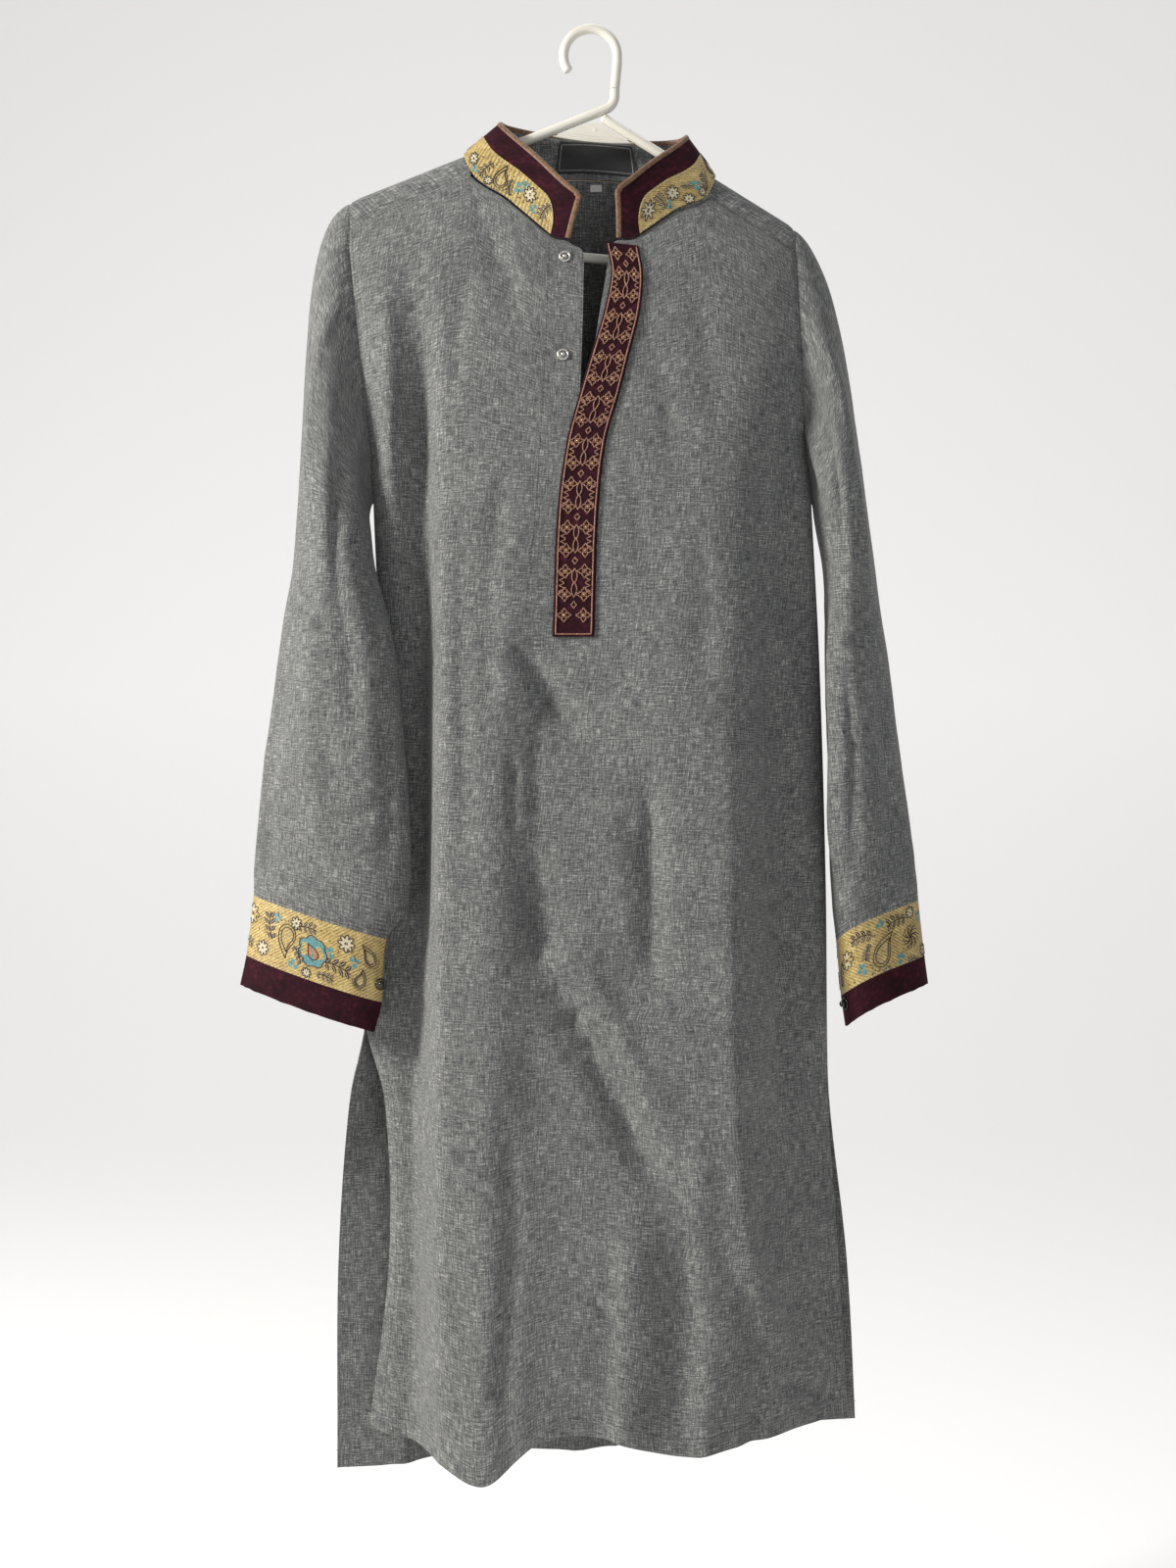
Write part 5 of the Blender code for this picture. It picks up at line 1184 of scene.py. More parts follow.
materials = dict(
    cloth=melangeLinen(), velvet=velvetMaterial("maroonVelvet", False),
    ribbedVelvet=velvetMaterial("ribbedMaroonVelvet", True), brocade=brocadeMaterial(),
    piping=threadMaterial("brownBinding", (0.085, 0.04, 0.018), (0.2, 0.1, 0.045), 500.0),
    bronze=threadMaterial("bronzeCord", (0.1, 0.035, 0.022), (0.34, 0.17, 0.1)),
    cream=threadMaterial("creamThread", (0.36, 0.3, 0.18), (0.62, 0.56, 0.4)),
    teal=threadMaterial("tealThread", (0.04, 0.13, 0.14), (0.12, 0.3, 0.3)),
    rust=threadMaterial("rustThread", (0.22, 0.08, 0.03), (0.45, 0.2, 0.08)),
    brown=threadMaterial("brownThread", (0.012, 0.005, 0.004), (0.04, 0.019, 0.014)),
    greyThread=threadMaterial("greyThread", (0.02, 0.02, 0.02), (0.06, 0.06, 0.058)),
    plastic=mouldedMaterial(), silver=plainMaterial("nickel", (0.5, 0.48, 0.45), 0.36, 1.0),
    recess=plainMaterial("snapRecess", (0.12, 0.115, 0.11), 0.4, 0.8),
    bead=plainMaterial("blackBead", (0.012, 0.012, 0.014), 0.12),
    gold=plainMaterial("goldBead", (0.65, 0.42, 0.12), 0.3, 0.9),
    label=threadMaterial("blackWoven", (0.004, 0.004, 0.005), (0.016, 0.016, 0.018), 1200.0),
    tab=threadMaterial("paleWoven", (0.5, 0.48, 0.44), (0.66, 0.64, 0.6)),
)
print("stage: materials ready")


def dress(piece, slot, *nodes):
    # what every finished piece needs: its body, its material slot, the solids it stands for
    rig.ride(piece, "root")
    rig.slot(piece, slot)
    for node in nodes:
        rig.replaces(piece, node)
    return piece


# Front and back

def spreadColumns(splits):
    places = [0.0]
    for i, steps in enumerate(splits):
        places += [i + (k + 1) / steps for k in range(steps)]
    return np.array(places)


panelRows = dict(rounds=12, chestPower=1.3, unsunk=8)


def panelGrid(panel, hem, columns, counts):
    # rows from the hem up: skirt below the side slits, body, chest above the underarms
    skirt, body, chest = counts
    hemZ = smoothThrough(range(len(hem)), hem, columns)
    top = np.full(len(columns), garment["chestTopZ"])
    for _ in range(panelRows["rounds"]):
        top = panel.topOf(panel.section(columns, top)[:, 0])
    heights = [mix(hemZ, garment["slitTopZ"], k / skirt) for k in range(skirt)]
    level = np.ones(len(columns))
    heights += [level * mix(garment["slitTopZ"], garment["underarmZ"], k / body)
                for k in range(body)]
    for k in range(chest + 1):
        share = 1 - (1 - k / chest) ** panelRows["chestPower"]
        heights.append(mix(garment["underarmZ"] * level, top, share))
    z = np.stack(heights)
    spread = np.broadcast_to(columns, z.shape)
    return panel.point(spread.ravel(), z.ravel()).reshape(*z.shape, 3)


def sunkNormals(panel, mids, chest):
    # the outward normals; then the seam edges sink along them
    normals = gridNormals(mids) * -panel.side
    sinkEdge(mids, normals, "top")
    for edge in ("left", "right"):
        sinkEdge(mids, normals, edge, chest + panelRows["unsunk"])
    return normals


# opening is the column of its left edge, and openingSteps the columns that it leaves out
frontBuild = dict(splits=(7, 12, 16, 14, 16, 3, 20, 14, 14, 12), counts=(96, 128, 74), corner=9.0,
                  cornerPower=8, opening=5, openingSteps=3, openingBelow=2.0)
frontColumns = spreadColumns(frontBuild["splits"])
frontMids = panelGrid(frontPanel, frontHem, frontColumns, frontBuild["counts"])
frontChest = sum(frontBuild["counts"][:2])
gap = int(np.argmin(abs(frontColumns - frontBuild["opening"])))
# round the upper corner of the left opening edge
corner = frontBuild["corner"]
cornerDrop = frontMids[-1:, gap, 2] - frontMids[:, :gap + 1, 2]
bite = corner - np.sqrt(np.maximum(corner ** 2 - np.maximum(corner - cornerDrop, 0) ** 2, 0))
nearEdge = np.clip(frontColumns[:gap + 1] - frontBuild["opening"] + 1, 0, 1)
frontMids[:, :gap + 1, 0] -= (np.where(cornerDrop < corner, bite, 0)
                              * nearEdge ** frontBuild["cornerPower"])
frontNormals = sunkNormals(frontPanel, frontMids, frontChest)
frontMissing = np.zeros((frontMids.shape[0] - 1, frontMids.shape[1] - 1), bool)
openRows = frontMids[:-1, gap, 2] > placket["openingBottomZ"] - frontBuild["openingBelow"]
frontMissing[np.ix_(openRows, range(gap, gap + frontBuild["openingSteps"]))] = True
frontPiece = dress(wallMesh("frontCloth", frontMids, frontNormals, garment["cloth"],
                            "cloth", missing=frontMissing), "cloth", "front")

backBuild = dict(splits=(15, 13, 15, 15, 13, 15), counts=(70, 92, 60))
backMids = panelGrid(backPanel, backHem, spreadColumns(backBuild["splits"]), backBuild["counts"])
backChest = sum(backBuild["counts"][:2])
backNormals = sunkNormals(backPanel, backMids, backChest)
backPiece = dress(wallMesh("backCloth", backMids, backNormals, garment["cloth"],
                           "cloth"), "cloth", "back")
print("stage: front and back")


# Shoulder yoke

def yokeColumn(armhole, sideX, share):
    column = []
    for j, (far, near) in enumerate(zip(yoke["armholeSteps"], yoke["neckSteps"])):
        step = mix(far, near, share)
        x = mix(armhole, sideX[j], share)
        here = np.array(x)
        if step < 0:
            depth = float(yokeDrop(here))
        else:
            depth = float(shoulderLine(here) - backTop(here))
        column.append((x, step * math.sqrt(depth)))
    return column


def neckSide(name):
    u = np.linspace(collarIndex[f"{name}_seam"], collarIndex[f"{name}_back"],
                    collar["seamSamples"])
    x, q = neckAt(u)
    order = np.argsort(q)
    return q[order], x[order]


def buildYoke():
    shoulders = []
    for name in ("left", "right"):
        q, x = neckSide(name)
        armhole = frontSections[0]["x"][0 if name == "left" else -1]
        corner = (x[-1], q[-1])
        depth = float(shoulderLine(np.array(corner[0])) - backTop(np.array(corner[0])))
        sideX = [float(np.interp(s * math.sqrt(yoke["frontDrop"] if s < 0 else depth), q, x))
                 for s in yoke["neckSteps"]]
        count = yoke["shoulderColumns"]
        columns = [yokeColumn(armhole, sideX, k / count) for k in range(count + 1)]
        columns[-1][yoke["cornerRow"]] = corner
        shoulders.append(columns)
    nape = []
    rows = len(yoke["neckSteps"])
    u = mix(collarIndex["left_back"], collarIndex["right_back"],
            np.arange(1, yoke["napeColumns"]) / yoke["napeColumns"])
    for x, q in zip(*neckAt(u)):
        low = math.sqrt(float(shoulderLine(np.array(x)) - backTop(np.array(x))))
        column = [(x, q)] * yoke["cornerRow"]
        column += [(x, mix(q, low, k / (rows - 1 - yoke["cornerRow"])))
                   for k in range(rows - yoke["cornerRow"])]
        nape.append(column)
    grid = np.array(shoulders[0] + nape + shoulders[1][::-1]).transpose(1, 0, 2)
    finer = yoke["finer"]
    fine = np.linspace(0, rows - 1, (rows - 1) * finer + 1)
    low = np.minimum(fine.astype(int), rows - 2)
    grid = mix(grid[low], grid[low + 1], (fine - low)[:, None, None])
    mids = ridgePoint(grid[..., 0].ravel(), grid[..., 1].ravel()).reshape(*grid.shape[:2], 3)
    missing = np.zeros((mids.shape[0] - 1, mids.shape[1] - 1), bool)
    missing[:yoke["cornerRow"] * finer,
            yoke["shoulderColumns"]:yoke["shoulderColumns"] + yoke["napeColumns"]] = True
    return mids, missing


yokeMids, yokeMissing = buildYoke()
yokeNormals = gridNormals(yokeMids)
for edge in ("top", "bottom", "left", "right"):
    sinkEdge(yokeMids, yokeNormals, edge)
yokePiece = dress(wallMesh("yokeCloth", yokeMids, yokeNormals, garment["cloth"],
                           "cloth", missing=yokeMissing), "cloth", "yoke")
print("stage: yoke")


# Sleeves and cuffs

def sleevePoint(table, z, phi):
    rows = table[::-1]
    knots = [row["z"] for row in rows]
    turn = 2 * math.pi * phi
    inner = (1 + np.cos(turn)) / 2
    out = smoothThrough(knots, [row["out"] for row in rows], z)
    inn = smoothThrough(knots, [row["inn"] for row in rows], z)
    sizes = smoothThrough(knots, [[row[k] for k in ("front", "back", "drop", "lean")]
                                  for row in rows], z)
    swing = np.sin(turn)
    ahead = np.maximum(swing, 0)
    x = mix(out[:, 0], inn[:, 0], inner) + sizes[:, 3] * ahead * ahead
    y = mix(out[:, 1], inn[:, 1], inner) - sizes[:, 0] * ahead ** sleeve["peak"]
    y = y + sizes[:, 1] * np.maximum(-swing, 0)
    return np.stack([x, y, z - sizes[:, 2] * np.cos(turn)], axis=1)


def armholeLoop(column):
    # up the front, over the yoke, down the back; and the index of its highest point
    rise = list(frontMids[frontChest:, column])
    over = list(yokeMids[1:-1, column])
    fall = list(backMids[backChest + 1:, column])[::-1]
    return np.array(rise + over + fall), len(rise) + yoke["ridgeRow"] * yoke["finer"] - 1


def evenLoop(loop, top, count):
    # even steps by length from the underarm up the front, then down the back
    closed = np.concatenate([loop, loop[:1]])
    lengths = runningLength(closed)
    phi = np.arange(count) / count
    want = np.where(phi <= 0.5, 2 * phi * lengths[top],
                    mix(lengths[top], lengths[-1], 2 * phi - 1))
    return phi, np.stack([np.interp(want, lengths, closed[:, k]) for k in range(3)], axis=1)


def sleeveGrid(name, table, column, side):
    phi, start = evenLoop(*armholeLoop(column), sleeve["columns"])
    first = table[0]["z"]
    level = np.ones(len(phi))
    end = sleevePoint(table, first * level, phi)
    down = unit(sleevePoint(table, (first - sleeve["leanOver"]) * level, phi) - end)
    over = np.sin(math.pi * phi) ** 2
    slope = math.tan(hanger["armSlope"] + side * hanger["tilt"])
    out = unit(np.stack([side * level, -sleeve["forward"] * np.sin(2 * math.pi * phi),
                         -mix(sleeve["underarmFall"], slope, over)], axis=1))
    reach = lengthOf(end - start)
    p1 = start + out * reach * sleeve["reach"]
    p2 = end - down * reach * sleeve["hang"]
    grid = []
    for k in range(sleeve["headRows"]):
        t = k / sleeve["headRows"]
        grid.append(start * (1 - t) ** 3 + p1 * 3 * t * (1 - t) ** 2
                    + p2 * 3 * t * t * (1 - t) + end * t ** 3)
    cuffZ = table[-3]["z"]
    for k in range(sleeve["rows"] + 1):
        grid.append(sleevePoint(table, mix(first, cuffZ, k / sleeve["rows"]) * level, phi))
    grid = np.stack(grid)
    normals = gridNormals(grid, wrap=True) * -side
    z = grid[..., 2].ravel()
    around = (np.broadcast_to(phi, grid.shape[:2]) * sleeve["round"]).ravel()
    creases = [dict(crease, path=[(p * sleeve["round"], h) for p, h in crease["path"]])
               for crease in sleeveCreases[name]]
    relief = creaseField(creases, around, z)
    turn = around * 2 * math.pi / sleeve["round"]
    aside = sleeveCrumple["radius"] * np.cos(turn) + side * sleeveCrumple["apart"]
    along = z + sleeveCrumple["shift"] * np.sin(turn)
    for k, layer in enumerate(crumple):
        part = softNoise(aside, along, layer["across"], layer["down"], sleeveCrumple["seed"] + k)
        relief -= layer["height"] * sleeveCrumple["share"] * part
    rows = np.arange(len(grid))
    fade = (softStep(rows / sleeve["fadeRows"])
            * softStep((len(grid) - 1 - rows) / sleeve["fadeRows"]))
    relief = relief.reshape(grid.shape[:2]) * fade[:, None]
    grid = grid - normals * relief[..., None]
    sinkEdge(grid, normals, "bottom")
    return phi, grid, gridNormals(grid, wrap=True) * -side


sleeveNodes = dict(left=("sleeve_left", "sleeve_left_middle", "sleeve_left_lower"),
                   right=("sleeve_right",))


def buildSleeve(name, table, column, side):
    phi, mids, normals = sleeveGrid(name, table, column, side)
    piece = dress(wallMesh(f"sleeveCloth_{name}", mids, normals, garment["cloth"],
                           "cloth", wrap=True), "cloth", *sleeveNodes[name])
    return piece, mids, normals


def cuffGrid(table, top, bottom, rows, ragged, side):
    # rings open at the inner fold, drawn back by half the slit
    turns = np.linspace(0, 1, cuff["columns"])
    cell = cuff["raggedCell"]
    grid = []
    for k in range(rows + 1):
        z = np.full(len(turns), mix(top, bottom, k / rows))
        z -= (ragged * (k / rows) ** cuff["raggedPower"]
              * softNoise(turns * cuff["raggedAlong"], z * 0, cell, cell, cuff["seed"]))
        ring = sleevePoint(table, z, turns)
        ring[0] += unit(ring[1] - ring[0]) * cuff["slit"] / 2
        ring[-1] += unit(ring[-2] - ring[-1]) * cuff["slit"] / 2
        grid.append(ring)
    grid = np.stack(grid)
    return grid, gridNormals(grid) * -side


def cuffPatch(mids, normals):
    face = mids + normals * garment["cloth"] / 2
    heights = lengthOf(np.diff(face, axis=0))[..., 0].sum(axis=0)
    return Patch(face, normals, runningLength(face[len(face) // 2]), heights)


sleevePieces = {}
sleeveGrids = {}
cuffPieces = {}
cuffPatches = {}
for name, table, column, side in (("left", sleeveLeft, 0, -1), ("right", sleeveRight, -1, 1)):
    sleevePieces[name], *sleeveGrids[name] = buildSleeve(name, table, column, side)
    cuffTop = table[-3]["z"]
    seam = table[-2]["z"]
    brocadeGrid = cuffGrid(table, cuffTop, seam, cuff["brocadeRows"], 0.0, side)
    velvetGrid = cuffGrid(table, seam, table[-1]["z"], cuff["velvetRows"], cuff["ragged"], side)
    cuffPieces[name] = (
        dress(wallMesh(f"cuffBrocade_{name}", *brocadeGrid, cuff["cloth"],
                       "brocade"), "brocade", f"cuff_brocade_{name}"),
        dress(wallMesh(f"cuffVelvet_{name}", *velvetGrid, cuff["cloth"],
                       "ribbedVelvet"), "velvet", f"cuff_velvet_{name}"))
    cuffPatches[name] = cuffPatch(*brocadeGrid)
print("stage: sleeves and cuffs")


# Collar

def collarAt(u, v):
    x, q = neckAt(u)
    low = ridgePoint(x, q)
    high = curveThrough([row["top"] for row in collarRows], u)
    low = low + unit(high - low) * collar["lift"]
    out = np.stack([low[:, 0], low[:, 1] * 2, np.zeros(len(u))], axis=1)
    out = np.where(lengthOf(out) > 1, unit(out), np.array([0.0, 1.0, 0.0]))
    return mix(low, high, v[:, None]) + out * (4 * v * (1 - v) * collar["bow"])[:, None]


def collarFace(places, share):
    # points at (place along, share of height) grids
    u = np.interp(places, collarLengths, collarSamples)
    return collarAt(u.ravel(), share.ravel()).reshape(*share.shape, 3)


collarSamples = np.linspace(0, len(collarRows) - 1, collar["samples"])
collarLengths = runningLength(collarAt(collarSamples, np.full(collar["samples"], 0.5)))
collarLength = float(collarLengths[-1])
collarPlaces = np.linspace(0, collarLength, collar["columns"])
collarMids = collarFace(*np.meshgrid(collarPlaces, np.linspace(0, 1, collar["rows"])))
collarNormals = -gridNormals(collarMids)
collarHeights = lengthOf(collarMids[-1] - collarMids[0])[:, 0]
collarTrim = piping["inset"] + collar["trimClear"]


def collarHeight(s):
    return np.interp(s, collarPlaces, collarHeights)


def collarPatch(offset):
    return Patch(collarMids + collarNormals * offset, collarNormals, collarPlaces, collarHeights)


def collarSpots(offset, s, h):
    # points off the collar's middle and the way out there
    spots = collarPatch(offset).at(s, h, 0.0)
    return spots, unit(collarPatch(offset + 1.0).at(s, h, 0.0) - spots)


def collarBand(name, band, end, topOf, material, crowded=False):
    # a wall over part of the collar; topOf gives millimetres above the neck seam
    share = np.linspace(0, 1, band["columns"])
    if crowded:
        # more columns where the ends are rounded
        share = 0.5 - 0.5 * np.cos(math.pi * share)
    s = mix(end, collarLength - end, share)
    top = topOf(s)
    rows = [collarSpots(band["offset"], s, top * (k / band["rows"]))
            for k in range(band["rows"] + 1)]
    mids, facing = (np.stack(grid) for grid in zip(*rows))
    return wallMesh(name, mids, facing, band["thickness"], material)


def standTop(s):
    return collarHeight(s) - collarTrim


def brocadeHeight(s):
    edge = np.minimum(s, collarLength - s) - collar["brocadeEnd"]
    share = np.clip(edge / collar["brocadeCorner"], 0, 1)
    rounded = mix(collar["brocadeEndShare"], 1.0, np.sqrt(1 - (1 - share) ** 2))
    return collar["brocadeShare"] * rounded * collarHeight(s)


standPiece = dress(collarBand("collarStandCloth", collarBands["stand"], collarTrim, standTop,
                              "cloth"), "cloth", "collar_stand")
velvetPiece = dress(collarBand("collarVelvet", collarBands["velvet"], collarTrim, standTop,
                               "velvet"), "velvet", "collar_velvet")
brocadePiece = dress(collarBand("collarBrocade", collarBands["brocade"], collar["brocadeEnd"],
                                brocadeHeight, "brocade", crowded=True),
                     "brocade", "collar_brocade")
collarFacePatch = collarPatch(collar["face"])


def pipingPath():
    # up the left end, along the top and down the right end, with round corners
    inset = piping["inset"]
    r = piping["corner"]
    end = collarLength - inset
    leftTop = float(collarHeight(inset)) - inset - r
    rightTop = float(collarHeight(end)) - inset - r
    turns = np.linspace(0, math.pi / 2, piping["cornerSteps"])[1:-1]
    places = [(inset, h) for h in np.linspace(piping["foot"], leftTop, piping["endSteps"])]
    places += [(inset + r * (1 - math.cos(t)), leftTop + r * math.sin(t)) for t in turns]
    places += [(s, float(collarHeight(s)) - inset)
               for s in np.linspace(inset + r, end - r, piping["topSteps"])]
    places += [(end - r + r * math.sin(t), rightTop + r * math.cos(t)) for t in turns]
    places += [(end, h) for h in np.linspace(rightTop, piping["foot"], piping["endSteps"])]
    return np.array(places)


def buildPiping():
    path = pipingPath()
    centres, facing = collarSpots(piping["offset"], path[:, 0], path[:, 1])
    along = unit(np.gradient(centres, axis=0))
    facing = unit(facing - along * (facing * along).sum(axis=1, keepdims=True))
    across = np.cross(along, facing)
    # a folded binding is squarer than an oval
    power = 2 / piping["square"]
    rings = []
    for turn in fullTurn(piping["sides"]):
        a = math.copysign(abs(math.cos(turn)) ** power, math.cos(turn)) * piping["width"] / 2
        b = math.copysign(abs(math.sin(turn)) ** power, math.sin(turn)) * piping["thickness"] / 2
        rings.append(centres + across * a + facing * b)
    return rodMesh("collarBinding", np.stack(rings, axis=1), "piping")


dress(buildPiping(), "piping", "collar_piping")
print("stage: collar")


# Placket strip over the opening

def buildPlacket():
    across = placket["across"]
    down = np.linspace(0, 1, placket["rows"] + 1)
    z = mix(placketRows[-1]["z"], placketRows[0]["z"], down)
    heights = [row["z"] for row in placketRows]
    left = smoothThrough(heights, [row["left"] for row in placketRows], z)
    right = smoothThrough(heights, [row["right"] for row in placketRows], z)
    share = np.linspace(0, 1, across + 1)
    x = mix(left[:, None], right[:, None], share[None, :])
    slant = placket["slant"] * share[None, :] * ((1 - down) ** placket["slantPower"])[:, None]
    spots, facing = frontPanel.onSurface(x.ravel(), (z[:, None] - slant).ravel())
    spots = spots.reshape(*x.shape, 3)
    facing = facing.reshape(*x.shape, 3)
    base = garment["cloth"] / 2 + placket["clear"]
    crown = placket["crown"] * (1 - (2 * share - 1) ** placket["crownPower"])
    outer = spots + facing * (base + placket["thickness"] - placket["crown"] + crown)[None, :, None]
    inner = spots + facing * base
    sideRound = []
    for edge, beside in ((0, 1), (-1, -3)):
        away = unit(spots[:, edge] - spots[:, beside])
        sideRound.append([spots[:, edge] + facing[:, edge] * (base + placket["thickness"] * h)
                          + away * placket["edgeRound"] * math.sin(math.pi * h)
                          for h in placket["edgeHeights"]])
    ring = [outer[:, k] for k in range(across + 1)] + sideRound[1][::-1]
    ring += [inner[:, k] for k in range(across, -1, -2)] + sideRound[0]
    piece = rodMesh("placketVelvet", np.stack(ring, axis=1), "velvet")
    widths = lengthOf(outer[:, -1] - outer[:, 0])[:, 0]
    return piece, Patch(outer.transpose(1, 0, 2), facing.transpose(1, 0, 2),
                        runningLength(outer[:, across // 2]), widths)


placketPiece, placketPatch = buildPlacket()
dress(placketPiece, "embroidered_velvet", "placket")
placketLength = float(placketPatch.places[-1])
# Lobed rings are (points, radius, (height, lobes) of each wave); feet keep off the lower end
embroidery = dict(star=(72, 3.9, (1.15, 4), (0.55, 12)), starFoot=8.0, eye=(12, 1.45, (0.25, 4)),
                  bud=(16, 1.7, (0.45, 4)), budStretch=1.3, budFoot=6.0, lift=0.25,
                  ovals=(-5.4, 5.4), ovalReach=6.2, ovalHalf=2.0, ovalLift=0.3, ovalFoot=12.0,
                  ovalSteps=19, loopReach=6.6, loopPitch=4.4, loopSide=12.0, loopDepth=3.6,
                  loopSteps=37, curlTurn=1.6 * math.pi, curlDown=(7.6, 1.1),
                  curlSide=(10.6, 1.3), curlSteps=14, bead=0.75, beadLift=0.5)


def onPlacket(down, across, lift=embroidery["lift"]):
    # across runs from -half to half, scaled to the strip's width there
    width = np.interp(down, placketPatch.places, placketPatch.widths)
    return placketPatch.at(down, (across / placket["half"] + 1) / 2 * width, lift)


def lobedRing(count, radius, *waves):
    turn = fullTurn(count)
    reach = radius + sum(height * np.cos(lobes * turn) for height, lobes in waves)
    return reach * np.cos(turn), reach * np.sin(turn)


def embroideryLines():
    # (line, closed) pairs and the beads' places
    lines = []
    beads = []
    starX, starZ = lobedRing(*embroidery["star"])
    eyeX, eyeZ = lobedRing(*embroidery["eye"])
    budX, budZ = lobedRing(*embroidery["bud"])
    reach = embroidery["loopReach"]
    ovalSweep = np.linspace(-1, 1, embroidery["ovalSteps"])
    loopSweep = np.linspace(-reach, reach, embroidery["loopSteps"])
    waves = np.abs(np.sin(math.pi * (loopSweep + reach) / embroidery["loopPitch"]))
    loops = embroidery["loopSide"] - embroidery["loopDepth"] * waves
    curl = np.linspace(0, embroidery["curlTurn"], embroidery["curlSteps"])
    rows = int((placketLength - placket["start"]) / placket["period"]) + 1
    for n in range(rows):
        top = placket["start"] + n * placket["period"]
        for place in (top, top + placket["starDown"]):
            if place > placketLength - embroidery["starFoot"]:
                continue
            for middle in (-placket["starApart"], placket["starApart"]):
                lines.append((onPlacket(place + starZ, middle + starX), True))
                lines.append((onPlacket(place + eyeZ, middle + eyeX), True))
                beads.append(onPlacket(np.array([place]), np.array([middle]),
                                       embroidery["beadLift"])[0])
        middle = top + placket["starDown"] / 2
        if middle < placketLength - embroidery["budFoot"]:
            lines.append((onPlacket(middle + embroidery["budStretch"] * budZ, budX), True))
        middle = top + (placket["period"] + placket["starDown"]) / 2
        if middle > placketLength - embroidery["ovalFoot"]:
            continue
        for half in embroidery["ovals"]:
            for sign in (-1, 1):
                side = sign * embroidery["ovalHalf"] * np.cos(ovalSweep * math.pi / 2)
                lines.append((onPlacket(middle + half + embroidery["ovalReach"] * ovalSweep, side,
                                        embroidery["ovalLift"]), False))
        for sign in (-1, 1):
            lines.append((onPlacket(middle + loopSweep, sign * loops), False))
            for end in (-1, 1):
                far, size = embroidery["curlDown"]
                down = middle + end * (far + size * np.cos(curl))
                far, size = embroidery["curlSide"]
                lines.append((onPlacket(down, sign * (far + size * np.sin(curl))), False))
    return lines, beads


def borderLines():
    inset = placket["borderIn"]
    foot = placketLength - inset
    down = np.linspace(placket["borderTop"], foot, placket["borderSteps"])
    edge = placket["half"] - inset
    left = onPlacket(down, np.full(len(down), -edge))
    right = onPlacket(down[::-1], np.full(len(down), edge))
    across = np.linspace(-edge, edge, placket["footSteps"])[1:-1]
    return [(np.concatenate([left, onPlacket(np.full(len(across), foot), across), right]), False)]


cordLines, cordBeads = embroideryLines()
placketTrims = [
    dress(grown("placketCords", cordLines, "cord", "bronze",
                Radius=placket["cord"] * metres, Sides=6), "embroidered_velvet"),
    dress(grown("placketBorder", borderLines(), "cord", "bronze",
                Radius=placket["border"] * metres, Sides=8), "embroidered_velvet"),
    dress(grown("placketBeads", [np.array(cordBeads)], "bead", "gold",
                Radius=embroidery["bead"] * metres), "embroidered_velvet"),
]
print("stage: placket")


# Woven motifs, drawn by formulas in a unit frame: strokes and filled shapes by colour

def paisley(bend=0.5):
    turn = fullTurn(48)
    a = 0.78 * np.sin(turn) * np.abs(np.sin(turn / 2)) ** 1.2
    b = -np.cos(turn)
    return a + bend * np.maximum(-b, 0) ** 2, b


def paisleyMotif():
    line = "brown"
    a, b = paisley()
    motif = [(line, "stroke", a, b), (line, "stroke", a * 0.72 + 0.02, b * 0.72 + 0.1)]
    for level in np.linspace(-0.25, 0.7, 5):
        half = 0.44 * math.sqrt(max(1 - level * level, 0)) * (0.62 + 0.4 * level)
        middle = 0.5 * max(-level, 0) ** 2
        motif.append(("cream", "open", np.array([middle - half, middle + half]),
                      np.array([level - 0.06, level + 0.06])))
    for turn in np.linspace(0.5, 2.7, 9):
        motif.append((line, "dot", np.array([0.92 * math.cos(turn)]),
                      np.array([0.25 + 0.95 * math.sin(turn)])))
    return motif


def flowerMotif(sharp=0.7):
    petals = 8
    line = "brown"
    turn = fullTurn(petals * 9)
    radius = 0.42 + 0.58 * np.abs(np.cos(petals * turn / 2)) ** sharp
    motif = [("cream", "fill", radius * np.cos(turn) * 0.9, radius * np.sin(turn) * 0.9),
             (line, "stroke", radius * np.cos(turn), radius * np.sin(turn))]
    ring = fullTurn(12)
    motif.append((line, "fill", 0.2 * np.cos(ring), 0.2 * np.sin(ring)))
    return motif


def pinwheelMotif():
    arms = 7
    motif = []
    sweep = np.linspace(0, 1, 9)
    for k in range(arms):
        turn = 2 * math.pi * k / arms
        for bend in (0.9, 1.35):
            angle = turn + bend * sweep
            motif.append(("brown", "open", sweep * np.cos(angle), sweep * np.sin(angle)))
        motif.append(("cream", "dot", np.array([0.78 * math.cos(turn + 0.95)]),
                      np.array([0.78 * math.sin(turn + 0.95)])))
    return motif


def sprigMotif():
    colour = "teal"
    motif = []
    turn = fullTurn(18)
    for heading, size in ((0.0, 0.42), (2.2, 0.36), (-2.2, 0.36)):
        x = 0.55 * math.sin(heading)
        y = 0.55 * math.cos(heading)
        motif.append((colour, "fill", x + size * np.cos(turn), y + size * np.sin(turn)))
    stem = np.linspace(0, 1, 8)
    motif.append((colour, "open", 0.3 * stem * stem, -0.2 - 0.8 * stem))
    return motif


def cloudMotif():
    turn = fullTurn(72)
    radius = 0.82 + 0.14 * np.abs(np.cos(3.5 * turn))
    motif = [("teal", "fill", radius * np.cos(turn), radius * np.sin(turn)),
             ("brown", "stroke", 1.06 * radius * np.cos(turn), 1.06 * radius * np.sin(turn))]
    a, b = paisley(0.3)
    motif.append(("rust", "fill", a * 0.6, b * 0.5))
    motif.append(("brown", "stroke", a * 0.6, b * 0.5))
    return motif


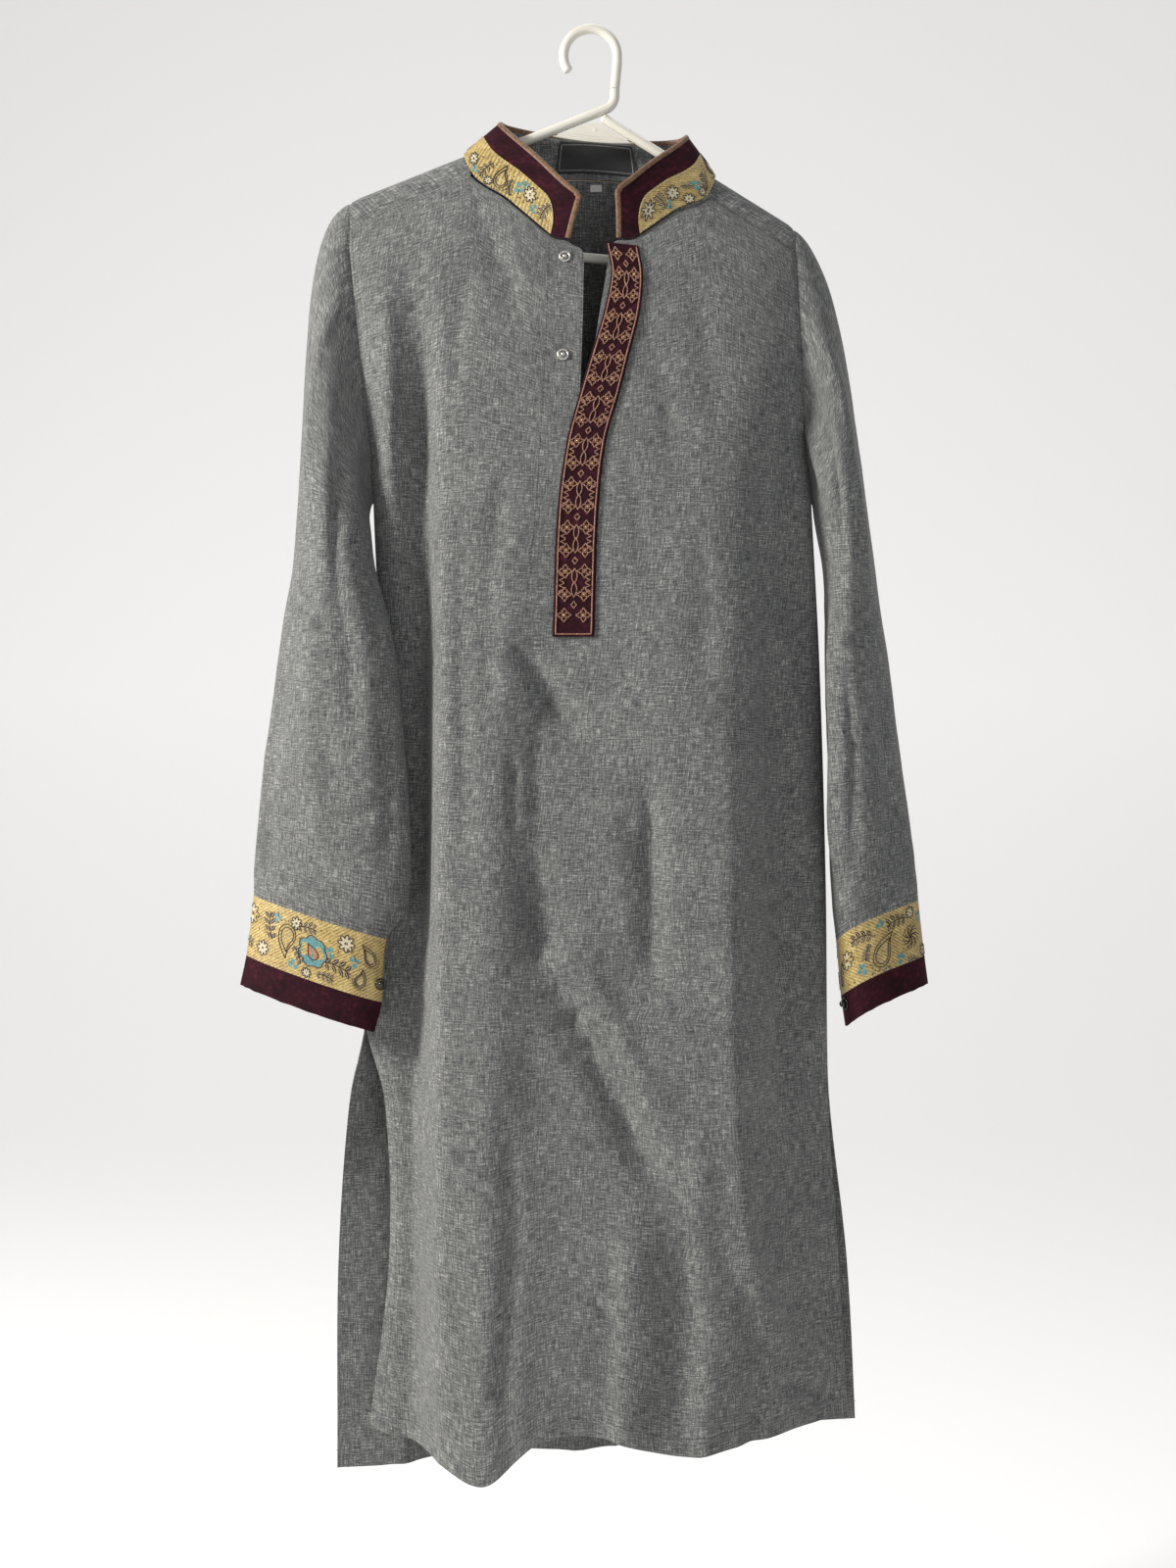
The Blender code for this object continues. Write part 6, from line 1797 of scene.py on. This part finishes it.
def leafSpray():
    leaves = 4
    colour = "brown"
    stem = np.linspace(-1, 1, 14)
    motif = [(colour, "open", 0.18 * stem * stem, stem)]
    sweep = np.linspace(0, 1, 8)
    bulge = 0.15 * np.sin(math.pi * sweep)
    for k in range(leaves):
        base = -0.9 + 1.45 * k / (leaves - 1)
        size = 0.78 * (1 - 0.3 * abs(base))
        start = 0.18 * base * base
        for sign in (-1, 1):
            heading = np.array([sign * 0.78, 0.62])
            aside = np.array([-heading[1], heading[0]])
            rim = [heading * size * t + aside * w for t, w in zip(sweep, bulge)]
            rim += [heading * size * t - aside * w for t, w in zip(sweep[::-1], bulge[::-1])][1:-1]
            rim = np.array(rim)
            motif.append((colour, "fill", start + rim[:, 0], base + rim[:, 1]))
            spine = np.outer(np.linspace(0.15, 0.8, 4) * size, heading)
            motif.append(("cream", "open", start + spine[:, 0], base + spine[:, 1]))
    return motif


def dotMotif():
    return [("brown", "dot", np.zeros(1), np.zeros(1))]


motifMakers = dict(paisley=paisleyMotif, flower=flowerMotif, pinwheel=pinwheelMotif,
                   sprig=sprigMotif, cloud=cloudMotif, leaf=leafSpray, dot=dotMotif,
                   spider=lambda: flowerMotif(sharp=2.2))
motifLift = dict(dot=0.1, fill=0.1, stroke=0.16)
strokeRadius = dict(brown=0.42, cream=0.2, teal=0.5)
dotRadius = 0.55
motifScale = dict(sprig=1.6, leaf=1.2, paisley=1.15, flower=1.15, spider=1.15, cloud=1.2)


def patchNormal(patch, point):
    flat = patch.points.reshape(-1, 3)
    nearest = int(np.argmin(((flat - point) ** 2).sum(axis=1)))
    return patch.normals.reshape(-1, 3)[nearest]


def placeMotifs(prefix, patch, layout):
    # layout rows: motif, place along, place up or down, half size, turn in degrees
    strokes = {}
    fills = {}
    dots = {}
    for kind, s0, h0, size, degrees in layout:
        size *= motifScale.get(kind, 1.0)
        turn = math.radians(degrees)
        for colour, form, a, b in motifMakers[kind]():
            s = s0 + size * (a * math.cos(turn) - b * math.sin(turn))
            h = h0 + size * (a * math.sin(turn) + b * math.cos(turn))
            if form == "dot":
                dots.setdefault(colour, []).append(patch.at(s, h, motifLift["dot"])[0])
            elif form == "fill":
                middle = patch.at(s.mean(keepdims=True), h.mean(keepdims=True), motifLift["fill"])
                fills.setdefault(colour, []).append((middle[0], patch.at(s, h, motifLift["fill"])))
            else:
                line = patch.at(s, h, motifLift["stroke"])
                strokes.setdefault(colour, []).append((line, form == "stroke"))
    made = []
    for colour in sorted(strokes):
        made.append(dress(grown(f"{prefix}_{colour}Lines", strokes[colour], "cord", colour,
                                Radius=strokeRadius[colour] * metres, Sides=4), "brocade"))
    for colour in sorted(dots):
        made.append(dress(grown(f"{prefix}_{colour}Dots", [np.array(dots[colour])], "bead",
                                colour, Radius=dotRadius * metres), "brocade"))
    for colour in sorted(fills):
        points = []
        faces = []
        for middle, outline in fills[colour]:
            first = len(points)
            points += [middle, *outline]
            count = len(outline)
            fan = [(first, first + 1 + k, first + 1 + (k + 1) % count) for k in range(count)]
            facing = np.cross(outline[0] - middle, outline[count // 4] - middle)
            if facing @ patchNormal(patch, middle) < 0:
                fan = [face[::-1] for face in fan]
            faces += fan
        made.append(dress(newObject(f"{prefix}_{colour}Shapes", points, faces, colour),
                          "brocade"))
    return made


collarLayout = [
    ("leaf", 27, 12, 6.5, 200), ("sprig", 36, 7, 2.6, 20), ("flower", 43, 14, 5.2, 0),
    ("dot", 36, 16, 1, 0), ("dot", 50, 6, 1, 0), ("sprig", 54, 12, 3.0, -30),
    ("leaf", 61, 8, 5.5, 160), ("paisley", 72, 12, 8.6, 150), ("dot", 62, 17, 1, 0),
    ("leaf", 87, 11, 7.0, 190), ("dot", 96, 16, 1, 0), ("flower", 101, 8, 4.2, 0),
    ("dot", 31, 4, 1, 0), ("dot", 41, 20, 1, 0), ("sprig", 50, 18, 2.4, 60), ("dot", 57, 4, 1, 0),
    ("flower", 79, 4, 3.4, 0), ("dot", 81, 19, 1, 0), ("sprig", 94, 4, 2.4, 90),
]
rightLayout = [
    ("spider", 27, 12, 6.6, 10), ("dot", 36, 5, 1, 0), ("leaf", 40, 12, 6.2, 20),
    ("flower", 51, 13, 5.4, 20), ("dot", 45, 4, 1, 0), ("dot", 60, 16, 1, 0),
    ("flower", 62, 4, 4.4, 0), ("sprig", 73, 13, 3.4, 40), ("leaf", 83, 10, 6.4, -10),
    ("dot", 78, 4, 1, 0), ("paisley", 97, 12, 8.0, 200), ("dot", 34, 18, 1, 0),
    ("sprig", 45, 6, 2.4, -40), ("dot", 56, 5, 1, 0), ("leaf", 66, 15, 4.6, 70),
    ("dot", 68, 4, 1, 0), ("flower", 76, 5, 3.6, 0), ("dot", 88, 19, 1, 0),
]
collarLayout += [(kind, collarLength - s, h, size, -turn)
                 for kind, s, h, size, turn in rightLayout]
for k, s in enumerate(np.arange(122, collarLength - 110, 24.0)):
    collarLayout.append((("paisley", "flower", "leaf", "pinwheel")[k % 4], float(s), 11.5, 6.6,
                         (170, 0, 200, 0)[k % 4]))
    collarLayout.append(("sprig", float(s) + 12, 7 + 8 * (k % 2), 2.6, 35.0 * k))
cuffLayouts = dict(
    left=[("paisley", 14, 16, 7.5, 20), ("paisley", 20, 37, 6.5, -30), ("sprig", 26, 25, 3.2, 0),
          ("flower", 34, 12, 6.2, 0), ("leaf", 40, 32, 9.5, 80), ("dot", 30, 38, 1, 0),
          ("cloud", 62, 27, 10.5, 20), ("dot", 48, 14, 1, 0), ("leaf", 68, 9, 7.0, 95),
          ("paisley", 87, 25, 11.5, 160), ("sprig", 78, 42, 3.0, 60), ("leaf", 103, 18, 9.0, 190),
          ("flower", 108, 38, 5.4, 0), ("dot", 98, 41, 1, 0), ("leaf", 50, 43, 6.0, 85),
          ("sprig", 47, 23, 3.2, 30), ("flower", 78, 9, 4.6, 0), ("leaf", 74, 33, 6.0, 30),
          ("sprig", 96, 10, 2.8, -20), ("dot", 84, 43, 1, 0), ("dot", 40, 20, 1, 0),
          ("dot", 56, 8, 1, 0), ("flower", 66, 45, 3.6, 0), ("dot", 114, 24, 1, 0)],
    right=[("pinwheel", 88, 26, 9.5, 0), ("paisley", 58, 27, 12.0, 20), ("leaf", 74, 9, 8.5, 85),
           ("leaf", 40, 10, 8.0, 95), ("sprig", 74, 40, 3.4, 20), ("sprig", 38, 36, 3.4, -40),
           ("flower", 24, 22, 6.6, 10), ("dot", 46, 43, 1, 0), ("dot", 30, 42, 1, 0),
           ("sprig", 101, 12, 3.0, 0), ("flower", 103, 40, 4.6, 0), ("leaf", 12, 30, 8.0, 10),
           ("leaf", 88, 44, 5.6, 95), ("flower", 90, 7, 4.4, 0), ("sprig", 58, 7, 2.6, 70),
           ("flower", 60, 46, 3.6, 0), ("dot", 70, 20, 1, 0), ("dot", 78, 33, 1, 0),
           ("leaf", 43, 24, 5.4, 20), ("dot", 52, 14, 1, 0), ("dot", 98, 26, 1, 0)],
)
for name in cuffLayouts:
    for k, s in enumerate(np.arange(124, 232, 18.0)):
        cuffLayouts[name].append((("flower", "paisley", "pinwheel")[k % 3], float(s),
                                  14 + 20 * (k % 2), 7.4, 40.0 * k))
        cuffLayouts[name].append((("leaf", "sprig")[k % 2], float(s) + 3, 36 - 22 * (k % 2),
                                  (7.0, 3.2)[k % 2], 80.0))
collarTrims = placeMotifs("collarMotif", collarFacePatch, collarLayout)
cuffTrims = {name: placeMotifs(f"cuffMotif_{name}", cuffPatches[name], cuffLayouts[name])
             for name in cuffLayouts}
print("stage: woven motifs")


# Stitch lines

clothLift = garment["cloth"] / 2 + stitches["lift"]


def stitchRow(name, lines, material, slot, thread):
    size = (thread["length"] / 2 * metres, thread["radius"] * metres, thread["radius"] * metres)
    return dress(grown(name, lines, "stitch", material, Pitch=thread["pitch"] * metres,
                       Size=size), slot)


def clothRow(name, lines):
    return stitchRow(name, lines, "greyThread", "cloth", stitches)


def trimRow(name, lines):
    return stitchRow(name, lines, "cream", "brocade", trimStitches)


def hemStitches(mids, normals, skirt):
    # along the hem and up both side slits
    lines = [insetLine(mids, normals, "bottom", stitches["hem"], clothLift)]
    for edge in ("left", "right"):
        lines.append(insetLine(mids[:skirt], normals[:skirt], edge, stitches["edge"], clothLift))
    return lines


def frontStitches():
    lines = hemStitches(frontMids, frontNormals, frontBuild["counts"][0])
    top = np.nonzero(openRows)[0][0]
    for inset in stitches["opening"]:
        lines.append(insetLine(frontMids[top:, :gap + 1], frontNormals[top:, :gap + 1], "right",
                               inset, clothLift)[:-stitches["openingShort"]])
    chest = frontChest + stitches["armholeFrom"]
    for edge in ("left", "right"):
        lines.append(insetLine(frontMids[chest:], frontNormals[chest:], edge,
                               stitches["armhole"], clothLift)[:-stitches["armholeShort"]])
    for first, last in stitches["shoulders"]:
        lines.append(insetLine(frontMids[:, first:last], frontNormals[:, first:last], "top",
                               stitches["seam"], clothLift))
    return lines


def backStitches():
    lines = hemStitches(backMids, backNormals, backBuild["counts"][0])
    return lines + [insetLine(backMids, backNormals, "top", stitches["seam"], clothLift)]


frontThread = clothRow("frontStitches", frontStitches())
backThread = clothRow("backStitches", backStitches())
sleeveThread = {}
for name, (mids, normals) in sleeveGrids.items():
    sleeveThread[name] = clothRow(f"sleeveStitches_{name}", [
        (insetLine(mids, normals, "top", inset, clothLift), True) for inset in stitches["sleeve"]])
trimLift = trimStitches["lift"]
outlineEnd = collar["brocadeEnd"] + trimStitches["collarEnd"]
outlineS = np.linspace(outlineEnd, collarLength - outlineEnd, trimStitches["collarSteps"])
outlineH = np.maximum(brocadeHeight(outlineS) - trimStitches["collarTop"],
                      trimStitches["collarLeast"])
outlineLow = np.full(len(outlineS), trimStitches["collarLow"])
collarThread = trimRow("collarEdgeStitches", [
    collarFacePatch.at(outlineS, outlineH, trimLift),
    collarFacePatch.at(outlineS, outlineLow, trimLift)])
cuffThread = {}
for name, patch in cuffPatches.items():
    end = trimStitches["cuffEnd"]
    along = np.linspace(end, patch.places[-1] - end, trimStitches["cuffSteps"])
    width = np.interp(along, patch.places, patch.widths)
    inset = np.full(len(along), trimStitches["inset"])
    cuffThread[name] = trimRow(f"cuffEdgeStitches_{name}", [
        patch.at(along, inset, trimLift), patch.at(along, width - inset, trimLift)])
print("stage: stitches")


# Press snaps, cuff beads and loops

# (in from the edge, height) over the ring, then (radius, height) over the post
snapRim = ((0.3, 0.0), (0.0, 0.35), (0.05, 0.8), (0.45, 1.2), (1.0, 1.32), (1.6, 1.15), (2.0, 0.7),
           (2.3, 0.5))
snapPost = ((2.0, 0.5), (1.75, 0.6), (1.6, 1.1), (1.7, 1.6), (1.45, 2.0), (0.9, 2.2), (0, 2.25))
snapBuild = dict(clear=0.3, sides=48, recessIn=2.1, recessLow=0.3, recessHigh=0.55,
                 recessSides=40)
loopBuild = dict(clear=0.45, stretch=0.35, steps=44, sides=10)


def buildSnap(name, x, z):
    spot, facing = frontPanel.onSurface(x, z)
    base = spot[0] + facing[0] * (garment["cloth"] / 2 + snapBuild["clear"])
    r = fastenings["snapRadius"]
    profile = [(0, 0), *((r - inside, height) for inside, height in snapRim), *snapPost]
    ring = turnedMesh(f"snapMetal_{name}", base, facing[0], profile, snapBuild["sides"],
                      "silver")
    inner = r - snapBuild["recessIn"]
    low = snapBuild["recessLow"]
    high = snapBuild["recessHigh"]
    recess = turnedMesh(f"snapRecess_{name}", base, facing[0],
                        ((0, low), (inner, low), (inner, high), (0, high)),
                        snapBuild["recessSides"], "recess")
    return dress(ring, "silver", f"snap_{name}"), dress(recess, "silver")


def buildFastening(name, table):
    bead = fastenings["beads"][name]
    z = bead["z"]
    phi = bead["phi"]
    aside = fastenings["around"]
    down = fastenings["down"]
    at = sleevePoint(table, np.array([z, z, z, z - down, z + down]),
                     np.array([phi, phi + aside, phi - aside, phi, phi]))
    middle = sleevePoint(table, np.array([z, z]), np.array([0.0, 0.5])).mean(axis=0)
    around = unit(at[1] - at[2])
    out = unit(np.cross(around, at[3] - at[4]))
    if out @ (at[0] - middle) < 0:
        out = -out
    r = fastenings["beadRadius"]
    steps = fastenings["beadSteps"]
    arcs = [(r * math.sin(math.pi * k / steps), r - r * math.cos(math.pi * k / steps))
            for k in range(steps + 1)]
    ball = turnedMesh(f"cuffBead_{name}", at[0] + out * (garment["cloth"] / 2 + bead["lift"]), out,
                      arcs, fastenings["beadSides"], "bead")
    cord = fastenings["loopCord"]
    centre = at[0] + out * (garment["cloth"] / 2 + loopBuild["clear"] + cord)
    turns = fullTurn(loopBuild["steps"])
    stretch = 1.0 + loopBuild["stretch"] * np.maximum(0.0, -np.cos(turns)) ** 2
    line = centre + (spokes(turns, around, np.cross(out, around))
                     * (fastenings["loopRadius"] * stretch)[:, None])
    loop = grown(f"cuffCordLoop_{name}", [(line, True)], "cord", "bead",
                 Radius=cord * metres, Sides=loopBuild["sides"])
    return dress(ball, "bead", f"cuff_button_{name}"), dress(loop, "bead", f"cuff_loop_{name}")


snapPieces = []
for name, x, z in fastenings["snaps"]:
    snapPieces += buildSnap(name, x, z)
beadPieces = {}
for name, table in (("left", sleeveLeft), ("right", sleeveRight)):
    beadPieces[name] = buildFastening(name, table)
print("stage: fastenings")


# Neck label and size tab, both bare

def zigzagLine(corners):
    # a zigzag thread along the lines between the corners
    line = []
    for a, b in zip(corners, corners[1:]):
        length = np.linalg.norm(b - a)
        count = int(length / label["zigzag"])
        across = np.array([-(b - a)[1], (b - a)[0]]) / length * label["zigzagHalf"]
        line += [mix(a, b, k / count) + across * (-1) ** k for k in range(count)]
    return np.array(line)


def buildLabel():
    inner = slice(*(int(collar["columns"] * share) for share in label["within"]))
    xs = collarMids[collar["rows"] // 2, inner, 0]
    start, end = (collarPlaces[inner][int(np.argmin(abs(xs - label[side])))]
                  for side in ("left", "right"))
    s = np.linspace(start, end, label["columns"])
    offset = -(garment["cloth"] / 2 + label["clear"] + label["thickness"] / 2)
    patch = collarPatch(offset)
    heights = collarHeight(s)
    mids = np.stack([patch.at(s, heights * v, 0.0)
                     for v in np.linspace(label["bottom"], label["top"], label["rows"])])
    piece = wallMesh("neckLabelWoven", mids, gridNormals(mids), label["thickness"],
                     "label")
    low = label["bottom"] * heights.mean() + label["border"]
    high = label["top"] * heights.mean() - label["border"]
    left = start + label["border"]
    right = end - label["border"]
    line = zigzagLine(np.array([(left, low), (right, low), (right, high), (left, high),
                                (left, low)]))
    face = collarPatch(offset - label["thickness"] / 2)
    border = face.at(line[:, 0], line[:, 1], -label["threadLift"])
    thread = grown("neckLabelBorder", [(border, True)], "cord", "tab",
                   Radius=label["thread"] * metres, Sides=4)
    return dress(piece, "label", "neck_label"), dress(thread, "label")


def buildTab():
    xs, zs = np.meshgrid(np.linspace(sizeTab["left"], sizeTab["right"], sizeTab["columns"]),
                         np.linspace(sizeTab["bottom"], sizeTab["top"], sizeTab["rows"]))
    flat = xs.ravel()
    q = np.sqrt(shoulderLine(flat) - zs.ravel())
    spots = ridgePoint(flat, q).reshape(*xs.shape, 3)
    facing = gridNormals(spots)
    offset = garment["cloth"] / 2 + sizeTab["clear"] + sizeTab["thickness"] / 2
    facing = facing * -np.sign(facing[..., 1:2])
    return dress(wallMesh("sizeTabWoven", spots + facing * offset, facing, sizeTab["thickness"],
                          "tab"), "tab", "size_tab")


labelPiece, labelThread = buildLabel()
tabPiece = buildTab()
print("stage: label and tab")


# Hanger

def hangerPlace(x, z):
    tilt = hanger["tilt"]
    return np.array([hanger["apexX"] + x * math.cos(tilt) + z * math.sin(tilt),
                     hanger["apexZ"] - x * math.sin(tilt) + z * math.cos(tilt)])


def arcPoints(centre, radius, start, end, steps):
    turns = np.linspace(start, end, steps + 1)
    return [np.array([centre[0] + radius * math.cos(t), centre[1] + radius * math.sin(t)])
            for t in turns]


def tubeMesh(name, path):
    # a round tube along (x, z) points, with a dome on its last end
    path = np.array(path)
    radius = hanger["tubeRadius"]
    centres = np.stack([path[:, 0], np.zeros(len(path)), path[:, 1]], axis=1)
    into = unit(np.diff(centres, axis=0, prepend=2 * centres[:1] - centres[1:2]))
    away = unit(np.diff(centres, axis=0, append=2 * centres[-1:] - centres[-2:-1]))
    along = unit(into + away)
    stretch = 1 / np.maximum((along * into).sum(axis=1, keepdims=True), hanger["leastBend"])
    across = np.cross(along, [0.0, 1.0, 0.0])
    turns = fullTurn(hanger["sides"])
    rings = [centre + spokes(turns, side * radius * wide, np.array([0.0, radius, 0.0]))
             for centre, side, wide in zip(centres, across, stretch)]
    for k in range(1, hanger["domeSteps"]):
        turn = math.pi / 2 * k / hanger["domeSteps"]
        centre = centres[-1] + along[-1] * radius * hanger["domeShare"] * math.sin(turn)
        size = radius * math.cos(turn)
        rings.append(centre + spokes(turns, across[-1] * size, np.array([0.0, size, 0.0])))
    return rodMesh(name, rings, "plastic")


def buildHanger():
    slope = hanger["armSlope"]
    down = np.array([math.cos(slope), -math.sin(slope)])
    endX, endZ = hanger["armLength"] * down
    r = hanger["turnRadius"]
    centreX = endX - r * math.sin(slope)
    centreZ = endZ - r * math.cos(slope)
    quarter = math.pi / 2
    left = arcPoints((-centreX, centreZ), r, quarter + slope, 3 * quarter, hanger["bendSteps"])
    right = arcPoints((centreX, centreZ), r, -quarter, quarter - slope, hanger["bendSteps"])
    loop = [np.array([-endX / 2, endZ / 2])] + left + right
    loop += [np.array([endX / 2, endZ / 2]), hanger["armEndGap"] * down]
    apex = hangerPlace(0, 0)
    climb = unit(apex - hangerPlace(-endX / 2, endZ / 2))
    # the arm runs on past the apex and bends up into the stem
    bend = apex + climb * ((hanger["stemX"] - apex[0]) / climb[0])
    stem = [np.array([hanger["stemX"], hanger["jointZ"]])]
    a = np.array([hanger["stemX"], bend[1] + hanger["bendRoom"]])
    b = bend - climb * hanger["bendRoom"]
    for k in range(1, hanger["stemSteps"]):
        share = k / hanger["stemSteps"]
        stem.append(a * (1 - share) ** 2 + bend * 2 * share * (1 - share) + b * share ** 2)
    framePiece = tubeMesh("hangerTube", stem + [apex] + [hangerPlace(*p) for p in loop])
    outwards, height = hanger["throat"]
    rise = curveThrough([(hanger["stemX"], hanger["jointZ"] + hanger["jointGap"]),
                         (hanger["stemX"] + outwards, height),
                         (hanger["hookRadius"], hanger["throatTopZ"])],
                        np.linspace(0, 2, hanger["throatSteps"]))
    turn = arcPoints((0.0, hanger["tubeRadius"] - hanger["hookRadius"]), hanger["hookRadius"], 0.0,
                     hanger["hookTurn"], hanger["hookSteps"])
    hook = tubeMesh("hangerHookTube", list(rise) + turn)
    return dress(framePiece, "plastic", "hanger_frame"), dress(hook, "plastic", "hanger_hook")


def buildWeb():
    # plate with three raised ridges along its lower edge and a moulding dot
    under = (hanger["tubeRadius"] + web["gap"]) / math.cos(hanger["armSlope"])
    half = web["halfWidth"]
    x = np.linspace(-half, half, web["columns"] + 1)
    low = -web["depth"] + web["rise"] * (x / half) ** 2
    fall = math.tan(hanger["armSlope"]) * np.sqrt(x * x + web["apexRound"] ** 2)
    high = np.maximum(-fall - under - web["topClear"], low + web["leastHeight"])
    z = mix(low[None, :], high[None, :], np.linspace(0, 1, web["rows"] + 1)[:, None])
    up = z - low[None, :]
    ridge = sum(web["ridgeHeight"] * np.exp(-((up - place) / web["ridgeWidth"]) ** 2)
                for place in web["ridges"])
    dotX, dotZ = web["dot"]
    away = ((x[None, :] - dotX) ** 2 + (z - dotZ) ** 2) / web["dotArea"]
    dot = web["dotHeight"] * np.exp(-away ** 2)
    px, pz = hangerPlace(np.broadcast_to(x, z.shape), z)
    flat = np.zeros_like(z)
    # the normals carry the half thickness at each point, so the wall's own is 2
    facing = np.stack([flat, -web["thickness"] / 2 - ridge - dot, flat], axis=2)
    piece = wallMesh("hangerWebPlate", np.stack([px, flat, pz], axis=2), facing, 2.0,
                     "plastic")
    return dress(piece, "plastic", "hanger_web")


hangerTube, _ = buildHanger()
buildWeb()
print("stage: hanger")


# Which pieces are cloth, and how each is cut and held

def cutSheet(piece, cut, held, restsOn, trims=()):
    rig.sheet(piece, flat=flatCuts[cut]["flat"], held=held, rests_on=restsOn,
             area=flatCuts[cut]["area"], with_pieces=list(trims))


cutSheet(yokePiece, "yoke", "draped", [hangerTube])
cutSheet(frontPiece, "front", "hung", [yokePiece], [frontThread] + snapPieces)
cutSheet(backPiece, "back", "hung", [yokePiece], [backThread])
for name in ("left", "right"):
    cutSheet(sleevePieces[name], "sleeve", "hung", [yokePiece], [sleeveThread[name]])
    brocadeCuff, velvetCuff = cuffPieces[name]
    cutSheet(brocadeCuff, "brocadeCuff", "hung", [sleevePieces[name]],
             cuffTrims[name] + [cuffThread[name]] + list(beadPieces[name]))
    cutSheet(velvetCuff, "velvetCuff", "hung", [brocadeCuff])
cutSheet(standPiece, "stand", "folded", [yokePiece])
cutSheet(velvetPiece, "collarVelvet", "folded", [standPiece])
cutSheet(brocadePiece, "collarBrocade", "folded", [velvetPiece], collarTrims + [collarThread])
cutSheet(placketPiece, "placket", "laid", [frontPiece], placketTrims)
cutSheet(labelPiece, "label", "hung", [standPiece], [labelThread])
cutSheet(tabPiece, "tab", "hung", [yokePiece])
print("stage: sheets declared")


# Floor, light and camera

def buildStage():
    r = stage["bend"]
    profile = [(stage["near"], stage["floorZ"]), (stage["far"] - r, stage["floorZ"])]
    for k in range(1, stage["bendSteps"] + 1):
        turn = math.pi / 2 * k / stage["bendSteps"]
        profile.append((stage["far"] - r + r * math.sin(turn),
                        stage["floorZ"] + r * (1 - math.cos(turn))))
    profile.append((stage["far"], stage["top"]))
    wide = stage["halfWidth"]
    points = []
    for y, z in profile:
        points += [(-wide, y, z), (wide, y, z)]
    faces = [(2 * k, 2 * k + 1, 2 * k + 3, 2 * k + 2) for k in range(len(profile) - 1)]
    materials["floor"] = newMaterial("paleFloor", stage["colour"], 0.9, {
        "Emission Color": (*stage["colour"], 1), "Emission Strength": stage["glow"]})[0]
    piece = newObject("studioFloor", points, faces, "floor")
    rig.stage(piece)


def buildLights():
    aim = Vector(lightAim) * metres
    for entry in lights:
        lamp = bpy.data.lights.new(entry["name"], "AREA")
        lamp.energy = entry["power"]
        lamp.size = entry["size"] * metres
        lamp.color = entry["colour"]
        made = bpy.data.objects.new(entry["name"], lamp)
        made.location = Vector(entry["place"]) * metres
        made.rotation_euler = (aim - made.location).to_track_quat("-Z", "Y").to_euler()
        bpy.context.collection.objects.link(made)
    sky = bpy.data.worlds.new("studioSky")
    sky.use_nodes = True
    background = sky.node_tree.nodes["Background"]
    background.inputs["Color"].default_value = (*world["colour"], 1)
    background.inputs["Strength"].default_value = world["strength"]
    bpy.context.scene.world = sky
    bpy.context.scene.view_settings.view_transform = "Standard"


def buildCamera():
    lens = bpy.data.cameras.new("photoCamera")
    lens.lens = camera["lens"]
    lens.sensor_width = camera["sensor"]
    lens.sensor_fit = "AUTO"
    lens.clip_start, lens.clip_end = camera["clip"]
    made = bpy.data.objects.new("photoCamera", lens)
    made.location = Vector(camera["place"]) * metres
    made.rotation_euler = (math.pi / 2, 0, 0)
    bpy.context.collection.objects.link(made)
    bpy.context.scene.camera = made


buildStage()
buildLights()
buildCamera()
print("stage: floor, light and camera")

with open("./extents.json", "w") as report:
    sizes = dict(cad=[list(corner) for corner in cadBounds],
                 scene=[list(corner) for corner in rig.bounds()])
    json.dump(sizes, report)
